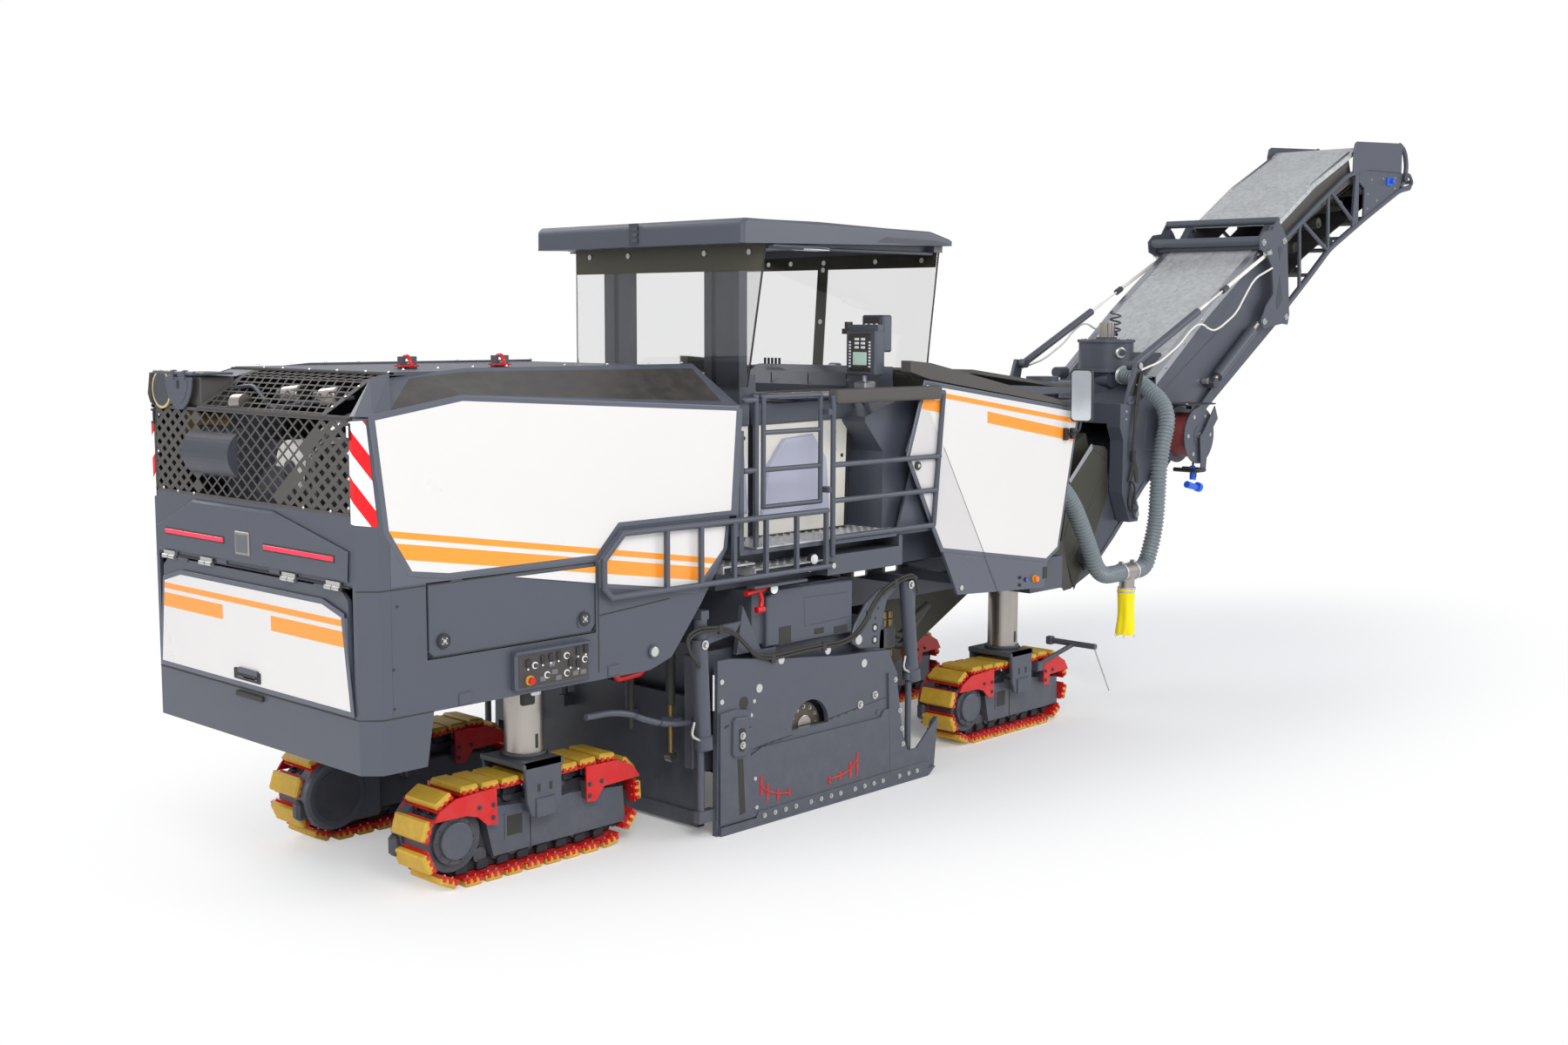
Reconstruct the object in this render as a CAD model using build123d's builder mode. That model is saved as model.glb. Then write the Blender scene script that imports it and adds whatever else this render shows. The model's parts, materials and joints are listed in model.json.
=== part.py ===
from build123d import *
import math
import os

os.makedirs("parts", exist_ok=True)

# A cold planer on four tracks. Lengths are in millimetres. A station is measured forward from the
# rear face of the body, y runs to the machine's left and z up from the ground.

# Driving dimensions
overall_length = 14754          # rear latches to conveyor tip
rear_overhang = 34              # latches and lamps behind the rear face
body_half = 1220                # half the width of the machine body
panel = 25                      # thickness of doors and cover panels
sheet = 8                       # thickness of thin steel sheet
clearance = 8                   # running gap between moving pieces
seat_gap = 0.3                  # gap at a seat that carries a separate piece

# Undercarriage
track_gauge = 1400              # between the left and right track centres
track_width = 340
track_height = 640
rear_column_at = 1470
front_column_at = 6540
column_radius = 125
column_foot = 700               # top of the yoke that carries the column
yoke_plate = 40

# Milling unit
drum_at = 3600
drum_height = 600
drum_radius = 490
milling_width = 2000
side_plate_face = 1200          # outer face of the side plates
side_plate_thick = 40

# Body heights
skirt_low = 915
seam_low = 1222
hinge_line = 1945
floor_height = 1900
canopy_low = 3940
canopy_high = 4110

# Discharge conveyor
slew_at = 8050
lift_at = 8580
lift_height = 1670
fold_at = 11380
fold_height = 4390
conveyor_half = 530
column_inner = 545              # inner face of the slewing frame's columns
column_outer = 685


def at(station):
    """x of a station, in the frame centred on the overall length"""
    return station + rear_overhang - overall_length / 2


def plate(outline, y0, y1, mode=Mode.ADD, inset=0):
    """Slab with a side-view outline of (station, z), from y0 to y1."""
    with BuildSketch(Plane.XZ.offset(-max(y0, y1))) as side:
        with BuildLine():
            Polyline(*[(at(x), z) for x, z in outline], close=True)
        make_face()
        if inset:
            offset(amount=-inset, kind=Kind.INTERSECTION, mode=Mode.REPLACE)
    extrude(side.sketch, amount=abs(y1 - y0), mode=mode)


def slab(outline, z0, z1, mode=Mode.ADD):
    """Slab with a plan outline of (station, y), from z0 to z1."""
    with BuildSketch(Plane.XY.offset(z0)) as plan:
        with BuildLine():
            Polyline(*[(at(x), y) for x, y in outline], close=True)
        make_face()
    extrude(plan.sketch, amount=z1 - z0, mode=mode)


def wall(outline, x0, x1, mode=Mode.ADD):
    """Slab with a rear-view outline of (y, z), from station x0 to x1."""
    with BuildSketch(Plane.YZ.offset(at(x0))) as rear:
        with BuildLine():
            Polyline(*outline, close=True)
        make_face()
    extrude(rear.sketch, amount=x1 - x0, mode=mode)


def block(x0, x1, y0, y1, z0, z1, mode=Mode.ADD):
    with Locations((at((x0 + x1) / 2), (y0 + y1) / 2, (z0 + z1) / 2)):
        Box(x1 - x0, abs(y1 - y0), z1 - z0, mode=mode)


def rod(start, end, radius, mode=Mode.ADD):
    """Round bar between two (station, y, z) points."""
    first = Vector(at(start[0]), start[1], start[2])
    last = Vector(at(end[0]), end[1], end[2])
    with BuildSketch(Plane(origin=first, z_dir=last - first)) as round_bar:
        Circle(radius)
    extrude(round_bar.sketch, amount=(last - first).length, mode=mode)


def pipe(points, radius, bend):
    """Bent tube through (station, y, z) points."""
    with BuildLine() as path:
        FilletPolyline(*[Vector(at(x), y, z) for x, y, z in points], radius=bend)
    with BuildSketch(Plane(origin=path.line @ 0, z_dir=path.line % 0)) as ring:
        Circle(radius)
    sweep(ring.sketch, path=path.line)


def frame_tubes(runs, radius):
    """Straight tubes, each a (start, end) pair, joined by balls at their ends."""
    for start, end in runs:
        rod(start, end, radius)
        for x, y, z in (start, end):
            with Locations((at(x), y, z)):
                Sphere(radius)


SIDES = (("right", -1), ("left", 1))

# ---------------------------------------------------------------- chassis
rail_half = 520                 # outer face of the main rails
rail_thick = 60
rail_low = 1230
rail_high = 1500
sleeve_low = 1230               # guide sleeves of the lifting columns
sleeve_high = 1560
sleeve_wall = 35
nose_tip = 8330
nose_half = 350
nose_low = 2790
nose_high = 2890
nose_cheek = 500                # the nose's side plates stand at this y
front_frame_from = 6000
front_frame_to = 7000

with BuildPart() as chassis_frame:
    for side, s in SIDES:
        plate([(60, rail_low), (front_frame_to, rail_low), (front_frame_to, rail_high), (60, rail_high)],
              s * (rail_half - rail_thick), s * rail_half)
        plate([(front_frame_from, rail_low), (front_frame_to, rail_low), (front_frame_to, 1900),
               (7180, 2300), (7180, nose_high), (front_frame_from, nose_high)],
              s * (nose_cheek - 30), s * nose_cheek)
        for column in (rear_column_at, front_column_at):
            y = s * track_gauge / 2
            block(column - 230, column + 230, s * (rail_half - rail_thick), s * (body_half - 90),
                  rail_low, rail_high)
            with Locations((at(column), y, (sleeve_low + sleeve_high) / 2)):
                Cylinder(column_radius + sleeve_wall, sleeve_high - sleeve_low)
    block(60, 180, -rail_half, rail_half, rail_low, rail_high)
    block(front_frame_to - 120, front_frame_to, -rail_half, rail_half, rail_low, rail_low + 100)
    block(front_frame_from, nose_tip, -nose_half, nose_half, nose_low, nose_high)
    block(front_frame_from, 7180, -nose_cheek, nose_cheek, nose_low, nose_high)
    rod((slew_at, 0, nose_low - 60), (slew_at, 0, nose_high + 40), 150)
    for side, s in SIDES:
        for column in (rear_column_at, front_column_at):
            with Locations((at(column), s * track_gauge / 2, (sleeve_low + sleeve_high) / 2)):
                Cylinder(column_radius + seat_gap, sleeve_high - sleeve_low + 400, mode=Mode.SUBTRACT)
chassis_frame.part.label = "chassis_frame"
export_step(chassis_frame.part, "parts/chassis_frame.step")

engine_from = 700
engine_to = 2500
engine_half = 480               # its feet stand on the main rails
with BuildPart() as engine_block:
    block(engine_from, engine_to, -engine_half, engine_half, rail_high + seat_gap, 2450)
engine_block.part.label = "engine_block"
export_step(engine_block.part, "parts/engine_block.step")

with BuildPart() as cooling_unit:
    block(160, 560, -900, 500, rail_high + seat_gap, 2700)
    block(160, 560, 500, 900, rail_high + seat_gap, 2350)
    for y in (-650, -150):
        rod((100, y, 2350), (160, y, 2350), 220)
    rod((330, 250, 2780), (330, 850, 2780), 75)
    block(250, 410, 500, 560, 2350, 2790)
cooling_unit.part.label = "cooling_unit"
export_step(cooling_unit.part, "parts/cooling_unit.step")

# ---------------------------------------------------------------- rear shell
grille_low = 2350
grille_high = 2890
pillar_at = 160                 # front edge of the rear corner pillars
rear_half = 1130                # half the width of the flat rear face
door_half = 1085
door_low = seam_low + 8

# Outline of the body in plan at the rear: flat face, bevelled corners, sides
with BuildPart() as rear_shell:
    for z0, z1 in ((skirt_low, seam_low), (hinge_line + 15, grille_low)):
        slab([(0, -rear_half), (0, rear_half), (90, body_half), (pillar_at, body_half),
              (pillar_at, body_half - panel), (100, body_half - panel), (panel, rear_half - panel),
              (panel, -rear_half + panel), (100, -body_half + panel), (pillar_at, -body_half + panel),
              (pillar_at, -body_half), (90, -body_half)], z0, z1)
    for side, s in SIDES:
        for inner, z0, z1 in ((door_half + 10, seam_low, grille_low), (rear_half, grille_low, grille_high)):
            slab([(0, s * inner), (0, s * (rear_half + 1)), (90, s * body_half), (pillar_at, s * body_half),
                  (pillar_at, s * (body_half - panel)), (100, s * (body_half - panel)),
                  (panel, s * inner)], z0, z1)
        # skirt in front of the pillar, cut back to a slanting front edge
        plate([(pillar_at, skirt_low), (380, skirt_low), (430, seam_low), (pillar_at, seam_low)],
              s * (body_half - panel), s * body_half)
        block(60, 160, s * (rail_half - rail_thick), s * (rail_half + 350), skirt_low + 20, rail_low)
    block(panel, 60, -rail_half, rail_half, skirt_low + 20, rail_high)
    # light strips and the blank badge stand proud of the fascia
    for side, s in SIDES:
        block(-6, 0, s * 240, s * 950, 2100, 2122)
    block(-8, 0, -80, 80, 2040, 2180)
    # hinge knuckles over the rear door
    for y in (-900, -300, 300, 900):
        block(-10, panel, y - 55, y + 55, hinge_line + 15, hinge_line + 45)
rear_shell.part.label = "rear_shell"
export_step(rear_shell.part, "parts/rear_shell.step")

with BuildPart() as rear_door:
    wall([(-door_half, door_low), (door_half, door_low), (door_half - 40, hinge_line - 60),
          (door_half - 110, hinge_line - 5), (-door_half + 110, hinge_line - 5),
          (-door_half + 40, hinge_line - 60)], 0, panel)
    block(-12, 0, -door_half + 30, door_half - 60, 1270, 1790)
    block(-34, -12, -110, 110, 1330, 1360)
    block(-34, -12, -110, 110, 1300, 1312)
    for y in (-780, 780):
        rod((-2, y - 60, hinge_line), (-2, y + 60, hinge_line), 8)
        block(-4, panel, y - 50, y + 50, hinge_line - 20, hinge_line - 2)
rear_door.part.label = "rear_door"
export_step(rear_door.part, "parts/rear_door.step")

with BuildPart() as rear_grille:
    block(0, sheet + 6, -rear_half + seat_gap, rear_half - seat_gap, grille_low + seat_gap, grille_high)
rear_grille.part.label = "rear_grille"

exhaust_y0 = 560
exhaust_y1 = 1100
export_step(rear_grille.part, "parts/rear_grille.step")

# Box with an oval mouth to the rear and a half-round flap hung on its upper edge
with BuildPart() as exhaust_outlet:
    block(10, 260, exhaust_y0, exhaust_y1, grille_high + seat_gap, 3080)
    block(panel + 4, 245, exhaust_y0 + 12, exhaust_y1 - 12, grille_high + 60, 3065, Mode.SUBTRACT)
    block(0, 60, exhaust_y0 + 220, exhaust_y1 - 25, grille_high + 70, 3050, Mode.SUBTRACT)
    block(-12, 10, exhaust_y0 + 20, exhaust_y0 + 210, grille_high + 30, 3090)
    rod((0, exhaust_y0, 3096), (0, exhaust_y1, 3096), 14)
exhaust_outlet.part.label = "exhaust_outlet"
export_step(exhaust_outlet.part, "parts/exhaust_outlet.step")

# ---------------------------------------------------------------- hoods
hood_from = pillar_at + 2
hood_to = 2900
hood_low_front = 2860
belt_high = 1960
step_from = 1630                # the hood's lower edge steps up between these stations
step_to = 1810
step_height = 2150
ridge_height = 3140
ridge_to = 2800
ridge_half = 850
side_top_rear = 2890
side_top_mid = 2975
side_top_mid_at = 700
side_top_front = 2850
# Cross sections of the side decks: station, height of the edge, y and height of the ridge
deck_sections = ((hood_from, side_top_rear, 979, 2997), (300, 2912, ridge_half, 3080),
                 (side_top_mid_at, side_top_mid, ridge_half, 3120), (960, 2960.5, ridge_half, ridge_height),
                 (ridge_to, 2856, ridge_half, ridge_height), (hood_to, side_top_front, 1180, 2875))
mesh_to = 430                   # front edge of the mesh between the ridges

with BuildPart() as hood_sides:
    for side, s in SIDES:
        plate([(hood_from, belt_high), (step_from, belt_high), (step_to, step_height),
               (hood_low_front, step_height), (hood_to, side_top_front), (side_top_mid_at, side_top_mid),
               (hood_from, side_top_rear)],
              s * (body_half - panel), s * body_half)
hood_sides.part.label = "hood_sides"
export_step(hood_sides.part, "parts/hood_sides.step")

# Sloping decks from the side panels up to the two ridges, with a flat deck between them
deck_thick = 20
with BuildPart() as hood_roof:
    for side, s in SIDES:
        for (x0, edge0, y0, top0), (x1, edge1, y1, top1) in zip(deck_sections, deck_sections[1:]):
            for x, edge, y, top in ((x0, edge0, y0, top0), (x1, edge1, y1, top1)):
                with BuildSketch(Plane.YZ.offset(at(x))):
                    with BuildLine():
                        Polyline((s * body_half, edge + seat_gap), (s * y, top), (s * y, top - deck_thick),
                                 (s * (body_half - panel - 1), edge + seat_gap), close=True)
                    make_face()
            loft(ruled=True)
    # room for the exhaust box
    block(hood_from, 260 + seat_gap, exhaust_y0, exhaust_y1 + seat_gap, grille_high, ridge_height,
          Mode.SUBTRACT)
    block(mesh_to, ridge_to, -ridge_half, ridge_half, ridge_height - deck_thick - 15, ridge_height - 15)
    block(ridge_to - panel, ridge_to, -ridge_half, ridge_half, side_top_front - 35, ridge_height - 15)
    for side, s in SIDES:
        wall([(s * ridge_half, side_top_front - 35), (s * (body_half - 30), side_top_front - 35),
              (s * (body_half - 30), side_top_front), (s * ridge_half, ridge_height - deck_thick)],
             ridge_to - panel, ridge_to)
    block(ridge_to - panel, hood_to, -body_half + 30, body_half - 30, side_top_front - 35,
          side_top_front - 10)
    block(hood_to - panel, hood_to, -body_half + 30, body_half - 30, 2000, side_top_front - 10)
    # lifting eyes
    for x in (930, 1630):
        block(x - 60, x + 60, -315, -285, ridge_height - 20, 3200)
        with Locations(Pos(at(x), -300, 3175) * Rot(90, 0, 0)):
            Cylinder(22, 60, mode=Mode.SUBTRACT)
hood_roof.part.label = "hood_roof"
export_step(hood_roof.part, "parts/hood_roof.step")

# Mesh that leans from the top of the rear face up to the flat deck, beside the exhaust
mesh_low = grille_high + 10
mesh_knee = (300, 3080)
mesh_top = 3118
with BuildPart() as roof_grille:
    plate([(12, mesh_low), mesh_knee, (mesh_to - seat_gap, mesh_top), (mesh_to - seat_gap, mesh_top - sheet),
           (mesh_knee[0] + 3, mesh_knee[1] - sheet), (20, mesh_low - sheet)],
          -ridge_half + seat_gap, exhaust_y0 - 6)
    plate([(300, mesh_top), (mesh_to - seat_gap, mesh_top), (mesh_to - seat_gap, mesh_top - sheet),
           (300, mesh_top - sheet)], exhaust_y0 - 6, ridge_half - seat_gap)
    # gusset below the mesh, between its right edge and the corner pillar
    with BuildSketch(Plane.XY.offset(mesh_low - 2 * sheet)):
        with BuildLine():
            Polyline((at(16), -ridge_half + 1), (at(16), -rear_half + panel + 1), (at(hood_from) - 1, -1000),
                     (at(hood_from) - 1, -ridge_half + 1), close=True)
        make_face()
    extrude(amount=sheet)
    plate([(20, mesh_low - 2 * sheet), (300, mesh_low - 2 * sheet), (300, mesh_knee[1] - 4)],
          -ridge_half + seat_gap, -ridge_half + sheet)
roof_grille.part.label = "roof_grille"
export_step(roof_grille.part, "parts/roof_grille.step")

# ---------------------------------------------------------------- side flaps
flap_from = 400
flap_to = 1620
flap_low = 1530
flap_hinge = belt_high - 8 - seat_gap

with BuildPart() as lower_sides:
    for side, s in SIDES:
        plate([(pillar_at + 1, seam_low + 2), (2070, seam_low + 2), (2260, 1285), (2520, 1600), (2760, 1940),
               (2780, step_height - seat_gap), (step_to + 1, step_height - seat_gap),
               (step_from + 1, belt_high - seat_gap), (pillar_at + 1, belt_high - seat_gap)],
              s * (body_half - panel), s * body_half)
        block(flap_from - clearance, flap_to + clearance, s * (body_half - panel - 1),
              s * (body_half + 1), flap_low - clearance, belt_high + 1, Mode.SUBTRACT)
        block(500, 560, s * rail_half, s * (body_half - panel), 1400, 1480)
        block(2200, 2260, s * rail_half, s * (body_half - panel), 1400, 1480)
lower_sides.part.label = "lower_sides"
export_step(lower_sides.part, "parts/lower_sides.step")

for side, s in SIDES:
    with BuildPart() as side_flap:
        plate([(flap_from, flap_hinge), (flap_from, flap_low + 45), (flap_from + 45, flap_low),
               (flap_to - 45, flap_low), (flap_to, flap_low + 45), (flap_to, flap_hinge)],
              s * (body_half - panel), s * body_half)
        for x in (flap_from + 110, flap_to - 110):
            rod((x, s * body_half, flap_low + 70), (x, s * (body_half + 8), flap_low + 70), 32)
        for x in (flap_from + 200, flap_to - 200):
            rod((x - 40, s * (body_half - 8), flap_hinge), (x + 40, s * (body_half - 8), flap_hinge), 8)
    side_flap.part.label = f"side_flap_{side}"
    export_step(side_flap.part, f"parts/side_flap_{side}.step")

# Boxes with the side controls, hung below the flaps
with BuildPart() as control_panels:
    for side, s in SIDES:
        block(970, 1550, s * (body_half + seat_gap), s * (body_half + 45), 1250, 1490)
control_panels.part.label = "control_panels"
export_step(control_panels.part, "parts/control_panels.step")

# ---------------------------------------------------------------- tracks
ground_contact = {"rear": (-600, 570), "front": (-630, 540)}
loop_ends = {"rear": (-900, 850), "front": (-910, 750)}
idler_height = 330
loop_thick = 70

for end, column in (("front", front_column_at), ("rear", rear_column_at)):
    for side, s in SIDES:
        y = s * track_gauge / 2
        back, ahead = loop_ends[end]
        low_back, low_ahead = ground_contact[end]
        loop = [(column + low_back, 0), (column + low_ahead, 0), (column + ahead - 60, 130),
                (column + ahead, idler_height), (column + ahead - 90, 540),
                (column + ahead - 260, track_height), (column + back + 200, track_height - 20),
                (column + back + 60, 520), (column + back, idler_height), (column + back + 60, 120)]
        with BuildPart() as track_loop:
            plate(loop, y - track_width / 2, y + track_width / 2)
            # the loop is a band, and the frame fills its middle
            plate(loop, y - track_width / 2, y + track_width / 2, Mode.SUBTRACT, inset=loop_thick)
        track_loop.part.label = f"track_loop_{end}_{side}"
        export_step(track_loop.part, f"parts/track_loop_{end}_{side}.step")

        with BuildPart() as track_frame:
            # side frame inside the loop
            plate(loop, y - 95, y + 95, inset=loop_thick + seat_gap)
            # yoke: plates outside the loop, top plate above it, column on the top plate
            for face in (-1, 1):
                block(column - 130, column + 130, y + face * (track_width / 2 + 12),
                      y + face * (track_width / 2 + 12 + yoke_plate), 340, column_foot)
                block(column - 110, column + 110, y + face * 95, y + face * (track_width / 2 + 12),
                      350, 500)
                rod((column + back + 250, y + face * 95, idler_height),
                    (column + back + 250, y + face * (track_width / 2 - 10), idler_height), 120)
            block(column - 145, column + 145, y - track_width / 2 - 12 - yoke_plate,
                  y + track_width / 2 + 12 + yoke_plate, track_height + 15, column_foot)
            rod((column, y, column_foot), (column, y, sleeve_high), column_radius)
            rod((column, y, column_foot), (column, y, column_foot + 40), column_radius + 30)
            # inner side: drive housing
            block(column + back + 140, column + back + 640, y - s * (track_width / 2 + 5),
                  y - s * 95, 160, 460)
            if end == "front" and side == "right":
                rod((column + 300, y - 175, 540), (column + 560, y - 330, 690), 22)
                block(column + 250, column + 330, y - 185, y - 95, 480, 560)
                rod((column + 560, y - 95, 700), (column + 560, y - 560, 700), 26)
                rod((column + 560, y - 545, 700), (column + 600, y - 680, 330), 8)
        track_frame.part.label = f"track_frame_{end}_{side}"
        export_step(track_frame.part, f"parts/track_frame_{end}_{side}.step")

# ---------------------------------------------------------------- milling unit
cavity = 60                     # between the cutter tips and the housing
housing_half = 1060
shaft_radius = 110
housing_wall = 40
housing_from = 2850
housing_to = 4560
housing_high = rail_low - seat_gap
box_high = 1600                 # top of the boxes between housing and platform
blade_at = 2720
blade_half = 1000

with BuildPart() as drum_housing:
    block(housing_from, housing_to, -housing_half, housing_half, 420, housing_high)
    with Locations(Pos(at(drum_at), 0, drum_height) * Rot(90, 0, 0)):
        Cylinder(drum_radius + cavity, 2 * (housing_half - housing_wall), mode=Mode.SUBTRACT)
    block(drum_at - drum_radius - cavity, drum_at + drum_radius + cavity, -housing_half + housing_wall,
          housing_half - housing_wall, 400, drum_height, Mode.SUBTRACT)
    rod((drum_at, -housing_half - 1, drum_height), (drum_at, housing_half + 1, drum_height),
        shaft_radius + seat_gap, Mode.SUBTRACT)
    for side, s in SIDES:
        block(3100, 4040, s * 600, s * 1110, housing_high, box_high)
        block(3540, 4000, s * 1110, s * 1130, 1330, 1520)
        block(housing_from - 160, housing_from, s * (blade_half + seat_gap), s * housing_half, 420,
              housing_high)
    block(3100, 4040, -rail_half + rail_thick + 5, rail_half - rail_thick - 5, housing_high, 1400)
drum_housing.part.label = "drum_housing"
export_step(drum_housing.part, "parts/drum_housing.step")

with BuildPart() as milling_drum:
    rod((drum_at, -milling_width / 2, drum_height), (drum_at, milling_width / 2, drum_height),
        drum_radius - 90)
    rod((drum_at, -housing_half - 60, drum_height), (drum_at, housing_half + 60, drum_height), shaft_radius)
    # holder rings; the tools stand on them
    ring_count = 9
    for n in range(ring_count):
        y = (n / (ring_count - 1) - 0.5) * (milling_width - 60)
        rod((drum_at, y - 18, drum_height), (drum_at, y + 18, drum_height), drum_radius)
milling_drum.part.label = "milling_drum"
export_step(milling_drum.part, "parts/milling_drum.step")

cylinder_y = 1150
rear_cylinder_at = 2580
front_cylinder_at = 4740
barrel_radius = 45
side_rod_radius = 24
barrel_low = 760
barrel_high = 1480
barrel_floor = 40

for side, s in SIDES:
    inner = s * (side_plate_face - side_plate_thick)
    outer = s * side_plate_face
    with BuildPart() as side_plate:
        plate([(2680, 0), (4900, 0), (5000, 60), (5040, 430), (4990, 400), (4930, 200), (4580, 200),
               (4550, 840), (4440, 1030), (3900, 1060), (3250, 1130), (2800, 1190), (2690, 1190)],
              inner, outer)
        # half-round window at the drum's shaft
        with BuildSketch(Plane.XZ.offset(-max(inner, outer))) as window:
            with Locations((at(drum_at), drum_height)):
                Circle(190)
                Rectangle(400, 200, align=(Align.CENTER, Align.MAX), mode=Mode.SUBTRACT)
        extrude(window.sketch, amount=side_plate_thick, mode=Mode.SUBTRACT)
        # thicker lower plate, wear bar and slot block
        plate([(2700, 70), (4560, 70), (4530, 590), (4390, 590), (4350, 540), (3100, 540), (2990, 500),
               (2700, 500)], outer, outer + s * 14)
        plate([(2700, 0), (4900, 0), (4990, 60), (2700, 60)], outer, outer + s * 24)
        block(2850, 2990, outer, outer + s * 30, 560, 700)
        # cylinder eyes and rods
        for x in (rear_cylinder_at, front_cylinder_at):
            near, far = (x - 40, 2690) if x < drum_at else (x - 40, x + 40)
            block(near, far, s * (cylinder_y - 30), s * (cylinder_y + 30), 110, 190)
            rod((x, s * cylinder_y, 150), (x, s * cylinder_y, barrel_low + 250), side_rod_radius)
    side_plate.part.label = f"side_plate_{side}"
    export_step(side_plate.part, f"parts/side_plate_{side}.step")

with BuildPart() as lift_cylinders:
    for side, s in SIDES:
        for x in (rear_cylinder_at, front_cylinder_at):
            rod((x, s * cylinder_y, barrel_low), (x, s * cylinder_y, barrel_high), barrel_radius)
            rod((x, s * cylinder_y, barrel_low - 1), (x, s * cylinder_y, barrel_high - barrel_floor),
                side_rod_radius + seat_gap, Mode.SUBTRACT)
            block(x - 35, x + 35, s * (rail_half + seat_gap), s * (cylinder_y + 45), barrel_high,
                  barrel_high + 60)
lift_cylinders.part.label = "lift_cylinders"
export_step(lift_cylinders.part, "parts/lift_cylinders.step")

with BuildPart() as scraper_blade:
    block(blade_at, blade_at + 40, -blade_half, blade_half, 20, 900)
    block(blade_at - 20, blade_at, -blade_half, blade_half, 20, 120)
    for y in (-350, 350):
        rod((blade_at - 60, y, 700), (blade_at - 60, y, 1150), 25)
        block(blade_at - 90, blade_at, y - 35, y + 35, 660, 740)
scraper_blade.part.label = "scraper_blade"
export_step(scraper_blade.part, "parts/scraper_blade.step")

# ---------------------------------------------------------------- platform
ladder_low = 1730
ladder_high = 2120
ladder_pin = 3720
ladder_y = body_half + 45
tube = 19
platform_from = hood_to + 5
platform_to = 5080
deck = 30
with BuildPart() as platform:
    block(platform_from, platform_to, -body_half + panel + 1, body_half - panel - 1, floor_height - deck,
          floor_height)
    for side, s in SIDES:
        # beams below the floor, step boxes and the stair treads behind the gate
        block(platform_from, front_frame_from + 2, s * 900, s * 960, 1610, floor_height - deck)
        block(3760, 4580, s * 960, s * (body_half - 10), 1650, 1790)
        block(3760, 3800, s * 960, s * (body_half - 10), 1790, floor_height - deck)
        block(4540, 4580, s * 960, s * (body_half - 10), 1790, floor_height - deck)
        # pin that the ladder hangs on
        block(ladder_pin - 20, 3765, s * 1100, s * 1200, ladder_low - 30, ladder_low + 30)
        rod((ladder_pin, s * 1190, ladder_low), (ladder_pin, s * (ladder_y - tube - seat_gap),
                                                 ladder_low), 14)
        plate([(4580, floor_height), (4830, 2560), (5080, 2560), (5080, floor_height)],
              s * (body_half - 60), s * (body_half - 80))
    # inner walls: behind the seats and below the dashboard
    block(platform_from, platform_from + 40, -body_half + 30, body_half - 30, floor_height, 2700)
    block(platform_to - 40, platform_to - 10, -body_half + 85, body_half - 85, floor_height, 2900)
    block(2660, 2700, -900, 900, rail_high, floor_height - deck)
    block(2660, platform_from, -900, 900, 1610, floor_height - deck)
platform.part.label = "platform"
export_step(platform.part, "parts/platform.step")

# Two operator stands, one at each side, with a sloping desk and a display on an arm
console_from = 4300
console_to = 4890
with BuildPart() as consoles:
    for side, s in SIDES:
        block(4500, platform_to - 40 - seat_gap, s * 560, s * 1080, floor_height + seat_gap, 2480)
        plate([(console_from, 2700), (console_from, 2740), (4700, 2860), (console_to, 2860),
               (console_to, 2480), (4500, 2480)], s * 560, s * 1080)
        rod((4600, s * 700, 2815), (4540, s * 700, 2990), 20)
    # the display stands on the right-hand console only
    rod((4560, -860, 2800), (4520, -860, 3120), 22)
    wall([(-760, 3080), (-1040, 3080), (-1040, 3400), (-760, 3400)], 4480, 4540)
consoles.part.label = "consoles"
export_step(consoles.part, "parts/consoles.step")

with BuildPart() as seats:
    for side, s in SIDES:
        y0 = s * 380
        y1 = s * 820
        block(3800, 4200, y0, y1, 2380, 2480)
        block(3720, 3800, y0, y1, 2380, 2850)
seats.part.label = "seats"
export_step(seats.part, "parts/seats.step")

with BuildPart() as seat_bases:
    for side, s in SIDES:
        block(3880, 4100, s * 500, s * 700, floor_height + seat_gap, 2380 - seat_gap)
seat_bases.part.label = "seat_bases"
export_step(seat_bases.part, "parts/seat_bases.step")

# ---------------------------------------------------------------- railings, gates, ladders
rail_y = 1190
gate_tube = 17
gate_hinge = 3700
gate_low = 2180
gate_high = 2920
gate_from = 3130
post_at = 3770
outer_rail_y = body_half + 25
railing_to = 5000

with BuildPart() as railings:
    for side, s in SIDES:
        y = s * outer_rail_y
        frame_tubes([((post_at, y, 1800), (post_at, y, 2900)),
                     ((post_at, y, 1920), (4900, y, 1920)),
                     ((post_at, y, 2180), (4930, y, 2180)),
                     ((post_at, y, 2430), (4960, y, 2430)),
                     ((post_at, y, 2900), (railing_to, y, 2900)),
                     ((4900, y, 1920), (railing_to, y, 2900))], tube)
        block(post_at - 15, 4480, s * (body_half - panel - 1 + seat_gap), s * (outer_rail_y - 10),
              floor_height - deck, floor_height - 5)
        block(gate_hinge + gate_tube + seat_gap, post_at, s * (rail_y - 8), s * (outer_rail_y + 8), 2240,
              2280)
        block(gate_hinge + gate_tube + seat_gap, post_at, s * (rail_y - 8), s * (outer_rail_y + 8), 2780,
              2820)
        y = s * (rail_y - tube)
        frame_tubes([((3080, y, floor_height + tube), (3080, y, 2920)),
                     ((platform_from + 70, y, 2430), (3080, y, 2430)),
                     ((platform_from + 70, y, 2900), (3080, y, 2900))], tube)
railings.part.label = "railings"
export_step(railings.part, "parts/railings.step")

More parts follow.
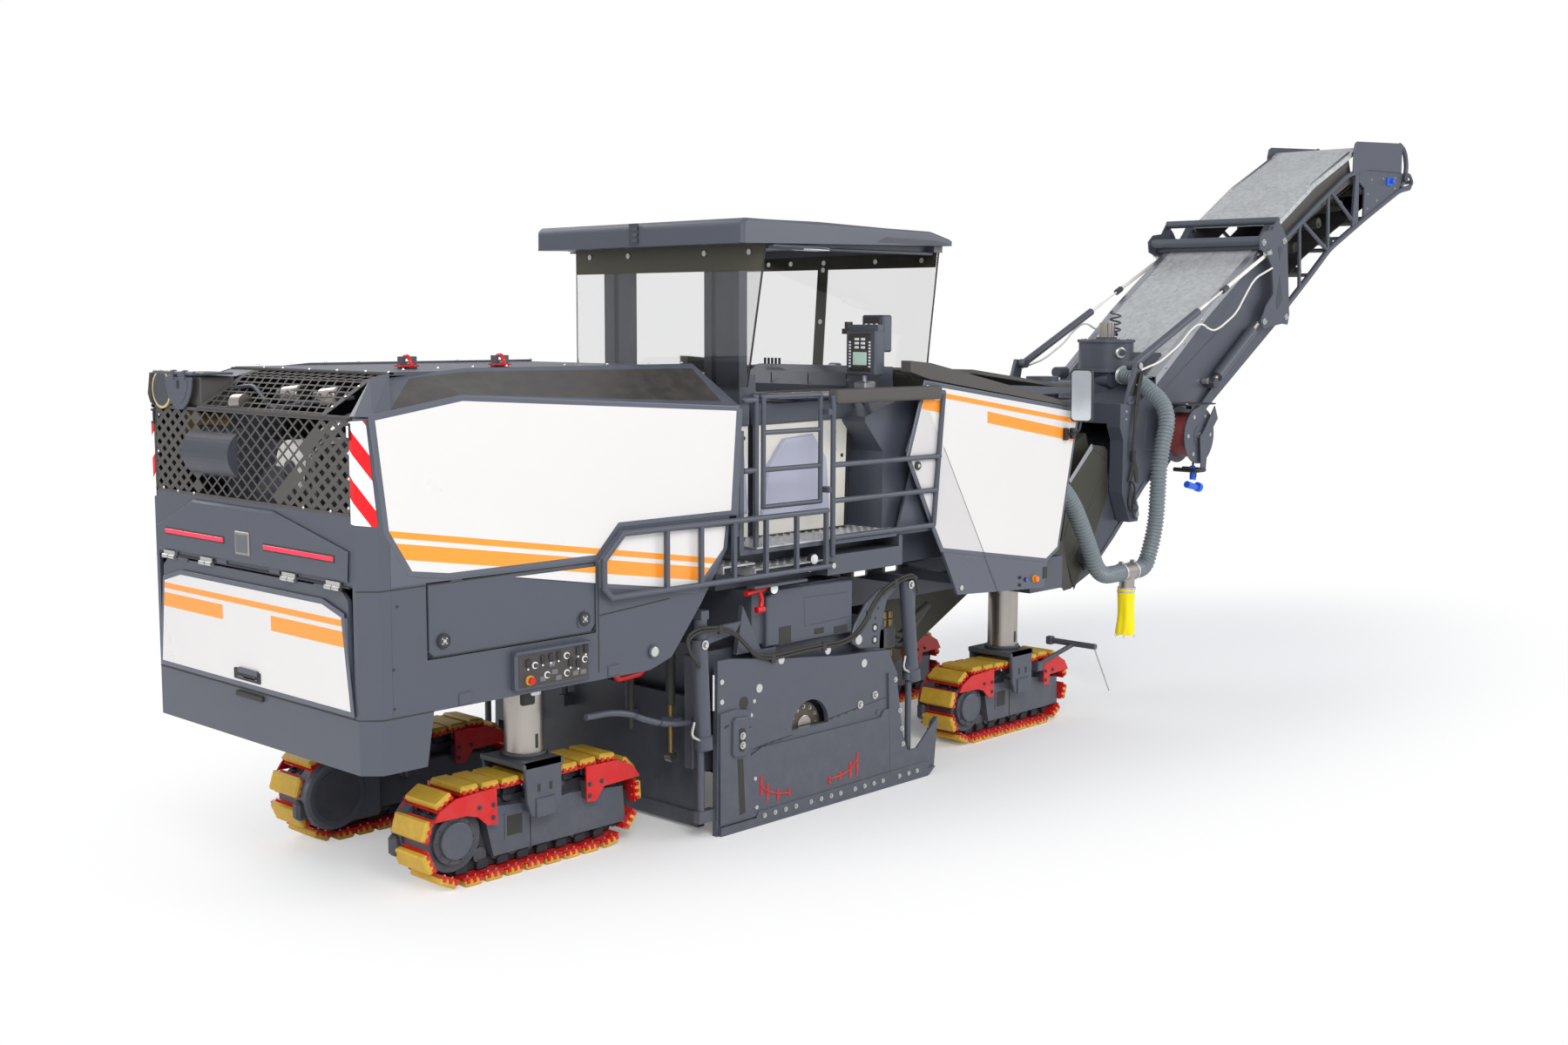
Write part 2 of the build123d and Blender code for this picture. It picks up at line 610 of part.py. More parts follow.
for side, s in SIDES:
    y = s * rail_y
    with BuildPart() as gate:
        frame_tubes([((gate_from, y, gate_low), (gate_from, y, gate_high)),
                     ((gate_hinge, y, gate_low), (gate_hinge, y, gate_high)),
                     ((gate_from, y, gate_low), (gate_hinge, y, gate_low)),
                     ((gate_from, y, gate_high), (gate_hinge, y, gate_high)),
                     ((gate_from, y, 2430), (gate_hinge, y, 2430)),
                     ((gate_from, y, 2680), (gate_hinge, y, 2680))], gate_tube)
    gate.part.label = f"gate_{side}"
    export_step(gate.part, f"parts/gate_{side}.step")

ladder_from = 1660
ladder_to = ladder_pin - 30
rung_pitch = 300
with_rungs = 6
for side, s in SIDES:
    y = s * ladder_y
    with BuildPart() as ladder:
        frame_tubes([((ladder_from + 60, y, ladder_low), (ladder_pin, y, ladder_low)),
                     ((ladder_from + 160, y, ladder_high), (ladder_to, y, ladder_high)),
                     ((ladder_from, y, ladder_high - 150), (ladder_from + 160, y, ladder_high)),
                     ((ladder_from, y, ladder_high - 150), (ladder_from, y, ladder_low + 60)),
                     ((ladder_from, y, ladder_low + 60), (ladder_from + 60, y, ladder_low))], tube)
        for n in range(with_rungs):
            x = 2180 + n * rung_pitch
            block(x - 14, x + 14, y - 14, y + 14, ladder_low, ladder_high)
    ladder.part.label = f"ladder_{side}"
    export_step(ladder.part, f"parts/ladder_{side}.step")

# ---------------------------------------------------------------- canopy
post_plates = ((590, 700), (430, 540), (-444, -370), (-716, -488))        # y from, y to
moving_post_from = 3380
post_deep = 80
fixed_post_from = moving_post_from + post_deep + seat_gap
canopy_from = 3050
canopy_to = 5290
canopy_half = 1075
shell_thick = 30
rear_glass_at = 3356
glass_thick = 12
front_glass_low = (5080, 3000)
front_glass_high = (5200, canopy_low - seat_gap)
glass_half = 1100
front_glass_half = 1010

with BuildPart() as canopy_posts:
    for y0, y1 in post_plates:
        block(fixed_post_from, fixed_post_from + post_deep, y0, y1, floor_height + seat_gap, 3050)
    for y0, y1 in ((430, 700), (-716, -370)):
        block(fixed_post_from + post_deep / 2, fixed_post_from + post_deep, y0, y1,
              floor_height + seat_gap, 2100)
canopy_posts.part.label = "canopy_posts"
export_step(canopy_posts.part, "parts/canopy_posts.step")

with BuildPart() as canopy_roof:
    plate([(canopy_from, canopy_low), (canopy_to, canopy_low + 50), (canopy_to, canopy_low + 86),
           (canopy_to - 240, canopy_high - 25), (canopy_from + 800, canopy_high),
               (canopy_from + 55, canopy_high - 7)],
          -canopy_half, canopy_half)
    plate([(canopy_from + 60, canopy_low - 1), (canopy_to - 60, canopy_low - 1),
           (canopy_to - 60, canopy_low + 60),
           (canopy_to - 260, canopy_high - 25 - shell_thick), (canopy_from + 820, canopy_high - shell_thick),
           (canopy_from + 90, canopy_high - 7 - shell_thick)],
          -canopy_half + 50, canopy_half - 50, Mode.SUBTRACT)
    # bevelled long edges
    for s in (-1, 1):
        wall([(s * (canopy_half + 1), canopy_high + 1), (s * (canopy_half + 1), canopy_low + 110),
              (s * (canopy_half - 60), canopy_high + 1)], canopy_from - 1, canopy_to + 1, Mode.SUBTRACT)
    # frame that carries the glass and the posts
    block(rear_glass_at - 60, rear_glass_at + 60, -canopy_half + 50, canopy_half - 50, canopy_low,
          canopy_low + 60)
    block(5140, 5240, -canopy_half + 50, canopy_half - 50, canopy_low, canopy_low + 60)
    block(moving_post_from, moving_post_from + post_deep, -716, 700, canopy_low, canopy_low + 60)
    for y0, y1 in post_plates:
        block(moving_post_from, moving_post_from + post_deep, y0, y1, 2440, canopy_low)
    for y0, y1 in ((430, 700), (-716, -370)):
        block(moving_post_from, moving_post_from + post_deep / 2, y0, y1, 2440, 2600)
    for s in (-1, 1):
        block(rear_glass_at - 60, 5200, s * 900, s * 960, canopy_low + 2, canopy_low + 60)
canopy_roof.part.label = "canopy_roof"
export_step(canopy_roof.part, "parts/canopy_roof.step")

with BuildPart() as canopy_glass:
    wall([(-812, 2966), (990, 2966), (990, canopy_low - seat_gap), (-989, canopy_low - seat_gap)],
         rear_glass_at, rear_glass_at + glass_thick)
    x0, z0 = front_glass_low
    x1, z1 = front_glass_high
    plate([(x0, z0), (x0 + glass_thick, z0), (x1 + glass_thick, z1), (x1, z1)], -front_glass_half,
          front_glass_half)
canopy_glass.part.label = "canopy_glass"
export_step(canopy_glass.part, "parts/canopy_glass.step")

# ---------------------------------------------------------------- front body
front_thick = 25
with BuildPart() as front_panels:
    for side, s in SIDES:
        y0 = s * (body_half - front_thick)
        y1 = s * body_half
        plate([(5240, 1350), (6380, 1280), (6430, 1520), (6590, 1770), (6850, 2710), (4860, 2990),
               (4620, 2480)], y0, y1)
        block(5400, 5500, s * rail_half, s * (body_half - front_thick), 1400, 1480)
        block(6200, 6300, s * rail_half, s * (body_half - front_thick), 1400, 1480)
    # front face of the body
    plate([(6585, 1770), (6845, 2705), (6820, 2705), (6560, 1770)], -body_half + front_thick,
          -nose_cheek - 2)
    plate([(6585, 1770), (6845, 2705), (6820, 2705), (6560, 1770)], nose_cheek + 2,
          body_half - front_thick)
front_panels.part.label = "front_panels"
export_step(front_panels.part, "parts/front_panels.step")

cowl_from = 5250
with BuildPart() as front_hood:
    for side, s in SIDES:
        # sloping deck on each side, from above the side panel up to the middle deck
        plate([(4640, 3060), (4870, 3000), (6850, 2720), (6850, 2745), (4880, 3120), (4640, 3140)],
              s * (glass_half + 30), s * body_half)
    plate([(cowl_from, 3050), (5500, 3060), (6600, 2930), (6850, 2915), (6850, nose_high + seat_gap),
           (6590, 2905),
           (5500, 3030), (cowl_from + panel, 3020), (cowl_from + panel, 2900), (cowl_from, 2900)],
          -glass_half - 30, glass_half + 30)
front_hood.part.label = "front_hood"
export_step(front_hood.part, "parts/front_hood.step")

with BuildPart() as mirrors:
    for side, s in SIDES:
        block(6720, 6760, s * (body_half + 30), s * (body_half + 200), 2640, 3050)
        rod((6700, s * (body_half + 1), 2560), (6700, s * (body_half + 60), 2560), 16)
        rod((6700, s * (body_half + 50), 2560), (6735, s * (body_half + 60), 2660), 16)
        block(6660, 6740, s * (body_half + seat_gap), s * (body_half + 30), 2500, 2620)
mirrors.part.label = "mirrors"
export_step(mirrors.part, "parts/mirrors.step")

primary_half = 400
with BuildPart() as primary_conveyor:
    plate([(4600, 380), (4900, 380), (7200, 1500), (8200, 2120), (8250, 2250), (8180, 2420), (7000, 1900),
           (4600, 900)], -primary_half, primary_half)
    for s in (-1, 1):
        block(6100, 6200, s * primary_half, s * (nose_cheek - 30 - seat_gap), 1500, 1560)
primary_conveyor.part.label = "primary_conveyor"
export_step(primary_conveyor.part, "parts/primary_conveyor.step")

# ---------------------------------------------------------------- slewing frame
beam_from = 8300
beam_to = 8600
beam_low = 2510
beam_high = 2690
neck_low = nose_low - 60
post_from = 8360                # the slewing frame's slim posts
post_to = 8500
stay_y = 605
stay_pin = 20
with BuildPart() as slewing_frame:
    block(slew_at - 200, beam_to, -330, 330, beam_high - 30, neck_low - seat_gap)
    block(beam_from, beam_to, -column_outer, column_outer, beam_low, beam_high)
    for s in (-1, 1):
        plate([(beam_from, beam_high), (beam_from, 2480), (post_from, 2360), (post_from, 1880),
               (lift_at - 80, lift_height - 70), (lift_at + 60, lift_height - 70),
               (lift_at + 70, lift_height + 60), (post_to, 1960), (post_to, 2440), (beam_to, 2490),
               (beam_to, beam_high)], s * column_inner, s * column_outer)
        # arm that carries the stay's base pin
        plate([(beam_to - 200, beam_high - 1), (beam_to - 30, beam_high - 1), (beam_to + 40, 2980),
               (beam_to + 40, 3060), (beam_to - 50, 3070)], s * (stay_y + 45), s * column_outer)
        rod((lift_at, s * (conveyor_half + seat_gap), lift_height),
            (lift_at, s * (column_outer + 20), lift_height), 40)
        rod((beam_to, s * (stay_y - 40), 3030), (beam_to, s * (column_outer + 10), 3030), stay_pin)
slewing_frame.part.label = "slewing_frame"
export_step(slewing_frame.part, "parts/slewing_frame.step")

# ---------------------------------------------------------------- lower conveyor
belt_wall = 40
tail = [(7770, 1040), (7560, 1350), (8160, 1640), (8320, 1900), (8700, 2420)]
lower_top = [(8860, 2640), (10040, 3480), (11200, 4200), (fold_at - 60, fold_height - 40)]
lower_end = [(fold_at - 30, fold_height - 60), (11530, 3450)]
lower_chord = [(10090, 2580), (9010, 1890), (8470, 1430), (8100, 1150)]
cover_half = 420
fold_pin = 20
fan_at = 9100
reel_at = 9380
reel_height = 2370
reel_radius = 270
reel_inner = 630
reel_outer = 880

with BuildPart() as lower_conveyor:
    # two side walls, a floor and a top cover make a closed trough
    for s in (-1, 1):
        plate(tail + lower_top + lower_end + lower_chord, s * (conveyor_half - belt_wall), s * conveyor_half)
        rod((lift_at, s * (conveyor_half - belt_wall - 20), lift_height),
            (lift_at, s * conveyor_half, lift_height), 90)
        # roll tubes that carry the stay eyes
        rod((11150, s * 500, 4150), (11150, s * 620, 4150), 25)
    plate([(8860, 2640), (10040, 3480), (11200, 4200), (11180, 4225), (10020, 3505), (8840, 2665)],
          -conveyor_half, conveyor_half)
    plate([(8860, 2640), (8840, 2665), (9140, 2960), (9400, 3140), (9420, 3110)], -cover_half, cover_half)
    plate([(7790, 1040), (8100, 1150), (8470, 1430), (9010, 1890), (10090, 2580), (11530, 3450),
           (11530, 3490), (10070, 2620), (8990, 1930), (8450, 1470), (8090, 1190), (7780, 1080)],
          -conveyor_half, conveyor_half)
    rod((7960, -conveyor_half - 60, 1330), (7960, conveyor_half + 60, 1330), 70)
    # fold hinge eyes
    for y0, y1 in ((-495, -420), (420, 495)):
        plate([(fold_at - 200, fold_height - 140), (fold_at - 30, fold_height - 140),
               (fold_at + 45, fold_height - 30), (fold_at + 45, fold_height + 30),
               (fold_at - 30, fold_height + 50)], y0, y1)
    rod((fold_at, -500, fold_height), (fold_at, 500, fold_height), fold_pin + seat_gap, Mode.SUBTRACT)
    # fan housing with its neck on the trough, and the stub that the dust hose slips over
    rod((fan_at, 0, 2700), (fan_at, 0, 2980), 170)
    rod((8990, -15, 2890), (8960.06, -169.7, 2890), 78)
    rod((fan_at, 0, 2980), (fan_at, 0, 3260), 260)
    rod((fan_at + 40, 0, 3260), (fan_at + 40, 0, 3420), 55)
    # reel bracket
    block(reel_at - 40, reel_at + 40, -reel_inner + seat_gap, -conveyor_half, reel_height - 40,
          reel_height + 300)
lower_conveyor.part.label = "lower_conveyor"
export_step(lower_conveyor.part, "parts/lower_conveyor.step")

with BuildPart() as hose_reel:
    for y0, y1 in ((reel_inner, reel_inner + 14), (reel_outer - 14, reel_outer)):
        rod((reel_at, -y0, reel_height), (reel_at, -y1, reel_height), reel_radius)
    rod((reel_at, -reel_inner, reel_height), (reel_at, -reel_outer, reel_height), reel_radius - 60)
hose_reel.part.label = "hose_reel"
export_step(hose_reel.part, "parts/hose_reel.step")

# Ribbed dust hose from the fan down to the branch piece, and the sleeve below it
hose_radius = 75
hose_y = -860
branch_at = 8210
branch_height = 1170
with BuildPart() as dust_hose:
    pipe([(8960, -170, 2890), (8900, -480, 2890), (8860, hose_y, 2640), (8690, hose_y, 2200),
          (8660, hose_y, 1560), (8470, hose_y, branch_height + 20), (branch_at, hose_y, branch_height + 20)],
         hose_radius, 150)
    rod((branch_at + 100, hose_y, branch_height + 20), (branch_at - 120, hose_y, branch_height + 20),
        hose_radius + 8)
    rod((branch_at - 20, hose_y, branch_height), (branch_at - 20, hose_y, 1040), 70)
dust_hose.part.label = "dust_hose"
export_step(dust_hose.part, "parts/dust_hose.step")

with BuildPart() as dust_sleeve:
    rod((branch_at - 20, hose_y, 1040 - seat_gap), (branch_at - 20, hose_y, 610), 85)
dust_sleeve.part.label = "dust_sleeve"
export_step(dust_sleeve.part, "parts/dust_sleeve.step")

# Hose from the body to the branch piece; it bends as the conveyor slews
with BuildPart() as suction_hose:
    pipe([(6950, hose_y, 2150), (7250, hose_y, 1950), (7520, hose_y, 1560),
          (7740, hose_y, branch_height + 20),
          (branch_at - 120 - seat_gap, hose_y, branch_height + 20)], hose_radius, 120)
suction_hose.part.label = "suction_hose"
export_step(suction_hose.part, "parts/suction_hose.step")

# ---------------------------------------------------------------- upper conveyor
fold_gap = 12
upper_top = [(fold_at + 72, fold_height + 10), (12300, 4860), (13300, 5300), (14330, 5440)]
upper_tip = [(14450, 5370), (14720, 5040), (14620, 4960), (14340, 4920)]
upper_chord = [(12660, 4210), (12220, 3910), (11530 + fold_gap + 20, 3470)]
with BuildPart() as upper_conveyor:
    for s in (-1, 1):
        plate(upper_top + upper_tip + upper_chord + [(fold_at + 90, fold_height - 160)],
              s * (conveyor_half - belt_wall), s * conveyor_half)
        rod((fold_at, s * 300, fold_height), (fold_at, s * conveyor_half, fold_height), fold_pin)
        plate([(fold_at - 25, fold_height - 25), (fold_at + 120, fold_height - 25),
               (fold_at + 120, fold_height + 55), (fold_at - 25, fold_height + 25)], s * 340, s * 400)
    plate([(fold_at + 72, fold_height + 10), (12300, 4860), (13300, 5300), (14330, 5440), (14330, 5480),
           (13290, 5330), (12280, 4890), (fold_at + 70, fold_height + 40)], -conveyor_half, conveyor_half)
    plate([(14340, 4920), (12660, 4210), (12220, 3910), (11562, 3470), (11562, 3510), (12200, 3950),
           (12650, 4250), (14330, 4960)], -conveyor_half, conveyor_half)
    plate([(14450, 5370), (14720, 5040), (14620, 4960), (14590, 4990), (14670, 5050), (14430, 5350)],
          -conveyor_half, conveyor_half)
    rod((14450, -conveyor_half, 5150), (14450, conveyor_half, 5150), 150)
upper_conveyor.part.label = "upper_conveyor"
export_step(upper_conveyor.part, "parts/upper_conveyor.step")

# ---------------------------------------------------------------- stays
stay_base = (beam_to, 3030)
stay_eye = (11150, 4150)
barrel_length = 1250
stay_angle = math.atan2(stay_eye[1] - stay_base[1], stay_eye[0] - stay_base[0])


def on_stay(distance, y):
    """Point on a stay, measured from its base pin"""
    return (stay_base[0] + distance * math.cos(stay_angle), y,
            stay_base[1] + distance * math.sin(stay_angle))


stay_length = math.dist(stay_base, stay_eye)
stay_rod_radius = 14
stay_bore = stay_rod_radius + seat_gap
with BuildPart() as stay_barrels:
    for s in (-1, 1):
        rod(on_stay(0, s * stay_y), on_stay(barrel_length, s * stay_y), 36)
        rod((stay_base[0], s * (stay_y - 36), stay_base[1]), (stay_base[0], s * (stay_y + 36),
                                                              stay_base[1]), 42)
        rod((stay_base[0], s * (stay_y - 50), stay_base[1]), (stay_base[0], s * (stay_y + 50), stay_base[1]),
            stay_pin + seat_gap, Mode.SUBTRACT)
        rod(on_stay(120, s * stay_y), on_stay(barrel_length + 1, s * stay_y), stay_bore, Mode.SUBTRACT)
stay_barrels.part.label = "stay_barrels"
export_step(stay_barrels.part, "parts/stay_barrels.step")

with BuildPart() as stay_rods:
    for s in (-1, 1):
        rod(on_stay(barrel_length - 420, s * stay_y), on_stay(barrel_length + 200, s * stay_y),
            stay_rod_radius)
        rod(on_stay(barrel_length + 200, s * stay_y), on_stay(stay_length - 60, s * stay_y), 9)
stay_rods.part.label = "stay_rods"
export_step(stay_rods.part, "parts/stay_rods.step")
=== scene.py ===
# %% [markdown]
# # Cold planer milling machine
# The machine stands on four tracks. The imported CAD model gives the place of every part, and
# this lesson adds what a maker's paint shop, track shop and trim shop would add. First the frame
# is loaded, and its box is kept.

# %% Load the frame
import json
from math import atan2, copysign, cos, pi, radians, sin, sqrt, tau

import bmesh
import bpy
from mathutils import Matrix, Vector


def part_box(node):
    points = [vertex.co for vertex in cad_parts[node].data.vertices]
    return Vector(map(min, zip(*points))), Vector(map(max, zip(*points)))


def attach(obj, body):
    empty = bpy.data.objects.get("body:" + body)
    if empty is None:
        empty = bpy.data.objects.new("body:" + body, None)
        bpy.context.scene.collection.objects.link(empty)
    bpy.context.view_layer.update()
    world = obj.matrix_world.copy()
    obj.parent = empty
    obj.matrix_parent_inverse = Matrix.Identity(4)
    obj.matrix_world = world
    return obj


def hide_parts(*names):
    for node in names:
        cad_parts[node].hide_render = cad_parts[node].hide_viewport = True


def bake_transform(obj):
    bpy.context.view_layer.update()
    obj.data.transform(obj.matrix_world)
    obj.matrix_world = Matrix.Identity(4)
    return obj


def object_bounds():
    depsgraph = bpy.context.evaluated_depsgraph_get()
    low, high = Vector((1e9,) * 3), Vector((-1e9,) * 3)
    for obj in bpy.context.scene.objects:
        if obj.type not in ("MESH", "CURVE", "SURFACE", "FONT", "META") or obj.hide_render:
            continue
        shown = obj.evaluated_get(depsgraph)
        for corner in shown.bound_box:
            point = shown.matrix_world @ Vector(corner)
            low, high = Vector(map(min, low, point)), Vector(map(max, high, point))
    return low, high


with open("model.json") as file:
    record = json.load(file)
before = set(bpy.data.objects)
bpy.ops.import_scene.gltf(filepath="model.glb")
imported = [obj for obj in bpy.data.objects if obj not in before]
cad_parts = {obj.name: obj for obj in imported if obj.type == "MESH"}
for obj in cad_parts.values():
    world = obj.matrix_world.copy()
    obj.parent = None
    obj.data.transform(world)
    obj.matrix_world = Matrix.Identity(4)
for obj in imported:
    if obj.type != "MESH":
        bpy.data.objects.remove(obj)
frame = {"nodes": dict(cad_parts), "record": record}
cad_box = [list(map(float, corner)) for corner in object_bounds()]
rear_overhang = 0.034           # latches behind the rear face
rear_x = cad_box[0][0] + rear_overhang
print("CAD box", cad_box)


def at(station):
    """x of a place measured forward from the rear face, in metres"""
    return rear_x + station


# %% [markdown]
# ## Helpers for colours and shader nodes
# Colours are written as a colour picker shows them, so a helper turns them into linear values. The
# others add a shader node with its inputs in one line, because every finish and the studio's light
# are made of such nodes.


# %% Colour helper
def rgb(red, green, blue):
    """Linear colour of a value given as 0-255 screen colour."""
    def linear(value):
        value = value / 255
        return value / 12.92 if value <= 0.04045 else ((value + 0.055) / 1.055) ** 2.4
    return (linear(red), linear(green), linear(blue), 1.0)


print("dark grey paint is", [round(v, 3) for v in rgb(87, 91, 101)])


# %% Helpers for node groups
def new_group(name, inputs, outputs):
    """A shader node group: inputs and outputs are (name, kind, default) and (name, kind)."""
    group = bpy.data.node_groups.new(name, "ShaderNodeTree")
    kinds = {"float": "NodeSocketFloat", "colour": "NodeSocketColor", "vector": "NodeSocketVector"}
    for label, kind, default in inputs:
        socket = group.interface.new_socket(label, in_out="INPUT", socket_type=kinds[kind])
        socket.default_value = default
    for label, kind in outputs:
        group.interface.new_socket(label, in_out="OUTPUT", socket_type=kinds[kind])
    return group, group.nodes.new("NodeGroupInput"), group.nodes.new("NodeGroupOutput")


def add(tree, kind, **settings):
    """Adds a node, sets its properties, and sets or links its inputs given as i0=, i1=, ..."""
    node = tree.nodes.new("ShaderNode" + kind)
    for key, value in settings.items():
        if key[0] == "i" and key[1:].isdigit():
            feed(tree, node, int(key[1:]), value)
        else:
            setattr(node, key, value)
    return node


def feed(tree, node, socket, value):
    """Links an output into an input, or sets the input's own value."""
    if isinstance(value, bpy.types.NodeSocket):
        tree.links.new(value, node.inputs[socket])
    else:
        node.inputs[socket].default_value = value


def maths(operation, first, second=0.0, clamp=False):
    """A Math node in the tree that its first socket belongs to."""
    node = add(first.id_data, "Math", operation=operation, use_clamp=clamp, i0=first, i1=second)
    return node.outputs[0]


def plus(first, second, clamp=False):
    return maths("ADD", first, second, clamp)


def minus(first, second, clamp=False):
    return maths("SUBTRACT", first, second, clamp)


def times(first, second, clamp=False):
    return maths("MULTIPLY", first, second, clamp)


def mixed(amount, first, second):
    """Mix of two colours."""
    tree = amount.id_data
    node = tree.nodes.new("ShaderNodeMix")
    node.data_type = "RGBA"
    for socket, value in ((0, amount), (6, first), (7, second)):
        feed(tree, node, socket, value)
    return node.outputs[2]


def noise(vector, scale, detail=3.0, rough=0.5):
    node = add(vector.id_data, "TexNoise", i0=vector, i2=scale, i3=detail, i4=rough)
    return node.outputs["Fac"]


def band(value, low, high, soft=0.002):
    """1 between two heights of a value, 0 outside, with a soft edge."""
    up = add(value.id_data, "MapRange", i0=value, i1=low - soft, i2=low + soft).outputs[0]
    down = add(value.id_data, "MapRange", i0=value, i1=high - soft, i2=high + soft).outputs[0]
    return minus(up, down, clamp=True)


print("helpers ready")

# %% [markdown]
# ## Camera and light
# The camera stands behind the rear right corner at head height of a tall person on a step, with a
# medium lens. Large soft lamps and a pale floor make a studio: the key comes from the right
# behind the camera, and the floor stays white because only rays from the camera see it bright.

# %% Camera
camera_place = Vector((at(-5.191), -9.229, 3.411))
camera_yaw = radians(43.32)
camera_pitch = radians(-6.58)
camera_roll = radians(0.2)
camera_data = bpy.data.cameras.new("camera")
camera_data.sensor_width = 36.0
camera_data.lens = 39.76
camera = bpy.data.objects.new("camera", camera_data)
bpy.context.scene.collection.objects.link(camera)
forward = Vector((cos(camera_yaw) * cos(camera_pitch), sin(camera_yaw) * cos(camera_pitch),
    sin(camera_pitch)))
turn = forward.to_track_quat("-Z", "Y").to_matrix() @ Matrix.Rotation(camera_roll, 3, "Z")
camera.matrix_world = Matrix.Translation(camera_place) @ turn.to_4x4()
camera_data.clip_end = 200.0
bpy.context.scene.camera = camera
print("camera", camera_place)


# %% Lamps, world and floor
def lamp(name, place, target, size, power):
    """A square soft box that looks at a point."""
    data = bpy.data.lights.new(name, "AREA")
    data.size = size
    data.energy = power
    thing = bpy.data.objects.new(name, data)
    bpy.context.scene.collection.objects.link(thing)
    aim = (Vector(target) - Vector(place)).to_track_quat("-Z", "Y").to_matrix().to_4x4()
    thing.matrix_world = Matrix.Translation(Vector(place)) @ aim
    return thing


lamp("key_light", (at(-4), -13, 11), (at(5), 0, 1.5), 7, 1500)
lamp("fill_light", (at(16), -12, 8), (at(8), 0, 2), 8, 700)
lamp("back_light", (at(2), 13, 11), (at(5), 0, 2), 8, 700)
lamp("rear_light", (at(-11), 1, 6), (at(0), 0, 2), 6, 420)

scene = bpy.context.scene
scene.view_settings.view_transform = "Standard"
world = bpy.data.worlds.new("studio")
world.use_nodes = True
scene.world = world
sky = world.node_tree
sky.nodes.clear()
sky_light = add(sky, "Background", i0=(0.93, 0.95, 1.0, 1), i1=0.62)
sky_white = add(sky, "Background", i0=(1, 1, 1, 1), i1=1.0)
sky_path = add(sky, "LightPath").outputs
sky_seen = maths("MAXIMUM", sky_path["Is Camera Ray"], sky_path["Is Transmission Ray"])
sky_mix = add(sky, "MixShader", i0=sky_seen, i1=sky_light.outputs[0], i2=sky_white.outputs[0])
add(sky, "OutputWorld", i0=sky_mix.outputs[0])


def link_object(name, mesh):
    thing = bpy.data.objects.new(name, mesh)
    bpy.context.scene.collection.objects.link(thing)
    return thing


floor_mesh = bpy.data.meshes.new("floor")
floor_form = bmesh.new()
bmesh.ops.create_grid(floor_form, x_segments=1, y_segments=1, size=90)
floor_form.to_mesh(floor_mesh)
floor_form.free()
floor = link_object("floor", floor_mesh)
floor_material = bpy.data.materials.new("floor_paint")
floor_material.use_nodes = True
floor_nodes = floor_material.node_tree
floor_shader = floor_nodes.nodes["Principled BSDF"]
floor_shader.inputs["Base Color"].default_value = (0.93, 0.93, 0.93, 1)
floor_shader.inputs["Roughness"].default_value = 0.9
# away from the machine, seen directly or in a mirror, the floor fades into the white background
floor_glow = add(floor_nodes, "Emission", i0=(1, 1, 1, 1))
floor_path = add(floor_nodes, "LightPath").outputs
floor_place = add(floor_nodes, "TexCoord").outputs["Object"]
floor_shift = add(floor_nodes, "VectorMath", operation="MULTIPLY", i0=floor_place, i1=(1 / 5.2, 1 / 2.3, 1))
floor_away = add(floor_nodes, "VectorMath", operation="LENGTH", i0=floor_shift.outputs[0])
floor_fade = add(floor_nodes, "MapRange", interpolation_type="SMOOTHSTEP", i0=floor_away.outputs["Value"],
    i1=0.85, i2=1.9, i3=0.12, i4=1.0)
floor_seen = maths("MAXIMUM", floor_path["Is Camera Ray"], floor_path["Is Transmission Ray"])
floor_amount = times(floor_fade.outputs[0], floor_seen)
floor_mix = add(floor_nodes, "MixShader", i0=floor_amount, i1=floor_shader.outputs[0],
    i2=floor_glow.outputs[0])
feed(floor_nodes, floor_nodes.nodes["Material Output"], 0, floor_mix.outputs[0])
floor_mesh.materials.append(floor_material)
print("studio is set")

# %% [markdown]
# ## Shared effects
# A real machine's paint is never one colour: it has faint mottling from the spray gun, a little
# orange peel, and dust that settles low down and on level faces. All of those are made in one node
# group with named sockets, built once and placed in every material that needs it.

# %% Paint group
paint_group, given, result = new_group("sprayed_paint", [("Paint", "colour", (0.5, 0.5, 0.5, 1)),
    ("Mottle", "float", 0.12), ("Dust", "float", 0.2), ("Dust Colour", "colour", rgb(150, 142, 130)),
    ("Gloss", "float", 0.35)], [("Colour", "colour"), ("Roughness", "float"), ("Height", "float")])
place = add(paint_group, "TexCoord").outputs["Object"]
cloud = noise(place, 1.7, 5.0)
speck = noise(place, 60.0, 2.0)
lighter = times(minus(cloud, 0.5), given.outputs["Mottle"])
shade = plus(lighter, 1.0)
tinted = add(paint_group, "VectorMath", operation="SCALE", i0=given.outputs["Paint"])
paint_group.links.new(shade, tinted.inputs[3])
up_face = add(paint_group, "SeparateXYZ", i0=add(paint_group, "NewGeometry").outputs["Normal"]).outputs[2]
low_down = add(paint_group, "SeparateXYZ", i0=place).outputs[2]
near_ground = add(paint_group, "MapRange", i0=low_down, i1=1.1, i2=0.2).outputs[0]
level = times(maths("MAXIMUM", up_face, 0.0), 0.35)
settled = plus(level, near_ground)
patchy = add(paint_group, "MapRange", i0=noise(place, 9.0, 6.0, 0.65), i1=0.42, i2=0.7).outputs[0]
dusty = times(times(settled, patchy), given.outputs["Dust"], clamp=True)
paint_group.links.new(mixed(dusty, tinted.outputs[0], given.outputs["Dust Colour"]), result.inputs["Colour"])
uneven = times(minus(cloud, 0.5), 0.16)
dull = times(dusty, 0.5)
paint_group.links.new(plus(plus(given.outputs["Gloss"], uneven), dull, clamp=True),
    result.inputs["Roughness"])
paint_group.links.new(speck, result.inputs["Height"])
print("sprayed_paint outputs", [s.name for s in result.inputs if s.name])

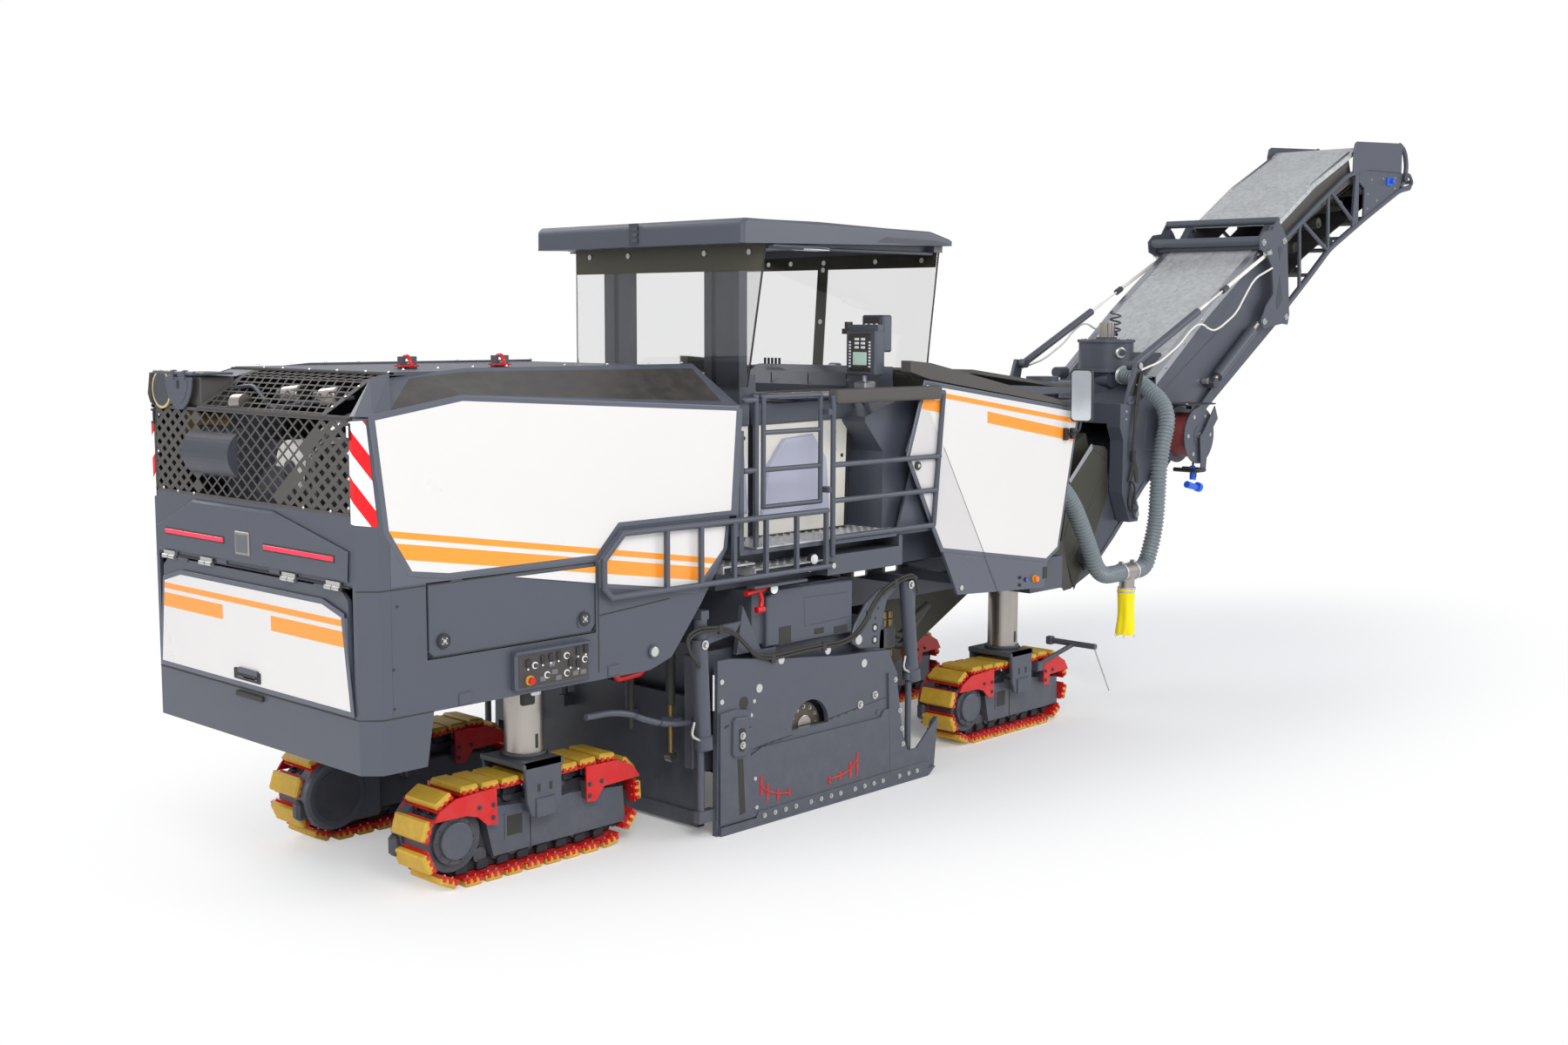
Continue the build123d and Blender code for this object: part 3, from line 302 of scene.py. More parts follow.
# %% [markdown]
# ## Paint, plastic, rubber and metal
# Every finish starts as one Principled shader with its fixed values on its own sockets. The paint
# group feeds its colour and roughness, and a bump gives it orange peel. Plastics and rubber get a
# grain, and bare metals get brush marks or the frost of hot galvanising.


# %% Finish helpers
finishes = {}


def new_finish(name, roughness=0.5, metallic=0.0, coat=0.0, specular=0.5):
    """A material with one Principled shader; returns its node tree and shader."""
    material = bpy.data.materials.new(name)
    material.use_nodes = True
    tree = material.node_tree
    shader = tree.nodes["Principled BSDF"]
    shader.inputs["Roughness"].default_value = roughness
    shader.inputs["Metallic"].default_value = metallic
    shader.inputs["Coat Weight"].default_value = coat
    shader.inputs["Specular IOR Level"].default_value = specular
    finishes[name] = material
    return tree, shader


def rough_up(tree, shader, height, strength, depth):
    """Bump from a height, into the shader's normal."""
    bump = tree.nodes.new("ShaderNodeBump")
    bump.inputs["Strength"].default_value = strength
    bump.inputs["Distance"].default_value = depth
    tree.links.new(height, bump.inputs["Height"])
    tree.links.new(bump.outputs["Normal"], shader.inputs["Normal"])


def use_group(tree, group, **values):
    node = tree.nodes.new("ShaderNodeGroup")
    node.node_tree = group
    for key, value in values.items():
        feed(tree, node, node.inputs.find(key.replace("_", " ")), value)
    return node


def painted(name, colour, gloss=0.38, mottle=0.08, dust=0.1, coat=0.0, peel=0.06):
    """Sprayed paint; the colour may be a colour or a socket that varies over the surface."""
    tree, shader = new_finish(name, coat=coat)
    paint = use_group(tree, paint_group, Paint=colour, Mottle=mottle, Dust=dust, Gloss=gloss)
    tree.links.new(paint.outputs["Colour"], shader.inputs["Base Color"])
    tree.links.new(paint.outputs["Roughness"], shader.inputs["Roughness"])
    rough_up(tree, shader, paint.outputs["Height"], peel, 0.002)
    return tree, shader, paint


painted("grey_paint", rgb(76, 80, 90))
painted("border_grey", rgb(88, 92, 102), gloss=0.3)
painted("matte_deck", rgb(80, 77, 74), gloss=0.72, dust=0.1, peel=0.1)
painted("red_paint", rgb(205, 10, 14), gloss=0.32, dust=0.15)
painted("dark_frame", rgb(62, 64, 72), gloss=0.45)
print("paints", sorted(finishes))

# %% Grain group for plastic, rubber and cast metal
grain_group, given, result = new_group("fine_grain", [("Tone", "colour", (0.1, 0.1, 0.1, 1)),
    ("Scale", "float", 90.0), ("Spread", "float", 0.25), ("Gloss", "float", 0.5)], [("Colour", "colour"),
    ("Roughness", "float"), ("Height", "float")])
place = add(grain_group, "TexCoord").outputs["Object"]
grain = noise(place, given.outputs["Scale"], 6.0, 0.6)
blotch = noise(place, 4.0, 4.0)
both = plus(times(grain, 0.5), times(blotch, 0.5))
swing = times(minus(both, 0.5), given.outputs["Spread"])
toned = add(grain_group, "VectorMath", operation="SCALE", i0=given.outputs["Tone"])
grain_group.links.new(plus(times(swing, 2.0), 1.0), toned.inputs[3])
grain_group.links.new(toned.outputs[0], result.inputs["Colour"])
grain_group.links.new(plus(given.outputs["Gloss"], swing, clamp=True), result.inputs["Roughness"])
grain_group.links.new(grain, result.inputs["Height"])


def grained(name, colour, gloss, metallic=0.0, scale=90.0, spread=0.25, bump=0.15, depth=0.003):
    tree, shader = new_finish(name, metallic=metallic)
    grain_node = use_group(tree, grain_group, Tone=colour, Scale=scale, Spread=spread, Gloss=gloss)
    tree.links.new(grain_node.outputs["Colour"], shader.inputs["Base Color"])
    tree.links.new(grain_node.outputs["Roughness"], shader.inputs["Roughness"])
    rough_up(tree, shader, grain_node.outputs["Height"], bump, depth)
    return tree, shader, grain_node


grained("black_plastic", rgb(40, 40, 42), 0.42)
grained("black_rubber", rgb(48, 48, 44), 0.62, bump=0.25)
grained("olive_rubber", rgb(58, 57, 48), 0.55, scale=40.0, bump=0.2)
grained("chain_steel", rgb(52, 53, 58), 0.5, metallic=0.35, scale=60.0, bump=0.3)
grained("cast_dark", rgb(70, 71, 76), 0.55, metallic=0.3, scale=70.0)
grained("drum_steel", rgb(96, 88, 80), 0.6, metallic=0.6, scale=50.0, spread=0.6, bump=0.4)
grained("yellow_pad", rgb(205, 165, 55), 0.55, scale=24.0, spread=0.5, bump=0.35)
grained("hose_plastic", rgb(126, 135, 139), 0.36, spread=0.12, bump=0.05)
grained("reel_hose", rgb(150, 72, 70), 0.5, scale=50.0)
grained("blue_plastic", rgb(40, 100, 225), 0.35)
grained("orange_lamp", rgb(250, 120, 10), 0.2)
grained("seat_leather", rgb(34, 34, 36), 0.5, scale=160.0, bump=0.3)
grained("cream_panel", rgb(226, 222, 212), 0.5, spread=0.08, bump=0.05)
grained("lilac_panel", rgb(176, 178, 196), 0.5, spread=0.08, bump=0.05)
grained("brown_screen", rgb(66, 60, 56), 0.6)
grained("core_metal", rgb(120, 122, 126), 0.4, metallic=0.7)
grained("beige_lining", rgb(196, 176, 130), 0.55)
print("grained finishes", len(finishes))

# %% Bare metals
brushed_group, given, result = new_group("brush_marks", [("Stretch", "vector", (1.0, 1.0, 1.0)),
    ("Gloss", "float", 0.3)], [("Roughness", "float"), ("Height", "float")])
place = add(brushed_group, "TexCoord").outputs["Object"]
drawn = add(brushed_group, "VectorMath", operation="MULTIPLY", i0=place,
    i1=given.outputs["Stretch"]).outputs[0]
marks = noise(drawn, 40.0, 4.0)
brushed_group.links.new(plus(given.outputs["Gloss"], times(minus(marks, 0.5), 0.3), clamp=True),
    result.inputs["Roughness"])
brushed_group.links.new(marks, result.inputs["Height"])


def brushed(name, colour, gloss, stretch, bump=0.05):
    tree, shader = new_finish(name, metallic=1.0)
    shader.inputs["Base Color"].default_value = colour
    marks_node = use_group(tree, brushed_group, Stretch=stretch, Gloss=gloss)
    tree.links.new(marks_node.outputs["Roughness"], shader.inputs["Roughness"])
    rough_up(tree, shader, marks_node.outputs["Height"], bump, 0.001)


brushed("stainless", rgb(178, 171, 164), 0.34, (1.0, 1.0, 14.0), bump=0.015)
brushed("chrome_rod", rgb(225, 225, 228), 0.14, (1.0, 1.0, 8.0), bump=0.02)
brushed("zinc_bolt", rgb(210, 210, 206), 0.34, (3.0, 3.0, 3.0))
brushed("rail_silver", rgb(190, 192, 196), 0.36, (4.0, 4.0, 4.0))

tree, shader = new_finish("galvanised", roughness=0.42, metallic=0.55)
place = add(tree, "TexCoord").outputs["Object"]
frost = add(tree, "TexVoronoi", i0=place, i2=26.0).outputs["Color"]
frost_tone = add(tree, "SeparateXYZ", i0=frost).outputs[0]
stain = noise(place, 2.2, 6.0, 0.65)
tone = plus(times(frost_tone, 0.35), times(stain, 0.65))
tree.links.new(mixed(tone, rgb(170, 172, 172), rgb(226, 227, 226)), shader.inputs["Base Color"])
tree.links.new(plus(times(tone, 0.25), 0.32), shader.inputs["Roughness"])
rough_up(tree, shader, tone, 0.08, 0.004)
print("metals ready")

# %% Glass, lights and mirrors
tree, shader = new_finish("clear_glass", roughness=0.03)
shader.inputs["Base Color"].default_value = (0.8, 0.8, 0.8, 1)
shader.inputs["Transmission Weight"].default_value = 1.0
shader.inputs["IOR"].default_value = 1.45
place = add(tree, "TexCoord").outputs["Object"]
film = add(tree, "MapRange", i0=noise(place, 1.2, 5.0), i1=0.35, i2=0.8, i3=0.01, i4=0.07).outputs[0]
tree.links.new(film, shader.inputs["Roughness"])

tree, shader = new_finish("mirror_glass", roughness=0.04, metallic=1.0)
place = add(tree, "TexCoord").outputs["Object"]
smear = noise(place, 5.0, 4.0)
tree.links.new(mixed(smear, rgb(180, 186, 190), rgb(226, 230, 232)), shader.inputs["Base Color"])

tree, shader = new_finish("red_strip", roughness=0.25, coat=0.5)
place = add(tree, "TexCoord").outputs["Object"]
glow = noise(place, 8.0, 3.0)
tree.links.new(mixed(glow, rgb(225, 6, 52), rgb(245, 16, 70)), shader.inputs["Base Color"])
tree.links.new(mixed(glow, rgb(225, 6, 52), rgb(245, 16, 70)), shader.inputs["Emission Color"])
shader.inputs["Emission Strength"].default_value = 0.35
print("finishes", len(finishes))

# %% [markdown]
# ## How pieces are made
# Each piece is one mesh, modelled with bmesh operators in its real place. A few helpers keep the
# cells short: one adds a chamfered block, one a plate cut to an outline, one a bolt, one a bent tube.
# Left and right parts are made once on the right and mirrored across the middle plane.


# %% Piece helpers
AHEAD, BACK, LEFT, RIGHT, UP, DOWN = (1, 0, 0), (-1, 0, 0), (0, 1, 0), (0, -1, 0), (0, 0, 1), (0, 0, -1)


def spot(station, y, z):
    return Vector((at(station), y, z))


def finish_piece(name, body, *looks, smooth=False, slot="grey_paint", replaced=()):
    """Turns a bmesh into an object that rides on a body; looks are its material slots."""
    mesh = bpy.data.meshes.new(name)
    form.to_mesh(mesh)
    form.free()
    for look in looks:
        mesh.materials.append(finishes[look])
    if smooth:
        mesh.polygons.foreach_set("use_smooth", [True] * len(mesh.polygons))
    thing = link_object(name, mesh)
    if body:
        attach(thing, body)
    if replaced:
        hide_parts(*replaced)
    return thing


def absorb(part, look=None, matrix=None, smooth=False):
    """Adds a small bmesh to a larger one, with one material slot and in its place."""
    if matrix is not None:
        bmesh.ops.transform(part, matrix=matrix, verts=part.verts[:])
    for face in part.faces:
        face.smooth = smooth
        if look is not None:
            face.material_index = look
    part.to_mesh(scratch)
    part.free()
    form.from_mesh(scratch)


scratch = bpy.data.meshes.new("scratch")


def round_edges(form, edges, width, segments=1):
    """A chamfer, or a rounding when it has more segments."""
    bmesh.ops.bevel(form, geom=edges, offset=width, segments=segments, profile=0.5, affect="EDGES",
        material=-1)


def only(items, kind):
    """The vertices, edges or faces among what an operator made."""
    return [item for item in items if isinstance(item, getattr(bmesh.types, kind))]


def around(count, radius, axis="y", phase=0.0):
    """Offsets evenly spaced on a circle about an axis."""
    for n in range(count):
        a, b = radius * cos(n * tau / count + phase), radius * sin(n * tau / count + phase)
        yield Vector((a, 0, b)) if axis == "y" else Vector((a, b, 0))


def rounded_block(size, chamfer, segments, matrix, look=0, smooth=False):
    """A box about the origin with its edges chamfered, moved by a matrix."""
    part = bmesh.new()
    bmesh.ops.create_cube(part, size=1.0)
    bmesh.ops.scale(part, vec=size, verts=part.verts[:])
    if chamfer:
        round_edges(part, part.edges[:], chamfer, segments)
    absorb(part, look, matrix, smooth)


def block(low, high, look=0, chamfer=0.0):
    """A box between two opposite corners."""
    low, high = Vector(low), Vector(high)
    rounded_block([abs(v) for v in high - low], chamfer, 1, Matrix.Translation((low + high) / 2), look)


def box(x, y, z, look=0, chamfer=0.0):
    """A block between two stations, two sideways places and two heights."""
    block(spot(x[0], y[0], z[0]), spot(x[1], y[1], z[1]), look, chamfer)


def cut_plate(outline, thickness, look=0, chamfer=0.0, segments=1, smooth=False):
    """A flat plate: its outline's points are made a face and extruded by a vector."""
    part = bmesh.new()
    face = part.faces.new([part.verts.new(point) for point in outline])
    grown = bmesh.ops.extrude_face_region(part, geom=[face])["geom"]
    verts = only(grown, "BMVert")
    bmesh.ops.translate(part, vec=Vector(thickness), verts=verts)
    bmesh.ops.recalc_face_normals(part, faces=part.faces[:])
    if chamfer:
        tops = only(grown, "BMEdge")
        round_edges(part, tops, chamfer, segments)
    absorb(part, look, smooth=smooth)


def sheet_between(rear, front, half, thick, look=0):
    """A sheet as wide as twice half, from a rear (station, z) to a front one, thick upwards."""
    (xa, za), (xb, zb) = rear, front
    cut_plate([spot(xa, -half, za), spot(xa, half, za), spot(xb, half, zb), spot(xb, -half, zb)],
        (0, 0, thick), look)


def plate(outline, y0, y1, look=0, chamfer=0.0, segments=1):
    """A plate with a side-view outline of (station, z), from y0 out to y1."""
    cut_plate([spot(x, y0, z) for x, z in outline], (0, y1 - y0, 0), look, chamfer, segments)


def turned(place, direction, radius, length, look=0, sides=12, tip=None, chamfer=0.0):
    """A round bar, disc or cone from a place along a direction; its far rim can be chamfered."""
    part = bmesh.new()
    bmesh.ops.create_cone(part, cap_ends=True, segments=sides, radius1=radius,
        radius2=radius if tip is None else tip, depth=length)
    if chamfer:
        rim = [e for e in part.edges if all(v.co.z > 0 for v in e.verts)]
        round_edges(part, rim, chamfer, 2)
    way = Vector(direction).normalized()
    turn = way.to_track_quat("Z", "Y").to_matrix().to_4x4()
    move = Matrix.Translation(Vector(place) + way * length / 2) @ turn
    absorb(part, look, move)


def bolt(place, direction, radius, look=0):
    """A washer with a low chamfered head on it."""
    way = Vector(direction).normalized()
    turned(place, way, radius, radius * 0.28, look, sides=12)
    turned(Vector(place) + way * radius * 0.28, way, radius * 0.66, radius * 0.5, look, sides=8,
        tip=radius * 0.5)


def disc(x, y, z, radius, thick, look=0, sides=12, chamfer=0.0):
    """A round part on a side face, from its root outwards."""
    turned(spot(x, y, z), (0, copysign(1, y), 0), radius, thick, look, sides, chamfer=chamfer)


def side_bolt(x, y, z, radius, look=0):
    """A bolt on a side face."""
    bolt(spot(x, y, z), (0, copysign(1, y), 0), radius, look)


def bent_tube(points, radius, bend=0.05, sides=10):
    """Mesh of a tube through points, with its corners rounded by Bezier handles."""
    curve = bpy.data.curves.new("route", "CURVE")
    curve.dimensions = "3D"
    curve.bevel_depth = radius
    curve.bevel_resolution = max(1, sides // 4 - 1)
    curve.use_fill_caps = True
    curve.resolution_u = 5
    points = [Vector(p) for p in points]
    knots = [(points[0], points[0], points[0])]
    for before, corner, after in zip(points, points[1:], points[2:]):
        back = (before - corner).normalized() * min(bend, (before - corner).length / 2.1)
        ahead = (after - corner).normalized() * min(bend, (after - corner).length / 2.1)
        knots.append((corner + back, corner + back * 1.3, corner + back * 0.45))
        knots.append((corner + ahead, corner + ahead * 0.45, corner + ahead * 1.3))
    knots.append((points[-1], points[-1], points[-1]))
    spline = curve.splines.new("BEZIER")
    spline.bezier_points.add(len(knots) - 1)
    for knot, (co, left, right) in zip(spline.bezier_points, knots):
        knot.co, knot.handle_left, knot.handle_right = co, left, right
    holder = bpy.data.objects.new("route", curve)
    mesh = bpy.data.meshes.new_from_object(holder)
    bpy.data.objects.remove(holder)
    bpy.data.curves.remove(curve)
    return mesh


def tube_run(points, radius, look=0, bend=0.05, sides=10):
    part = bmesh.new()
    mesh = bent_tube(points, radius, bend, sides)
    part.from_mesh(mesh)
    bpy.data.meshes.remove(mesh)
    absorb(part, look, smooth=True)


def pipe(points, radius, look=0, bend=0.05, sides=10):
    """A tube through points given as (station, y, z)."""
    tube_run([spot(*point) for point in points], radius, look, bend, sides)


def mirror_over(form):
    """Adds the left-hand copy of a right-hand form, turned the right way out."""
    copies = bmesh.ops.duplicate(form, geom=form.verts[:] + form.edges[:] + form.faces[:])["geom"]
    bmesh.ops.scale(form, vec=(1, -1, 1), verts=only(copies, "BMVert"))
    bmesh.ops.reverse_faces(form, faces=only(copies, "BMFace"))


def flipped(form):
    """Turns a right-hand form into the left-hand one."""
    bmesh.ops.scale(form, vec=(1, -1, 1), verts=form.verts[:])
    bmesh.ops.reverse_faces(form, faces=form.faces[:])


SIDES = (("right", -1), ("left", 1))
print("piece helpers ready")

# %% [markdown]
# ## Tracks
# A crawler track is a chain of links with one steel shoe on each link, and this machine has a
# yellow plastic pad clamped on every red shoe so that it doesn't mark the road. One shoe with its
# links is modelled flat, then copied round a loop of two half circles and two straight runs.

# %% One shoe with its pad and chain links
pad_length = 0.128
pad_width = 0.33
pad_thick = 0.048
# local x runs along the track, z points out of the loop, and z = 0 is the ground face
form = bmesh.new()
half = pad_width / 2
block((-pad_length / 2, -half, -pad_thick), (pad_length / 2, half, 0), chamfer=0.012)
block((-0.074, -half + 0.012, -pad_thick - 0.012), (0.074, half - 0.012, -pad_thick), 1)
for end in (-1, 1):
    y = end * half
    for x in (-0.046, 0.0, 0.046):
        block((x - 0.011, y - 0.03, -pad_thick - 0.004), (x + 0.011, y + 0.004, -0.026), 1)
    for x in (-0.03, 0.03):
        turned((x, end * 0.128, -pad_thick - 0.012), DOWN, 0.008, 0.007, 3, sides=6)
for side in (-0.062, 0.062):
    for x, reach in ((-0.04, 0.018), (0.04, -0.012)):
        block((x - 0.045, side + reach - 0.013, -0.132), (x + 0.045, side + reach + 0.013, -0.062), 2,
            chamfer=0.01)
    turned((0.082, side - 0.034, -0.1), LEFT, 0.017, 0.068, 2, sides=8)
shoe = bpy.data.meshes.new("shoe")
form.to_mesh(shoe)
form.free()
print("shoe", pad_length, "by", pad_width, "faces", len(shoe.polygons))

# %% Shoes round the four loops
track_gauge_half = 0.7
loop_radius = 0.32
chain_radius = 0.215            # the links' pins run on this radius, so the shoes fan out on the turns
loops = {"rear": (0.89, 2.0, 23), "front": (5.95, 6.97, 22)}


def on_loop(back, ahead, travel):
    """Place and angle on the loop's ground face after a travel from the rear contact point."""
    run = ahead - back
    arc = pi * chain_radius
    travel %= 2 * (run + arc)
    if travel < run:
        return back + travel, 0.0, 0.0
    if travel < run + arc:
        angle = (travel - run) / chain_radius
        return ahead + loop_radius * sin(angle), loop_radius * (1 - cos(angle)), angle
    if travel < 2 * run + arc:
        done = travel - run - arc
        sag = 0.012 * sin(pi * done / run)
        return ahead - done, 2 * loop_radius - sag, pi
    angle = pi + (travel - 2 * run - arc) / chain_radius
    return back + loop_radius * sin(angle), loop_radius * (1 - cos(angle)), angle


for end, (back, ahead, count) in loops.items():
    pitch = (2 * (ahead - back) + 2 * pi * chain_radius) / count
    for side, s in SIDES:
        form = bmesh.new()
        for n in range(count):
            x, z, angle = on_loop(back, ahead, (n + 0.4) * pitch)
            inward = 0.0 if z < 0.002 else 0.006
            shift = Vector((sin(-angle), 0, cos(angle))) * inward
            move = (Matrix.Translation(spot(x, s * track_gauge_half, z) + shift) @ Matrix.Rotation(-angle, 4,
                "Y") @ Matrix.Rotation(pi, 4, "X"))
            copy = shoe.copy()
            copy.transform(move)
            form.from_mesh(copy)
            bpy.data.meshes.remove(copy)
        finish_piece(f"track_shoes_{end}_{side}", f"track_{end}_{side}", "yellow_pad", "red_paint",
            "chain_steel", "zinc_bolt", slot="track_red", replaced=[f"track_loop_{end}_{side}"])
    print(end, "pitch", round(pitch, 4))

# %% [markdown]
# ## Track frames
# The frame inside the loop is a welded box with a drive at its rear and an idler at its front. A
# yoke straddles the upper run and carries the polished lifting column. Red guards cover the
# shoes where they turn. Plates are cut to outlines, and round parts are turned.

# %% Track frame, yoke, column and guards
frame_face = 0.125              # from the track's middle to the face of the side frame
guard_y = 0.172
frame_outline = [(-0.325, 0.45), (-0.4, 0.36), (-0.345, 0.14), (0.73, 0.14), (0.71, 0.38), (0.27, 0.42),
    (0.13, 0.41)]
rear_guard = [(-0.82, 0.46), (-0.78, 0.515), (-0.66, 0.575), (-0.36, 0.588), (-0.357, 0.36), (-0.43, 0.365),
    (-0.5, 0.43), (-0.58, 0.455)]
front_guard = [(0.35, 0.585), (0.62, 0.58), (0.75, 0.52), (0.81, 0.438), (0.5, 0.43), (0.43, 0.345),
    (0.355, 0.353)]
yoke_outline = [(-0.17, 0.7), (-0.15, 0.45), (-0.12, 0.36), (0.08, 0.36), (0.12, 0.42), (0.12, 0.7)]


def add_track_frame(ends):
    """A right-hand track's frame, at stations counted from its column; its inside is towards +y."""
    y = -track_gauge_half
    stretch = ends / 0.85
    outline = [(x if x < 0.5 else x * stretch, z) for x, z in frame_outline]
    plate(outline, y - frame_face, y + frame_face, 0, 0.012)
    box((-0.62, 0.6), (y - 0.05, y + 0.05), (0.15, 0.48), 4)
    box((-0.238, -0.122), (y - frame_face - 0.002, y - 0.1), (0.245, 0.37), 5)
    box((-0.26, -0.244), (y - frame_face - 0.004, y - 0.1), (0.225, 0.39))
    box((-0.06, -0.055), (y - frame_face - 0.003, y - 0.1), (0.14, 0.4), 5)
    # drive at the rear: housing, cover disc and bolts, on both faces
    hub = spot(-0.645, y, 0.31)
    turned(hub + Vector((0, -0.12, 0)), LEFT, 0.2, 0.24, 4, sides=32)
    turned(hub + Vector((0, -0.12, 0)), RIGHT, 0.155, 0.03, 4, sides=32, chamfer=0.012)
    turned(hub + Vector((0, -0.15, 0)), RIGHT, 0.115, 0.022, sides=32, chamfer=0.008)
    for place in around(10, 0.135):
        turned(hub + place - Vector((0, 0.15, 0)), RIGHT, 0.008, 0.006, 4, sides=6)
    # idler at the front and small rollers along the bottom and top
    turned(spot(ends - 0.33, y - 0.09, 0.31), LEFT, 0.185, 0.18, 4, sides=28)
    for n in range(7):
        x = -0.42 + n * (0.75 + ends - 0.85) / 6
        turned(spot(x, y - 0.085, 0.155), LEFT, 0.05, 0.17, 4, sides=14)
    for x in (-0.2, 0.22):
        turned(spot(x, y - 0.08, 0.49), LEFT, 0.038, 0.16, 4, sides=14)
    # guards on both faces
    for face in (-1, 1):
        near = y + face * guard_y
        for outline in (rear_guard, [(px * (1 if px < 0.5 else stretch), pz) for px, pz in front_guard]):
            plate(outline, near, near + face * 0.014, 1)
        for bx, bz in ((-0.489, 0.486), (-0.385, 0.484), (-0.387, 0.406), (0.48, 0.467), (0.379, 0.465),
                (0.378, 0.389)):
            bolt(spot(bx, near + face * 0.014, bz), (0, face, 0), 0.016, 4)
        box((-0.42, -0.37), (near - face * 0.06, near), (0.38, 0.5), 4)
        box((0.36, 0.41), (near - face * 0.06, near), (0.37, 0.48), 4)
        # yoke plate outside the shoes
        yoke = y + face * 0.196
        plate(yoke_outline, yoke, yoke + face * 0.028, 0, 0.006)
        plate([(-0.09, 0.47), (-0.09, 0.35), (0.06, 0.35), (0.06, 0.47)], yoke + face * 0.028,
            yoke + face * 0.04, 0, 0.004)
        box((-0.11, 0.07), (y + face * 0.1, yoke), (0.38, 0.46))
        for bx in (-0.075, 0.02):
            box((bx, bx + 0.022), (yoke + face * 0.027, yoke + face * 0.03), (0.51, 0.56), 5)
    box((-0.18, 0.14), (y - 0.224, y + 0.224), (0.66, 0.7), 0, 0.006)
    # polished column with its seal ring and the lock slot; the slot is a black block of painted shade
    turned(spot(0, y, 0.7), UP, 0.125, 0.86, 2, sides=48)
    turned(spot(0, y, 0.7), UP, 0.15, 0.014, 5, sides=40)
    turned(spot(0, y, 0.714), UP, 0.14, 0.016, sides=40)
    box((-0.008, 0.012), (y - 0.127, y - 0.1), (0.76, 0.85), 5)
    # drive housing on the machine's inner side
    turned(hub + Vector((0.02, 0.1, 0.02)), LEFT, 0.235, 0.13, sides=48, chamfer=0.035)
    box((-0.62, -0.26), (y + 0.1, y + 0.215), (0.12, 0.5), 0, 0.03)
    turned(hub + Vector((0.02, 0.23, 0.02)), LEFT, 0.17, 0.008, 4, sides=40)
    box((-0.9, -0.66), (y + 0.12, y + 0.2), (0.2, 0.33), 4, 0.02)


for end, column, ends in (("rear", 1.47, 0.85), ("front", 6.54, 0.75)):
    for side, s in SIDES:
        form = bmesh.new()
        add_track_frame(ends)
        if (end, side) == ("front", "right"):
            # foldable pointer that shows the driver the milling line
            start = spot(0.3, -0.875, 0.54)
            tube_run([start, spot(0.56, -1.03, 0.69)], 0.02)
            pipe([(0.56, -0.79, 0.7), (0.56, -1.26, 0.7)], 0.026)
            box((0.53, 0.59), (-0.83, -0.77), (0.665, 0.735), 0, 0.008)
            box((0.25, 0.33), (-0.9, -0.8), (0.48, 0.56), 0, 0.008)
            pipe([(0.56, -1.245, 0.7), (0.6, -1.38, 0.335)], 0.007, 3)
        bmesh.ops.translate(form, vec=(column, 0, 0), verts=form.verts[:])
        if s > 0:
            flipped(form)
        finish_piece(f"track_frame_set_{end}_{side}", f"track_{end}_{side}", "grey_paint", "red_paint",
            "stainless", "zinc_bolt", "dark_frame", "black_rubber", replaced=[f"track_frame_{end}_{side}"])
print("four track frames")

# %% [markdown]
# ## White panels, stripes and marks
# The white panels carry two stripes each, which run level along one straight line over several
# panels. They are bands of a height measured square to that line, worked out in the material.
# Places where the machine had lettering stay plain: the wide stripe is broken there.


# %% White and striped finishes
def place_parts(tree):
    """Object coordinates as three separate numbers."""
    return add(tree, "SeparateXYZ", i0=add(tree, "TexCoord").outputs["Object"]).outputs


def striped(name, along, slope_thin, thin, slope_wide, wide, gap=None, fold_shade=None):
    """White with a thin and a wide orange stripe; along is the axis the stripes run on. Painted shade darkens
    the part behind a fold.
    """
    tree, shader, paint = painted(name, rgb(250, 248, 246), gloss=0.3, mottle=0.02, dust=0.03, coat=0.3)
    parts = place_parts(tree)
    run = parts[along]
    thin_at = plus(parts[2], times(run, slope_thin))
    wide_at = plus(parts[2], times(run, slope_wide))
    wide_mask = band(wide_at, *wide, soft=0.001)
    if gap:
        hole = band(run, *gap, soft=0.001)
        wide_mask = minus(wide_mask, hole, clamp=True)
    if fold_shade:
        # the panel is folded along a slanting line, and painted shade darkens the part behind the fold
        fold = plus(parts[2], times(run, fold_shade[0]))
        shade = band(fold, -99.0, fold_shade[1], soft=0.004)
    mask = maths("MAXIMUM", band(thin_at, *thin, soft=0.001), wide_mask)
    white = mixed(shade, rgb(224, 221, 218), rgb(207, 204, 203)) if fold_shade else rgb(222, 219, 216)
    feed(tree, paint, "Paint", mixed(mask, white, rgb(252, 152, 40)))


def shifted(slope, low, high):
    """Band limits given for stations, turned into limits for the frame's x."""
    return low + slope * at(0), high + slope * at(0)


striped("hood_white", 0, 0.1565, shifted(0.1565, 2.261, 2.299), 0.1565, shifted(0.1565, 2.145, 2.233))
# the front panel's part behind its fold is darkened with painted shade
striped("front_white", 0, 0.1475, shifted(0.1475, 3.599, 3.638), 0.167, shifted(0.167, 3.582, 3.671),
    gap=(at(5.0), at(5.57)), fold_shade=(1.585, 10.47 + 1.585 * at(0)))
striped("door_white", 1, 0.0, (1.74, 1.777), 0.0, (1.625, 1.714), gap=(-0.26, 0.29))
print([name for name in finishes if "white" in name])

# %% Warning stripes, woven sleeve, screen and lamp glass
tree, shader, paint = painted("hazard", rgb(250, 248, 246), gloss=0.3, mottle=0.02, dust=0.1)
parts = place_parts(tree)
outward = maths("ABSOLUTE", parts[1])
run = plus(outward, parts[0])
slant = plus(parts[2], times(run, 0.95))
phase = maths("FRACT", maths("DIVIDE", plus(slant, 20.0 + 0.05), 0.263))
feed(tree, paint, "Paint", mixed(band(phase, 0.02, 0.49, 0.004), rgb(250, 248, 246), rgb(222, 8, 20)))

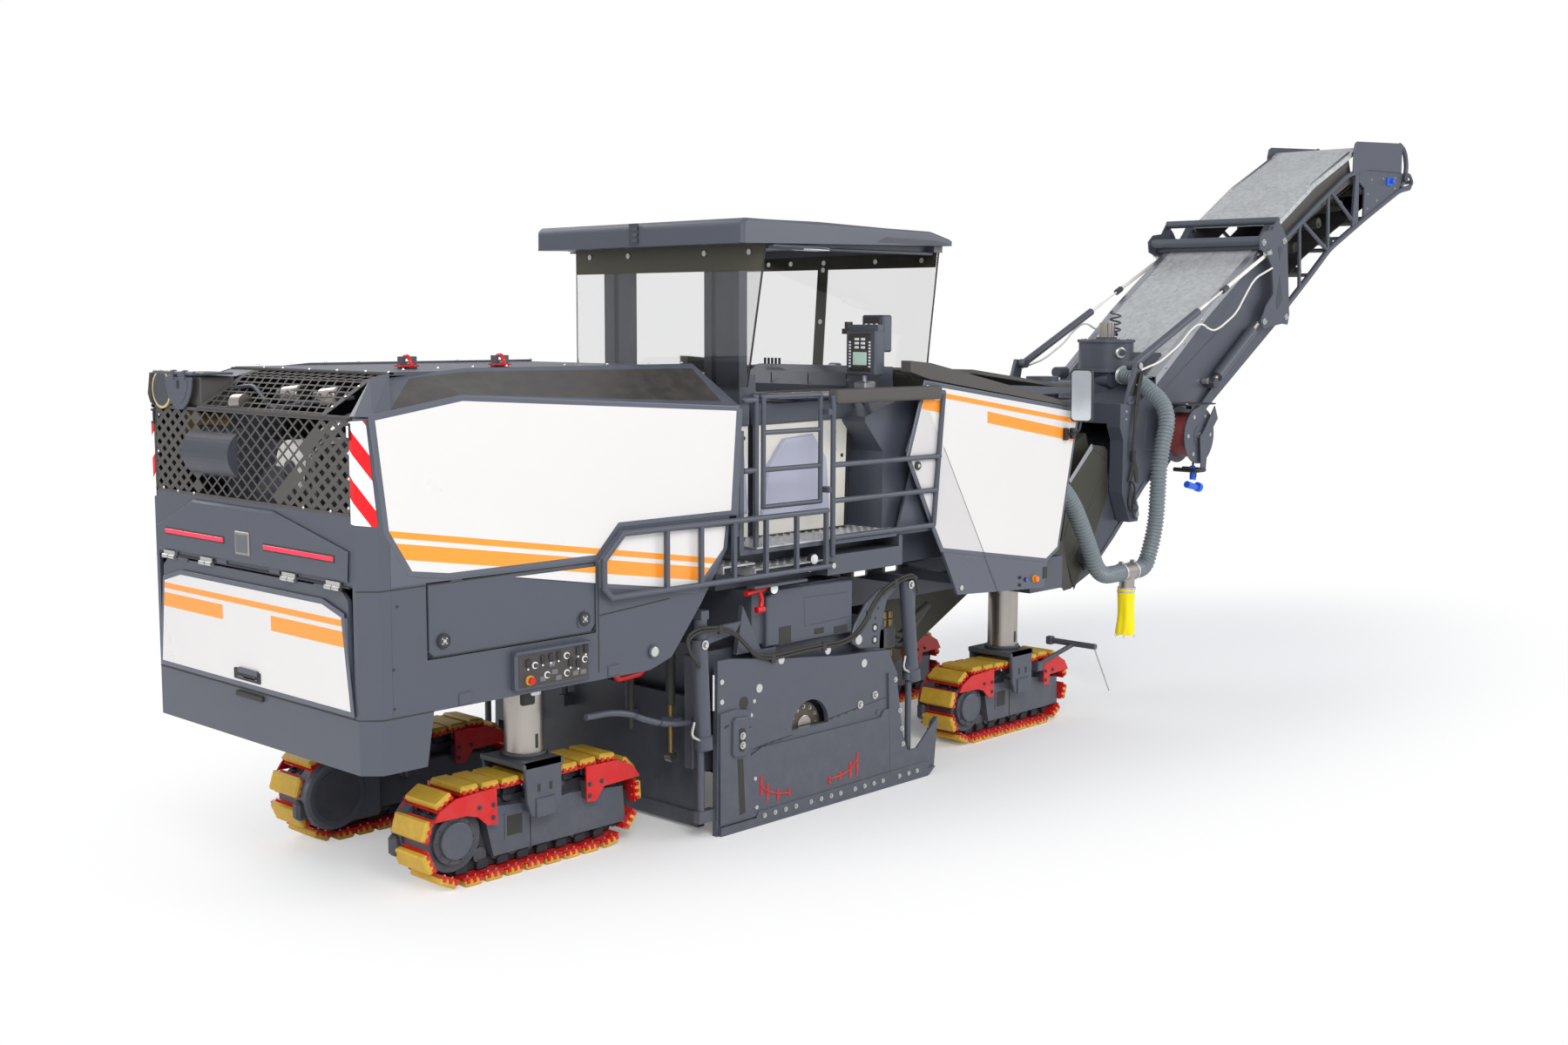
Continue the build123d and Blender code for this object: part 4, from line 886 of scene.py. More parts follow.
grained("sleeve_fabric", rgb(255, 232, 0), 0.75, scale=240.0, spread=0.12, bump=0.5, depth=0.002)
grained("white_cable", rgb(235, 232, 225), 0.5, scale=120.0, spread=0.08, bump=0.1, depth=0.001)
grained("belt_rubber", rgb(38, 36, 36), 0.7, scale=60.0, spread=0.3, bump=0.3, depth=0.004)
grained("dark_screen", rgb(24, 26, 30), 0.18, scale=40.0, spread=0.05, bump=0.02, depth=0.001)
grained("brass_core", rgb(150, 128, 84), 0.45, metallic=0.8, scale=50.0, spread=0.3, bump=0.2, depth=0.003)
grained("canopy_band", rgb(78, 74, 58), 0.3, scale=120.0, spread=0.1, bump=0.02, depth=0.001)
grained("screen_glow", rgb(196, 226, 212), 0.2, scale=80.0, spread=0.2, bump=0.02, depth=0.001)
grained("white_lens", rgb(238, 240, 242), 0.12, scale=30.0, spread=0.04, bump=0.02, depth=0.001)
print(len(finishes), "finishes")

# %% [markdown]
# ## Body panels
# The hood, the flank and the front carry white panels held in rounded grey borders. A border is a
# thick plate cut to the panel's outline, and the white panel is a thinner plate on top of it.


# %% Panels
def grown_outline(outline, out):
    """The outline moved outwards by a distance, corner by corner."""
    size = len(outline)
    turn = sum(a[0] * b[1] - b[0] * a[1] for a, b in zip(outline, outline[1:] + outline[:1]))
    sign = 1 if turn > 0 else -1
    grown = []
    for n, corner in enumerate(outline):
        before = (Vector(corner) - Vector(outline[n - 1])).normalized()
        after = (Vector(outline[(n + 1) % size]) - Vector(corner)).normalized()
        normal = Vector((before.y + after.y, -before.x - after.x)).normalized() * sign
        reach = out / max(0.35, normal.dot(Vector((before.y, -before.x)) * sign))
        grown.append((corner[0] + normal.x * reach, corner[1] + normal.y * reach))
    return grown


def panel(outline, y, white=0, grey=1, border=0.034):
    """White plate in a rounded grey border, on a side face at y."""
    out = copysign(1, y)
    plate(grown_outline(outline, border), y - out * 0.003, y + out * 0.007, grey, 0.008, 3)
    plate(outline, y + out * 0.006, y + out * 0.0095, white, 0.0015)


hood_outline = [(0.083, 2.88), (0.661, 2.968), (2.84, 2.838), (2.79, 2.186), (1.811, 2.186), (1.63, 2.002),
    (0.544, 2.002), (0.3, 2.037), (0.156, 2.271)]
flank_outline = [(1.844, 2.101), (2.74, 2.087), (2.718, 1.941), (2.521, 1.752), (2.459, 1.704),
    (1.683, 1.819), (1.68, 1.939)]
front_outline = [(4.825, 2.96), (6.8, 2.69), (6.55, 1.6), (6.396, 1.52), (5.047, 1.729), (4.926, 1.929),
    (4.64, 2.44)]
for side, s in SIDES:
    form = bmesh.new()
    panel(hood_outline, s * 1.217)
    panel(flank_outline, s * 1.217)
    plate([(1.004, 1.933), (1.618, 1.933), (1.617, 1.831)], s * 1.2275, s * 1.2305)
    finish_piece(f"hood_panels_{side}", "machine", "hood_white", "border_grey", slot="white_paint")
    form = bmesh.new()
    panel(front_outline, s * 1.217)
    finish_piece(f"front_panel_white_{side}", "machine", "front_white", "border_grey", slot="white_paint")

form = bmesh.new()
door_outline = [(1.007, 1.79), (0.802, 1.843), (-0.806, 1.843), (-0.997, 1.79), (-1.07, 1.27), (1.07, 1.27)]
for outline, depth, look, chamfer in ((grown_outline(door_outline, 0.03), 0.004, 1, 0.003),
        (door_outline, 0.007, 0, 0.0015)):
    cut_plate([(at(-0.0115), y, z) for y, z in outline], (-depth, 0, 0), look, chamfer)
box((-0.028, -0.012), (-0.13, 0.17), (1.285, 1.352), 2, 0.006)
box((-0.034, -0.026), (-0.09, 0.05), (1.3, 1.335), 2, 0.004)
finish_piece("rear_door_panel", "rear_door_leaf", "door_white", "border_grey", "black_rubber",
    slot="white_paint")
print("panels on both sides and the rear door")

# %% [markdown]
# ## Rear face
# Behind the rear grille sit the cooler and the exhaust parts. The sheet has diamond holes, and the
# mesh above it has slanted slots. Both start as a grid whose cells are inset and opened.


# %% Pierced sheet
def pierced(frame_matrix, size, cell, inset, diamond=False, skew=0.0, thick=0.004, look=0):
    """A sheet with holes, in local x and y with its corner at the origin; inset may vary by place."""
    part = bmesh.new()
    across = int(size[0] / cell[0] * (1.6 if diamond else 1.0)) + 6
    down = int(size[1] / cell[1] * (1.6 if diamond else 1.0)) + 6
    if diamond:
        across = down = max(int(size[0] / cell[0]), int(size[1] / cell[1])) * 2 + 4
    bmesh.ops.create_grid(part, x_segments=across, y_segments=down, size=0.5)
    bmesh.ops.scale(part, vec=(across, down, 1), verts=part.verts[:])
    if diamond:
        bmesh.ops.rotate(part, matrix=Matrix.Rotation(radians(45), 3, "Z"), verts=part.verts[:])
        bmesh.ops.scale(part, vec=(cell[0] / sqrt(2), cell[1] / sqrt(2), 1), verts=part.verts[:])
    else:
        bmesh.ops.scale(part, vec=(cell[0], cell[1], 1), verts=part.verts[:])
        lean = Matrix(((1, skew, 0), (0, 1, 0), (0, 0, 1)))
        bmesh.ops.transform(part, matrix=lean.to_4x4(), verts=part.verts[:])
    bmesh.ops.translate(part, vec=(size[0] / 2, size[1] / 2, 0), verts=part.verts[:])
    groups = {}
    for face in part.faces:
        middle = face.calc_center_median()
        if -0.1 < middle.x < size[0] + 0.1 and -0.1 < middle.y < size[1] + 0.1:
            width = inset(middle.x, middle.y) if callable(inset) else inset
            if width:
                groups.setdefault(width, []).append(face)
    for width, faces in groups.items():
        bmesh.ops.inset_individual(part, faces=faces, thickness=width, use_even_offset=True)
        bmesh.ops.delete(part, geom=faces, context="FACES")
    cuts = [((0, 0, 0), (-1, 0, 0)), ((0, 0, 0), (0, -1, 0)), ((size[0], 0, 0), (1, 0, 0)),
        ((0, size[1], 0), (0, 1, 0))]
    for corner, normal in cuts:
        geometry = part.verts[:] + part.edges[:] + part.faces[:]
        bmesh.ops.bisect_plane(part, geom=geometry, plane_co=corner, plane_no=normal, clear_outer=True)
    grown = bmesh.ops.extrude_face_region(part, geom=part.faces[:])["geom"]
    verts = only(grown, "BMVert")
    bmesh.ops.translate(part, vec=(0, 0, thick), verts=verts)
    bmesh.ops.recalc_face_normals(part, faces=part.faces[:])
    absorb(part, look, frame_matrix)


def axes(origin, across, up):
    """Matrix whose local x runs across, local y up, local z out of the sheet."""
    x = Vector(across).normalized()
    y = Vector(up).normalized()
    z = x.cross(y)
    turn = Matrix((x, y, z)).transposed().to_4x4()
    return Matrix.Translation(Vector(origin)) @ turn


grille_low, grille_top = 2.352, 2.886


def grille_inset(x, y):
    """Thin bars in the middle, thick ones at both sides, and a solid fold along the slanted joint."""
    seam = 1.42 + 0.95 * y
    if x < 0.46:
        return 0.0155
    if abs(x - seam) < 0.03 or abs(x - 0.5) < 0.03:
        return 0.0
    return 0.0058 if x < seam else 0.0155


form = bmesh.new()
# local x runs from the machine's left to its right across the rear face
pierced(axes((at(0.008), 1.1, grille_low), (0, -1, 0), (0, 0, 1)), (2.2, grille_top - grille_low),
    (0.116, 0.083), grille_inset, diamond=True, thick=0.004)
for z in (grille_low - 0.004, grille_top - 0.016):
    box((0.0, 0.008), (-1.11, 1.11), (z, z + 0.02))
for y in (-1.11, 1.085):
    box((0.0, 0.008), (y, y + 0.025), (grille_low, grille_top))
for y, z in ((1.03, 2.83), (1.05, 2.6), (1.0, 2.375), (0.82, 2.365), (0.62, 2.365), (0.45, 2.56),
        (-0.62, 2.37), (-0.9, 2.37), (-1.08, 2.4), (-1.09, 2.56), (-1.09, 2.7), (-1.09, 2.84)):
    bolt((at(0.0), y, z), BACK, 0.011, 1)
finish_piece("rear_grille_sheet", "machine", "matte_deck", "zinc_bolt", slot="dark_panel",
    replaced=["rear_grille"])
print("rear grille")

# %% Sloping mesh above the rear face
form = bmesh.new()
slope_start = spot(0.012, 0, 2.896)
slope_mid = spot(0.3, 0, 3.076)
slope_end = spot(0.43, 0, 3.114)
rise = slope_mid - slope_start
tilt = slope_end - slope_mid
width = 1.4
pierced(axes(slope_start + Vector((0, 0.554, 0)), (0, -1, 0), rise), (width, rise.length), (0.088, 0.052),
    0.006, skew=-0.6, thick=0.003)
pierced(axes(slope_mid + Vector((0, 0.554, 0)), (0, -1, 0), tilt), (width, tilt.length), (0.088, 0.052),
    0.006, skew=0.5, thick=0.003)
for y0, y1 in ((-0.85, -0.8), (0.5, 0.554)):
    for low, high in ((slope_start, slope_mid), (slope_mid, slope_end)):
        cut_plate([low + Vector((0, y0, 0)), low + Vector((0, y1, 0)), high + Vector((0, y1, 0)),
            high + Vector((0, y0, 0))], (0, 0, 0.004))
for s in (-1, 1):
    # grey frame from the rear corner up to the deck
    for corners in (((0.004, 1.1, 2.895), (0.01, 1.135, 2.897), (0.3, 0.85, 3.083)),
            ((0.01, 1.135, 2.897), (0.075, 1.215, 2.897), (0.3, 0.85, 3.083)),
            ((0.075, 1.215, 2.897), (0.19, 1.218, 2.916), (0.43, 0.85, 3.12), (0.3, 0.85, 3.083))):
        cut_plate([spot(x, s * y, z) for x, y, z in corners], (0, 0, 0.004), 2)
cut_plate([Vector((at(0.266), 0.554, 3.07)), Vector((at(0.266), 0.85, 3.07)),
    slope_end + Vector((0, 0.85, 0)), slope_end + Vector((0, 0.554, 0))], (0, 0, 0.004), 2)
block(slope_start + Vector((-0.012, -1.1, -0.02)), slope_start + Vector((0.012, 0.554, 0.004)))
block(slope_end + Vector((-0.03, -0.85, -0.002)), slope_end + Vector((0.03, 0.85, 0.008)))
for y in (-0.83, -0.6, -0.3, 0.0, 0.3, 0.52):
    bolt(slope_end + Vector((0.01, y, 0.008)), UP, 0.011, 1)
for z in (0.2, 0.5, 0.8):
    bolt(slope_start + rise * z + Vector((0, -0.83, 0.006)), UP, 0.011, 1)
finish_piece("roof_mesh", "machine", "matte_deck", "zinc_bolt", "grey_paint", slot="dark_panel",
    replaced=["roof_grille"])
print("roof mesh")

# %% Parts seen through the grille
form = bmesh.new()
turned(spot(0.12, -0.3, 2.56), AHEAD, 0.17, 0.5, sides=40, chamfer=0.02)
turned(spot(0.1, -0.3, 2.56), AHEAD, 0.05, 0.03, 1, sides=24)
turned(spot(0.1, 0.78, 2.72), AHEAD, 0.15, 0.45, 2, sides=32)
turned(spot(0.1, 0.1, 2.62), LEFT, 0.16, 0.55, 1, sides=40)
turned(spot(0.1, -0.98, 2.5), (0.3, 1, 0.12), 0.05, 0.6, 3, sides=20)
for y in (-0.1, -0.5):
    turned(spot(0.22, y, 2.98), (0.2, -1, 0.1), 0.05, 0.14, 3, sides=24, chamfer=0.01)
    turned(spot(0.22, y, 2.98), (-0.2, 1, -0.1), 0.04, 0.05, 1, sides=24)
turned(spot(0.06, 0.2, 2.93), (0.1, -1, 0.05), 0.05, 0.1, 3, sides=24)
pipe([(0.2, 0.5, 3.0), (0.18, 0.2, 3.03), (0.1, -0.15, 2.9), (0.14, -0.45, 2.95), (0.3, -0.7, 2.98)], 0.014,
    1, 0.06)
pipe([(0.08, -0.62, 2.36), (0.08, -0.58, 2.6), (0.1, -0.7, 2.8), (0.3, -0.72, 2.86)], 0.045, 3, 0.1, 16)
pipe([(0.08, -0.9, 2.36), (0.08, -0.86, 2.66), (0.2, -0.86, 2.82)], 0.03, 1, 0.1, 12)
finish_piece("engine_pipes", "machine", "white_cable", "dark_frame", "brass_core", "stainless", slot="steel")
print("engine pipes")

# %% Rear face: folded panel, light strips, blank badge, hinges, seams
form = bmesh.new()
face = at(-0.008)
cut_plate([(face, 1.06, 1.985), (face, 1.075, 2.14), (face, 0.62, 2.325), (face, -0.3, 2.325),
    (face, -1.075, 2.16), (face, -1.06, 1.985)], (-0.016, 0, 0), 0, 0.014, 1)
for low, high in ((-0.955, -0.219), (0.24, 0.95)):
    block((face - 0.02, low - 0.01, 2.088), (face - 0.012, high + 0.01, 2.133), 3, chamfer=0.004)
    block((face - 0.0235, low, 2.097), (face - 0.018, high, 2.124), 1, chamfer=0.002)
block((face - 0.024, -0.06, 2.04), (face - 0.012, 0.1, 2.18), 2, chamfer=0.005)
block((face - 0.0265, -0.045, 2.055), (face - 0.018, 0.085, 2.165), 4, chamfer=0.003)
for y in (0.93, 0.47, -0.47, -0.93):
    turned((face - 0.012, y - 0.075, 1.948), LEFT, 0.014, 0.07, 5, sides=14)
    turned((face - 0.012, y + 0.003, 1.948), LEFT, 0.014, 0.07, 5, sides=14)
    block((face - 0.012, y - 0.07, 1.95), (face + 0.0, y + 0.07, 1.985), 5)
block((face - 0.002, -1.08, 1.955), (face + 0.006, 1.08, 1.966), 3)
for s in (-1, 1):
    plate([(0.09, 1.94), (1.62, 1.955), (1.62, 1.962), (0.09, 1.948)], s * 1.2165, s * 1.2215, 3)
    plate([(0.09, 1.222), (0.43, 1.222), (0.43, 1.23), (0.09, 1.23)], s * 1.2165, s * 1.2215, 3)
    cut_plate([(at(-0.001), s * 1.128, 1.222), (at(0.09), s * 1.221, 1.222), (at(0.09), s * 1.221, 1.23),
        (at(-0.001), s * 1.128, 1.23)], (-0.001, s * 0.001, 0), 3)
    cut_plate([(at(-0.001), s * 1.128, 1.94), (at(0.09), s * 1.221, 1.94), (at(0.09), s * 1.221, 1.948),
        (at(-0.001), s * 1.128, 1.948)], (-0.001, s * 0.001, 0), 3)
box((-0.002, 0.004), (-1.13, 1.13), (1.222, 1.23), 3)
box((-0.02, 0.0), (-0.13, 0.17), (1.178, 1.21), 3, 0.005)
finish_piece("rear_face_trim", "machine", "grey_paint", "red_strip", "stainless", "black_rubber",
    "core_metal", "zinc_bolt")

form = bmesh.new()
for s in (-1, 1):
    cut_plate([(at(-0.002), s * 1.13, 2.31), (at(0.088), s * 1.2215, 2.3), (at(0.05), s * 1.183, 2.878),
        (at(-0.002), s * 1.13, 2.875)], (-0.0015, s * 0.0015, 0))
    cut_plate([(at(-0.002), s * 1.1, 2.315), (at(-0.002), s * 1.132, 2.31), (at(-0.002), s * 1.132, 2.875),
        (at(-0.002), s * 1.1, 2.872)], (-0.0015, 0, 0))
    box((-0.012, -0.003), (s * 1.085, s * 1.12), (2.77, 2.865), 1, 0.004)
    box((-0.016, -0.01), (s * 1.093, s * 1.112), (2.785, 2.85), 2, 0.003)
finish_piece("warning_marks", "machine", "hazard", "black_plastic", "white_lens", slot="plain_plastic")
print("rear trim and warning marks")

# %% Exhaust outlet and its lid
form = bmesh.new()
box((0.03, 0.26), (0.56, 1.1), (2.895, 3.075), 0, 0.006)
cut_plate([spot(-0.02, 1.1, 2.9), spot(-0.036, 1.1, 2.96), spot(-0.02, 1.1, 3.09), spot(0.1, 1.1, 3.09),
    spot(0.1, 1.1, 2.9)], (0, -0.012, 0))
turned(spot(0.026, 0.955, 2.99), BACK, 0.105, 0.045, 1, sides=40, tip=0.12)
turned(spot(-0.017, 0.955, 2.99), BACK, 0.104, 0.003, 3, sides=40)
lid = [(at(-0.01), 0.735 + 0.165 * cos(a), 3.07 - 0.2 * sin(a)) for a in [n * pi / 14 for n in range(15)]]
cut_plate(lid, (-0.012, 0, 0), 2, 0.003)
inner = [(at(-0.022), 0.735 + 0.12 * cos(a), 3.055 - 0.145 * sin(a)) for a in [n * pi / 14
    for n in range(15)]]
cut_plate(inner, (-0.004, 0, 0), 2, 0.002)
box((-0.03, -0.02), (0.72, 0.745), (3.0, 3.05), 4)
pipe([(-0.012, 1.05, 3.094), (-0.012, 0.55, 3.094)], 0.013, 2)
for y in (0.66, 0.8):
    box((-0.03, 0.004), (y - 0.014, y + 0.014), (3.05, 3.112), 2, 0.004)
box((0.02, 0.22), (0.5, 0.8), (3.085, 3.1), 2, 0.004)
finish_piece("exhaust_box", "machine", "matte_deck", "beige_lining", "grey_paint", "dark_frame",
    "black_plastic", slot="dark_panel", replaced=["exhaust_outlet"])
print("exhaust")

# %% Hood deck: dark inset panels, bolts and lifting eyes
form = bmesh.new()
for x in (0.56, 0.8, 1.05, 1.3, 1.75, 2.1, 2.45, 2.75):
    for s in (-1, 1):
        bolt(spot(x, s * 0.8, 3.143 - max(0, 0.96 - x) * 0.02), UP, 0.011)
for x in (0.924, 1.628):
    arc = [(at(x), -0.3 + 0.05 * cos(a), 3.15 + 0.052 * sin(a)) for a in [n * pi / 8 for n in range(9)]]
    tube_run([(at(x), -0.25, 3.13)] + arc + [(at(x), -0.35, 3.13)], 0.013, 1, 0.01)
    turned((at(x), -0.3, 3.138), UP, 0.075, 0.01, 1, sides=24)
finish_piece("hood_fittings", "machine", "zinc_bolt", "red_paint", slot="steel")

deck_tree, _, deck_paint = painted("hood_deck", rgb(78, 82, 92), gloss=0.34, mottle=0.1, dust=0.3)
parts = place_parts(deck_tree)
outward = maths("ABSOLUTE", parts[1])
start = plus(parts[0], times(outward, 1.15))
inset = times(band(outward, 0.89, 1.165), band(start, at(1.56), 9.0))
inset = times(inset, band(parts[0], -9.0, at(2.76)))
inset = times(inset, band(parts[2], 2.86, 4.0))
feed(deck_tree, deck_paint, "Paint", mixed(inset, rgb(78, 82, 92), rgb(60, 57, 54)))
print("hood deck")

# %% [markdown]
# ## Dust hoses
# Two ribbed hoses meet at a silver branch piece. A ribbed hose is a ring extruded again and again
# along its route, wide and narrow in turn. Below the branch hangs the yellow sleeve.


# %% Ribbed hose
def rounded_route(points, bend, step):
    """Evenly spaced places along a route whose corners are rounded."""
    points = [Vector(p) for p in points]
    rough = [points[0]]
    for before, corner, after in zip(points, points[1:], points[2:]):
        reach = min(bend, (before - corner).length * 0.48, (after - corner).length * 0.48)
        start = corner + (before - corner).normalized() * reach
        end = corner + (after - corner).normalized() * reach
        for n in range(9):
            t = n / 8
            rough.append(start * (1 - t) ** 2 + corner * 2 * t * (1 - t) + end * t ** 2)
    rough.append(points[-1])
    places, carried = [rough[0]], 0.0
    for a, b in zip(rough, rough[1:]):
        gap = (b - a).length
        while carried + gap >= step and gap > 0:
            a = a + (b - a).normalized() * (step - carried)
            gap = (b - a).length
            places.append(a.copy())
            carried = 0.0
        carried += gap
    return places


def ribbed_hose(points, radius, bend=0.28, rib=0.034, look=0, sides=20):
    part = bmesh.new()
    places = rounded_route(points, bend, rib / 4)
    ring = bmesh.ops.create_circle(part, cap_ends=False, radius=1.0, segments=sides)["verts"]
    normals = [v.co.copy() for v in ring]
    turn = Vector((0, 0, 1)).rotation_difference(places[1] - places[0])
    for v, n in zip(ring, normals):
        v.co = places[0] + turn @ n * radius
    edges = list({e for v in ring for e in v.link_edges})
    for k in range(1, len(places)):
        ahead = places[min(k + 1, len(places) - 1)] - places[k - 1]
        turn = (turn @ Vector((0, 0, 1))).rotation_difference(ahead) @ turn
        grown = bmesh.ops.extrude_edge_only(part, edges=edges)["geom"]
        new = only(grown, "BMVert")
        edges = only(grown, "BMEdge")
        wide = radius if k % 4 < 2 else radius - 0.012
        for v in new:
            spoke = (v.co - places[k - 1])
            spoke -= spoke.project(ahead)
            v.co = places[k] + spoke.normalized() * wide
    bmesh.ops.recalc_face_normals(part, faces=part.faces[:])
    absorb(part, look)


form = bmesh.new()
branch = Vector((at(8.2), -0.86, 1.19))
ribbed_hose([spot(8.96, -0.3, 2.93), spot(8.905, -0.48, 2.89), spot(8.87, -0.86, 2.64),
    spot(8.7, -0.86, 2.2), spot(8.67, -0.86, 1.56), spot(8.5, -0.86, 1.19), spot(8.27, -0.86, 1.19)], 0.077)
turned(branch - Vector((0.11, 0, 0)), AHEAD, 0.079, 0.22, 1, sides=32)
turned(branch, DOWN, 0.07, 0.16, 1, sides=28)
for shift in (-0.1, 0.09):
    turned(branch + Vector((shift - 0.012, 0, 0)), AHEAD, 0.084, 0.024, 2, sides=32)
    block(branch + Vector((shift - 0.012, -0.02, 0.08)), branch + Vector((shift + 0.012, 0.02, 0.1)), 2)
turned(branch + Vector((0, 0, -0.14)), DOWN, 0.082, 0.02, 2, sides=32)
turned(spot(8.97, -0.27, 2.935), (-0.3, -1, -0.25), 0.088, 0.03, 2, sides=28)
front_hose = finish_piece("ribbed_hose_front", None, "hose_plastic", "stainless", "galvanised",
    slot="hose_grey", replaced=["dust_hose"])
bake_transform(front_hose)

form = bmesh.new()
ribbed_hose([spot(6.9, -0.8, 2.2), spot(7.25, -0.86, 1.95), spot(7.52, -0.86, 1.56), spot(7.74, -0.86, 1.19),
    spot(8.1, -0.86, 1.19)], 0.077)
piece = finish_piece("ribbed_hose_rear", None, "hose_plastic", slot="hose_grey", replaced=["suction_hose"])
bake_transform(piece)
print("ribbed hoses")

# %% [markdown]
# ## Upper conveyor
# The upper conveyor is an open truss of tubes with a belt inside it and a galvanised cover on top.
# The tip carries shaped side plates, a round guard and the drive drum of the belt.

# %% Upper conveyor truss, belt and covers
form = bmesh.new()
lower_chord = [(11.56, 3.5), (12.22, 3.93), (12.66, 4.23), (13.5, 4.6), (14.34, 4.945), (14.6, 4.99)]
upper_chord = [(11.62, 4.28), (12.3, 4.66), (13.01, 5.03), (13.25, 5.08)]


def chord_at(chord, x):
    for (xa, za), (xb, zb) in zip(chord, chord[1:]):
        if xa <= x <= xb:
            return za + (zb - za) * (x - xa) / (xb - xa)
    return chord[-1][1]


for s in (-1, 1):
    y = s * 0.5
    tube_run([spot(x, y, z) for x, z in lower_chord], 0.032, 0, 0.1, 12)
    tube_run([spot(x, y, z) for x, z in upper_chord], 0.028, 0, 0.1, 12)
    for top, bottom in ((11.66, 11.66), (11.95, 12.0), (12.0, 12.62), (12.58, 12.62), (12.64, 13.28)):
        pipe([(top, y, chord_at(upper_chord, top)), (bottom, y, chord_at(lower_chord, bottom))], 0.021, 0,
            0.02, 12)
    # tip plates: a truss post, the drive plate and the raised head with its round guard
    plate([(13.16, 4.5), (13.22, 4.46), (13.3, 4.52), (13.28, 5.1), (13.2, 5.11)], y - s * 0.012,
        y + s * 0.014)
    plate([(13.44, 4.6), (14.34, 4.97), (14.42, 5.14), (14.3, 5.16), (13.5, 5.13), (13.3, 5.09),
        (13.3, 4.98), (13.44, 4.92)], y - s * 0.012, y + s * 0.008, 0, 0.004)
    plate([(13.12, 5.05), (13.12, 5.3), (13.15, 5.385), (13.2, 5.41), (14.27, 5.47), (14.34, 5.455),
        (14.34, 5.14), (13.5, 5.12)], y + s * 0.008, y + s * 0.024, 0, 0.008, 2)
    pipe([(14.3, y, 5.455), (14.45, y, 5.4), (14.52, y, 5.2), (14.46, y, 5.06), (14.36, y, 4.98)], 0.028, 0,
        0.08, 12)
    pipe([(14.46, y, 5.13), (14.6, y, 5.14), (14.69, y, 5.05), (14.6, y, 4.99), (14.4, y, 4.97)], 0.02, 0,
        0.04, 10)
    disc(14.44, y - s * 0.05, 5.09, 0.045, 0.09, 4, 20)
    disc(14.05, y, 5.03, 0.028, 0.07, 5, 16)
    box((13.98, 14.1), (y, y + s * 0.03), (4.98, 5.07), 5, 0.01)
    for bx, bz in ((13.52, 4.7), (13.52, 4.86), (13.6, 5.02), (13.9, 5.05), (14.2, 5.08), (14.2, 4.96),
            (13.75, 4.8)):
        side_bolt(bx, y + s * 0.008, bz, 0.012, 6)
    # dark rubber skirts between the cover and the upper chord
    plate([(11.5, 4.33), (12.32, 4.8), (13.12, 5.14), (13.12, 5.3), (12.3, 4.86 + 0.06), (11.48, 4.42)],
        s * 0.455, s * 0.462, 3)
    plate([(11.52, 4.1), (12.3, 4.55), (13.25, 4.98), (13.12, 5.28), (12.3, 4.9), (11.46, 4.4)], s * 0.44,
        s * 0.446, 3)
for (xa, za), (xb, zb) in (((11.46, 4.43), (12.3, 4.91)), ((12.3, 4.91), (13.28, 5.345))):
    sheet_between((xa, za), (xb, zb), 0.485, 0.008, 1)
    for s in (-1, 1):
        plate([(xa, za - 0.045), (xb, zb - 0.045), (xb, zb + 0.008), (xa, za + 0.008)], s * 0.485, s * 0.492,
            1)
        for t in (0.12, 0.5, 0.88):
            bolt(spot(xa + (xb - xa) * t, s * 0.45, za + (zb - za) * t + 0.008), UP, 0.009, 6)
sheet_between((13.28, 5.3), (14.25, 5.41), 0.47, 0.008, 1)
sheet_between((13.32, 5.315), (14.2, 5.415), 0.4, 0.012, 3)
# belt strands, rollers and the drums
upper_run = [(11.55, 4.05), (12.4, 4.53), (13.4, 4.95), (14.4, 5.17)]
lower_run = [(11.65, 3.72), (12.3, 4.12), (13.0, 4.44), (14.4, 5.01)]
for run in (upper_run, lower_run):
    for (xa, za), (xb, zb) in zip(run, run[1:]):
        sheet_between((xa, za), (xb, zb), 0.38, 0.012, 2)
turned(spot(14.42, -0.38, 5.095), LEFT, 0.085, 0.76, 2, sides=24)
turned(spot(11.6, -0.36, 3.88), LEFT, 0.12, 0.72, 2, sides=24)
for x in (11.95, 12.45, 12.95, 13.45, 13.95):
    z = chord_at(upper_run, x) - 0.075
    for n in range(7):
        turned(spot(x, -0.47 + n * 0.035, z + 0.02 - n * 0.004), LEFT, 0.055, 0.026, 7, sides=16)
        turned(spot(x, 0.444 - n * 0.035, z + 0.02 - n * 0.004), LEFT, 0.055, 0.026, 7, sides=16)
    turned(spot(x, -0.49, z), LEFT, 0.018, 0.98, 4, sides=10)
    turned(spot(x, -0.22, z - 0.01), LEFT, 0.05, 0.44, 4, sides=14)
for x in (12.15, 12.85, 13.4):
    z = chord_at(lower_run, x) - 0.05
    turned(spot(x, -0.42, z), LEFT, 0.045, 0.84, 7, sides=16)
    pipe([(x + 0.08, -0.5, chord_at(lower_chord, x + 0.08)), (x + 0.08, 0.5,
        chord_at(lower_chord, x + 0.08))], 0.022)
for x, z in ((13.25, 5.05), (14.33, 4.97), (11.64, 3.55), (14.7, 5.06), (12.62, 4.21)):
    pipe([(x - 0.01, -0.5, z), (x - 0.01, 0.5, z)], 0.026)
for s in (-1, 1):
    plate([(11.4, 4.33), (11.52, 4.4), (11.66, 4.3), (11.72, 3.62), (11.62, 3.47), (11.5, 3.47)], s * 0.51,
        s * 0.526, 0, 0.004)
finish_piece("upper_conveyor_truss", "conveyor_upper", "grey_paint", "galvanised", "belt_rubber",
    "matte_deck", "dark_frame", "blue_plastic", "zinc_bolt", "olive_rubber", replaced=["upper_conveyor"])
print("upper conveyor")

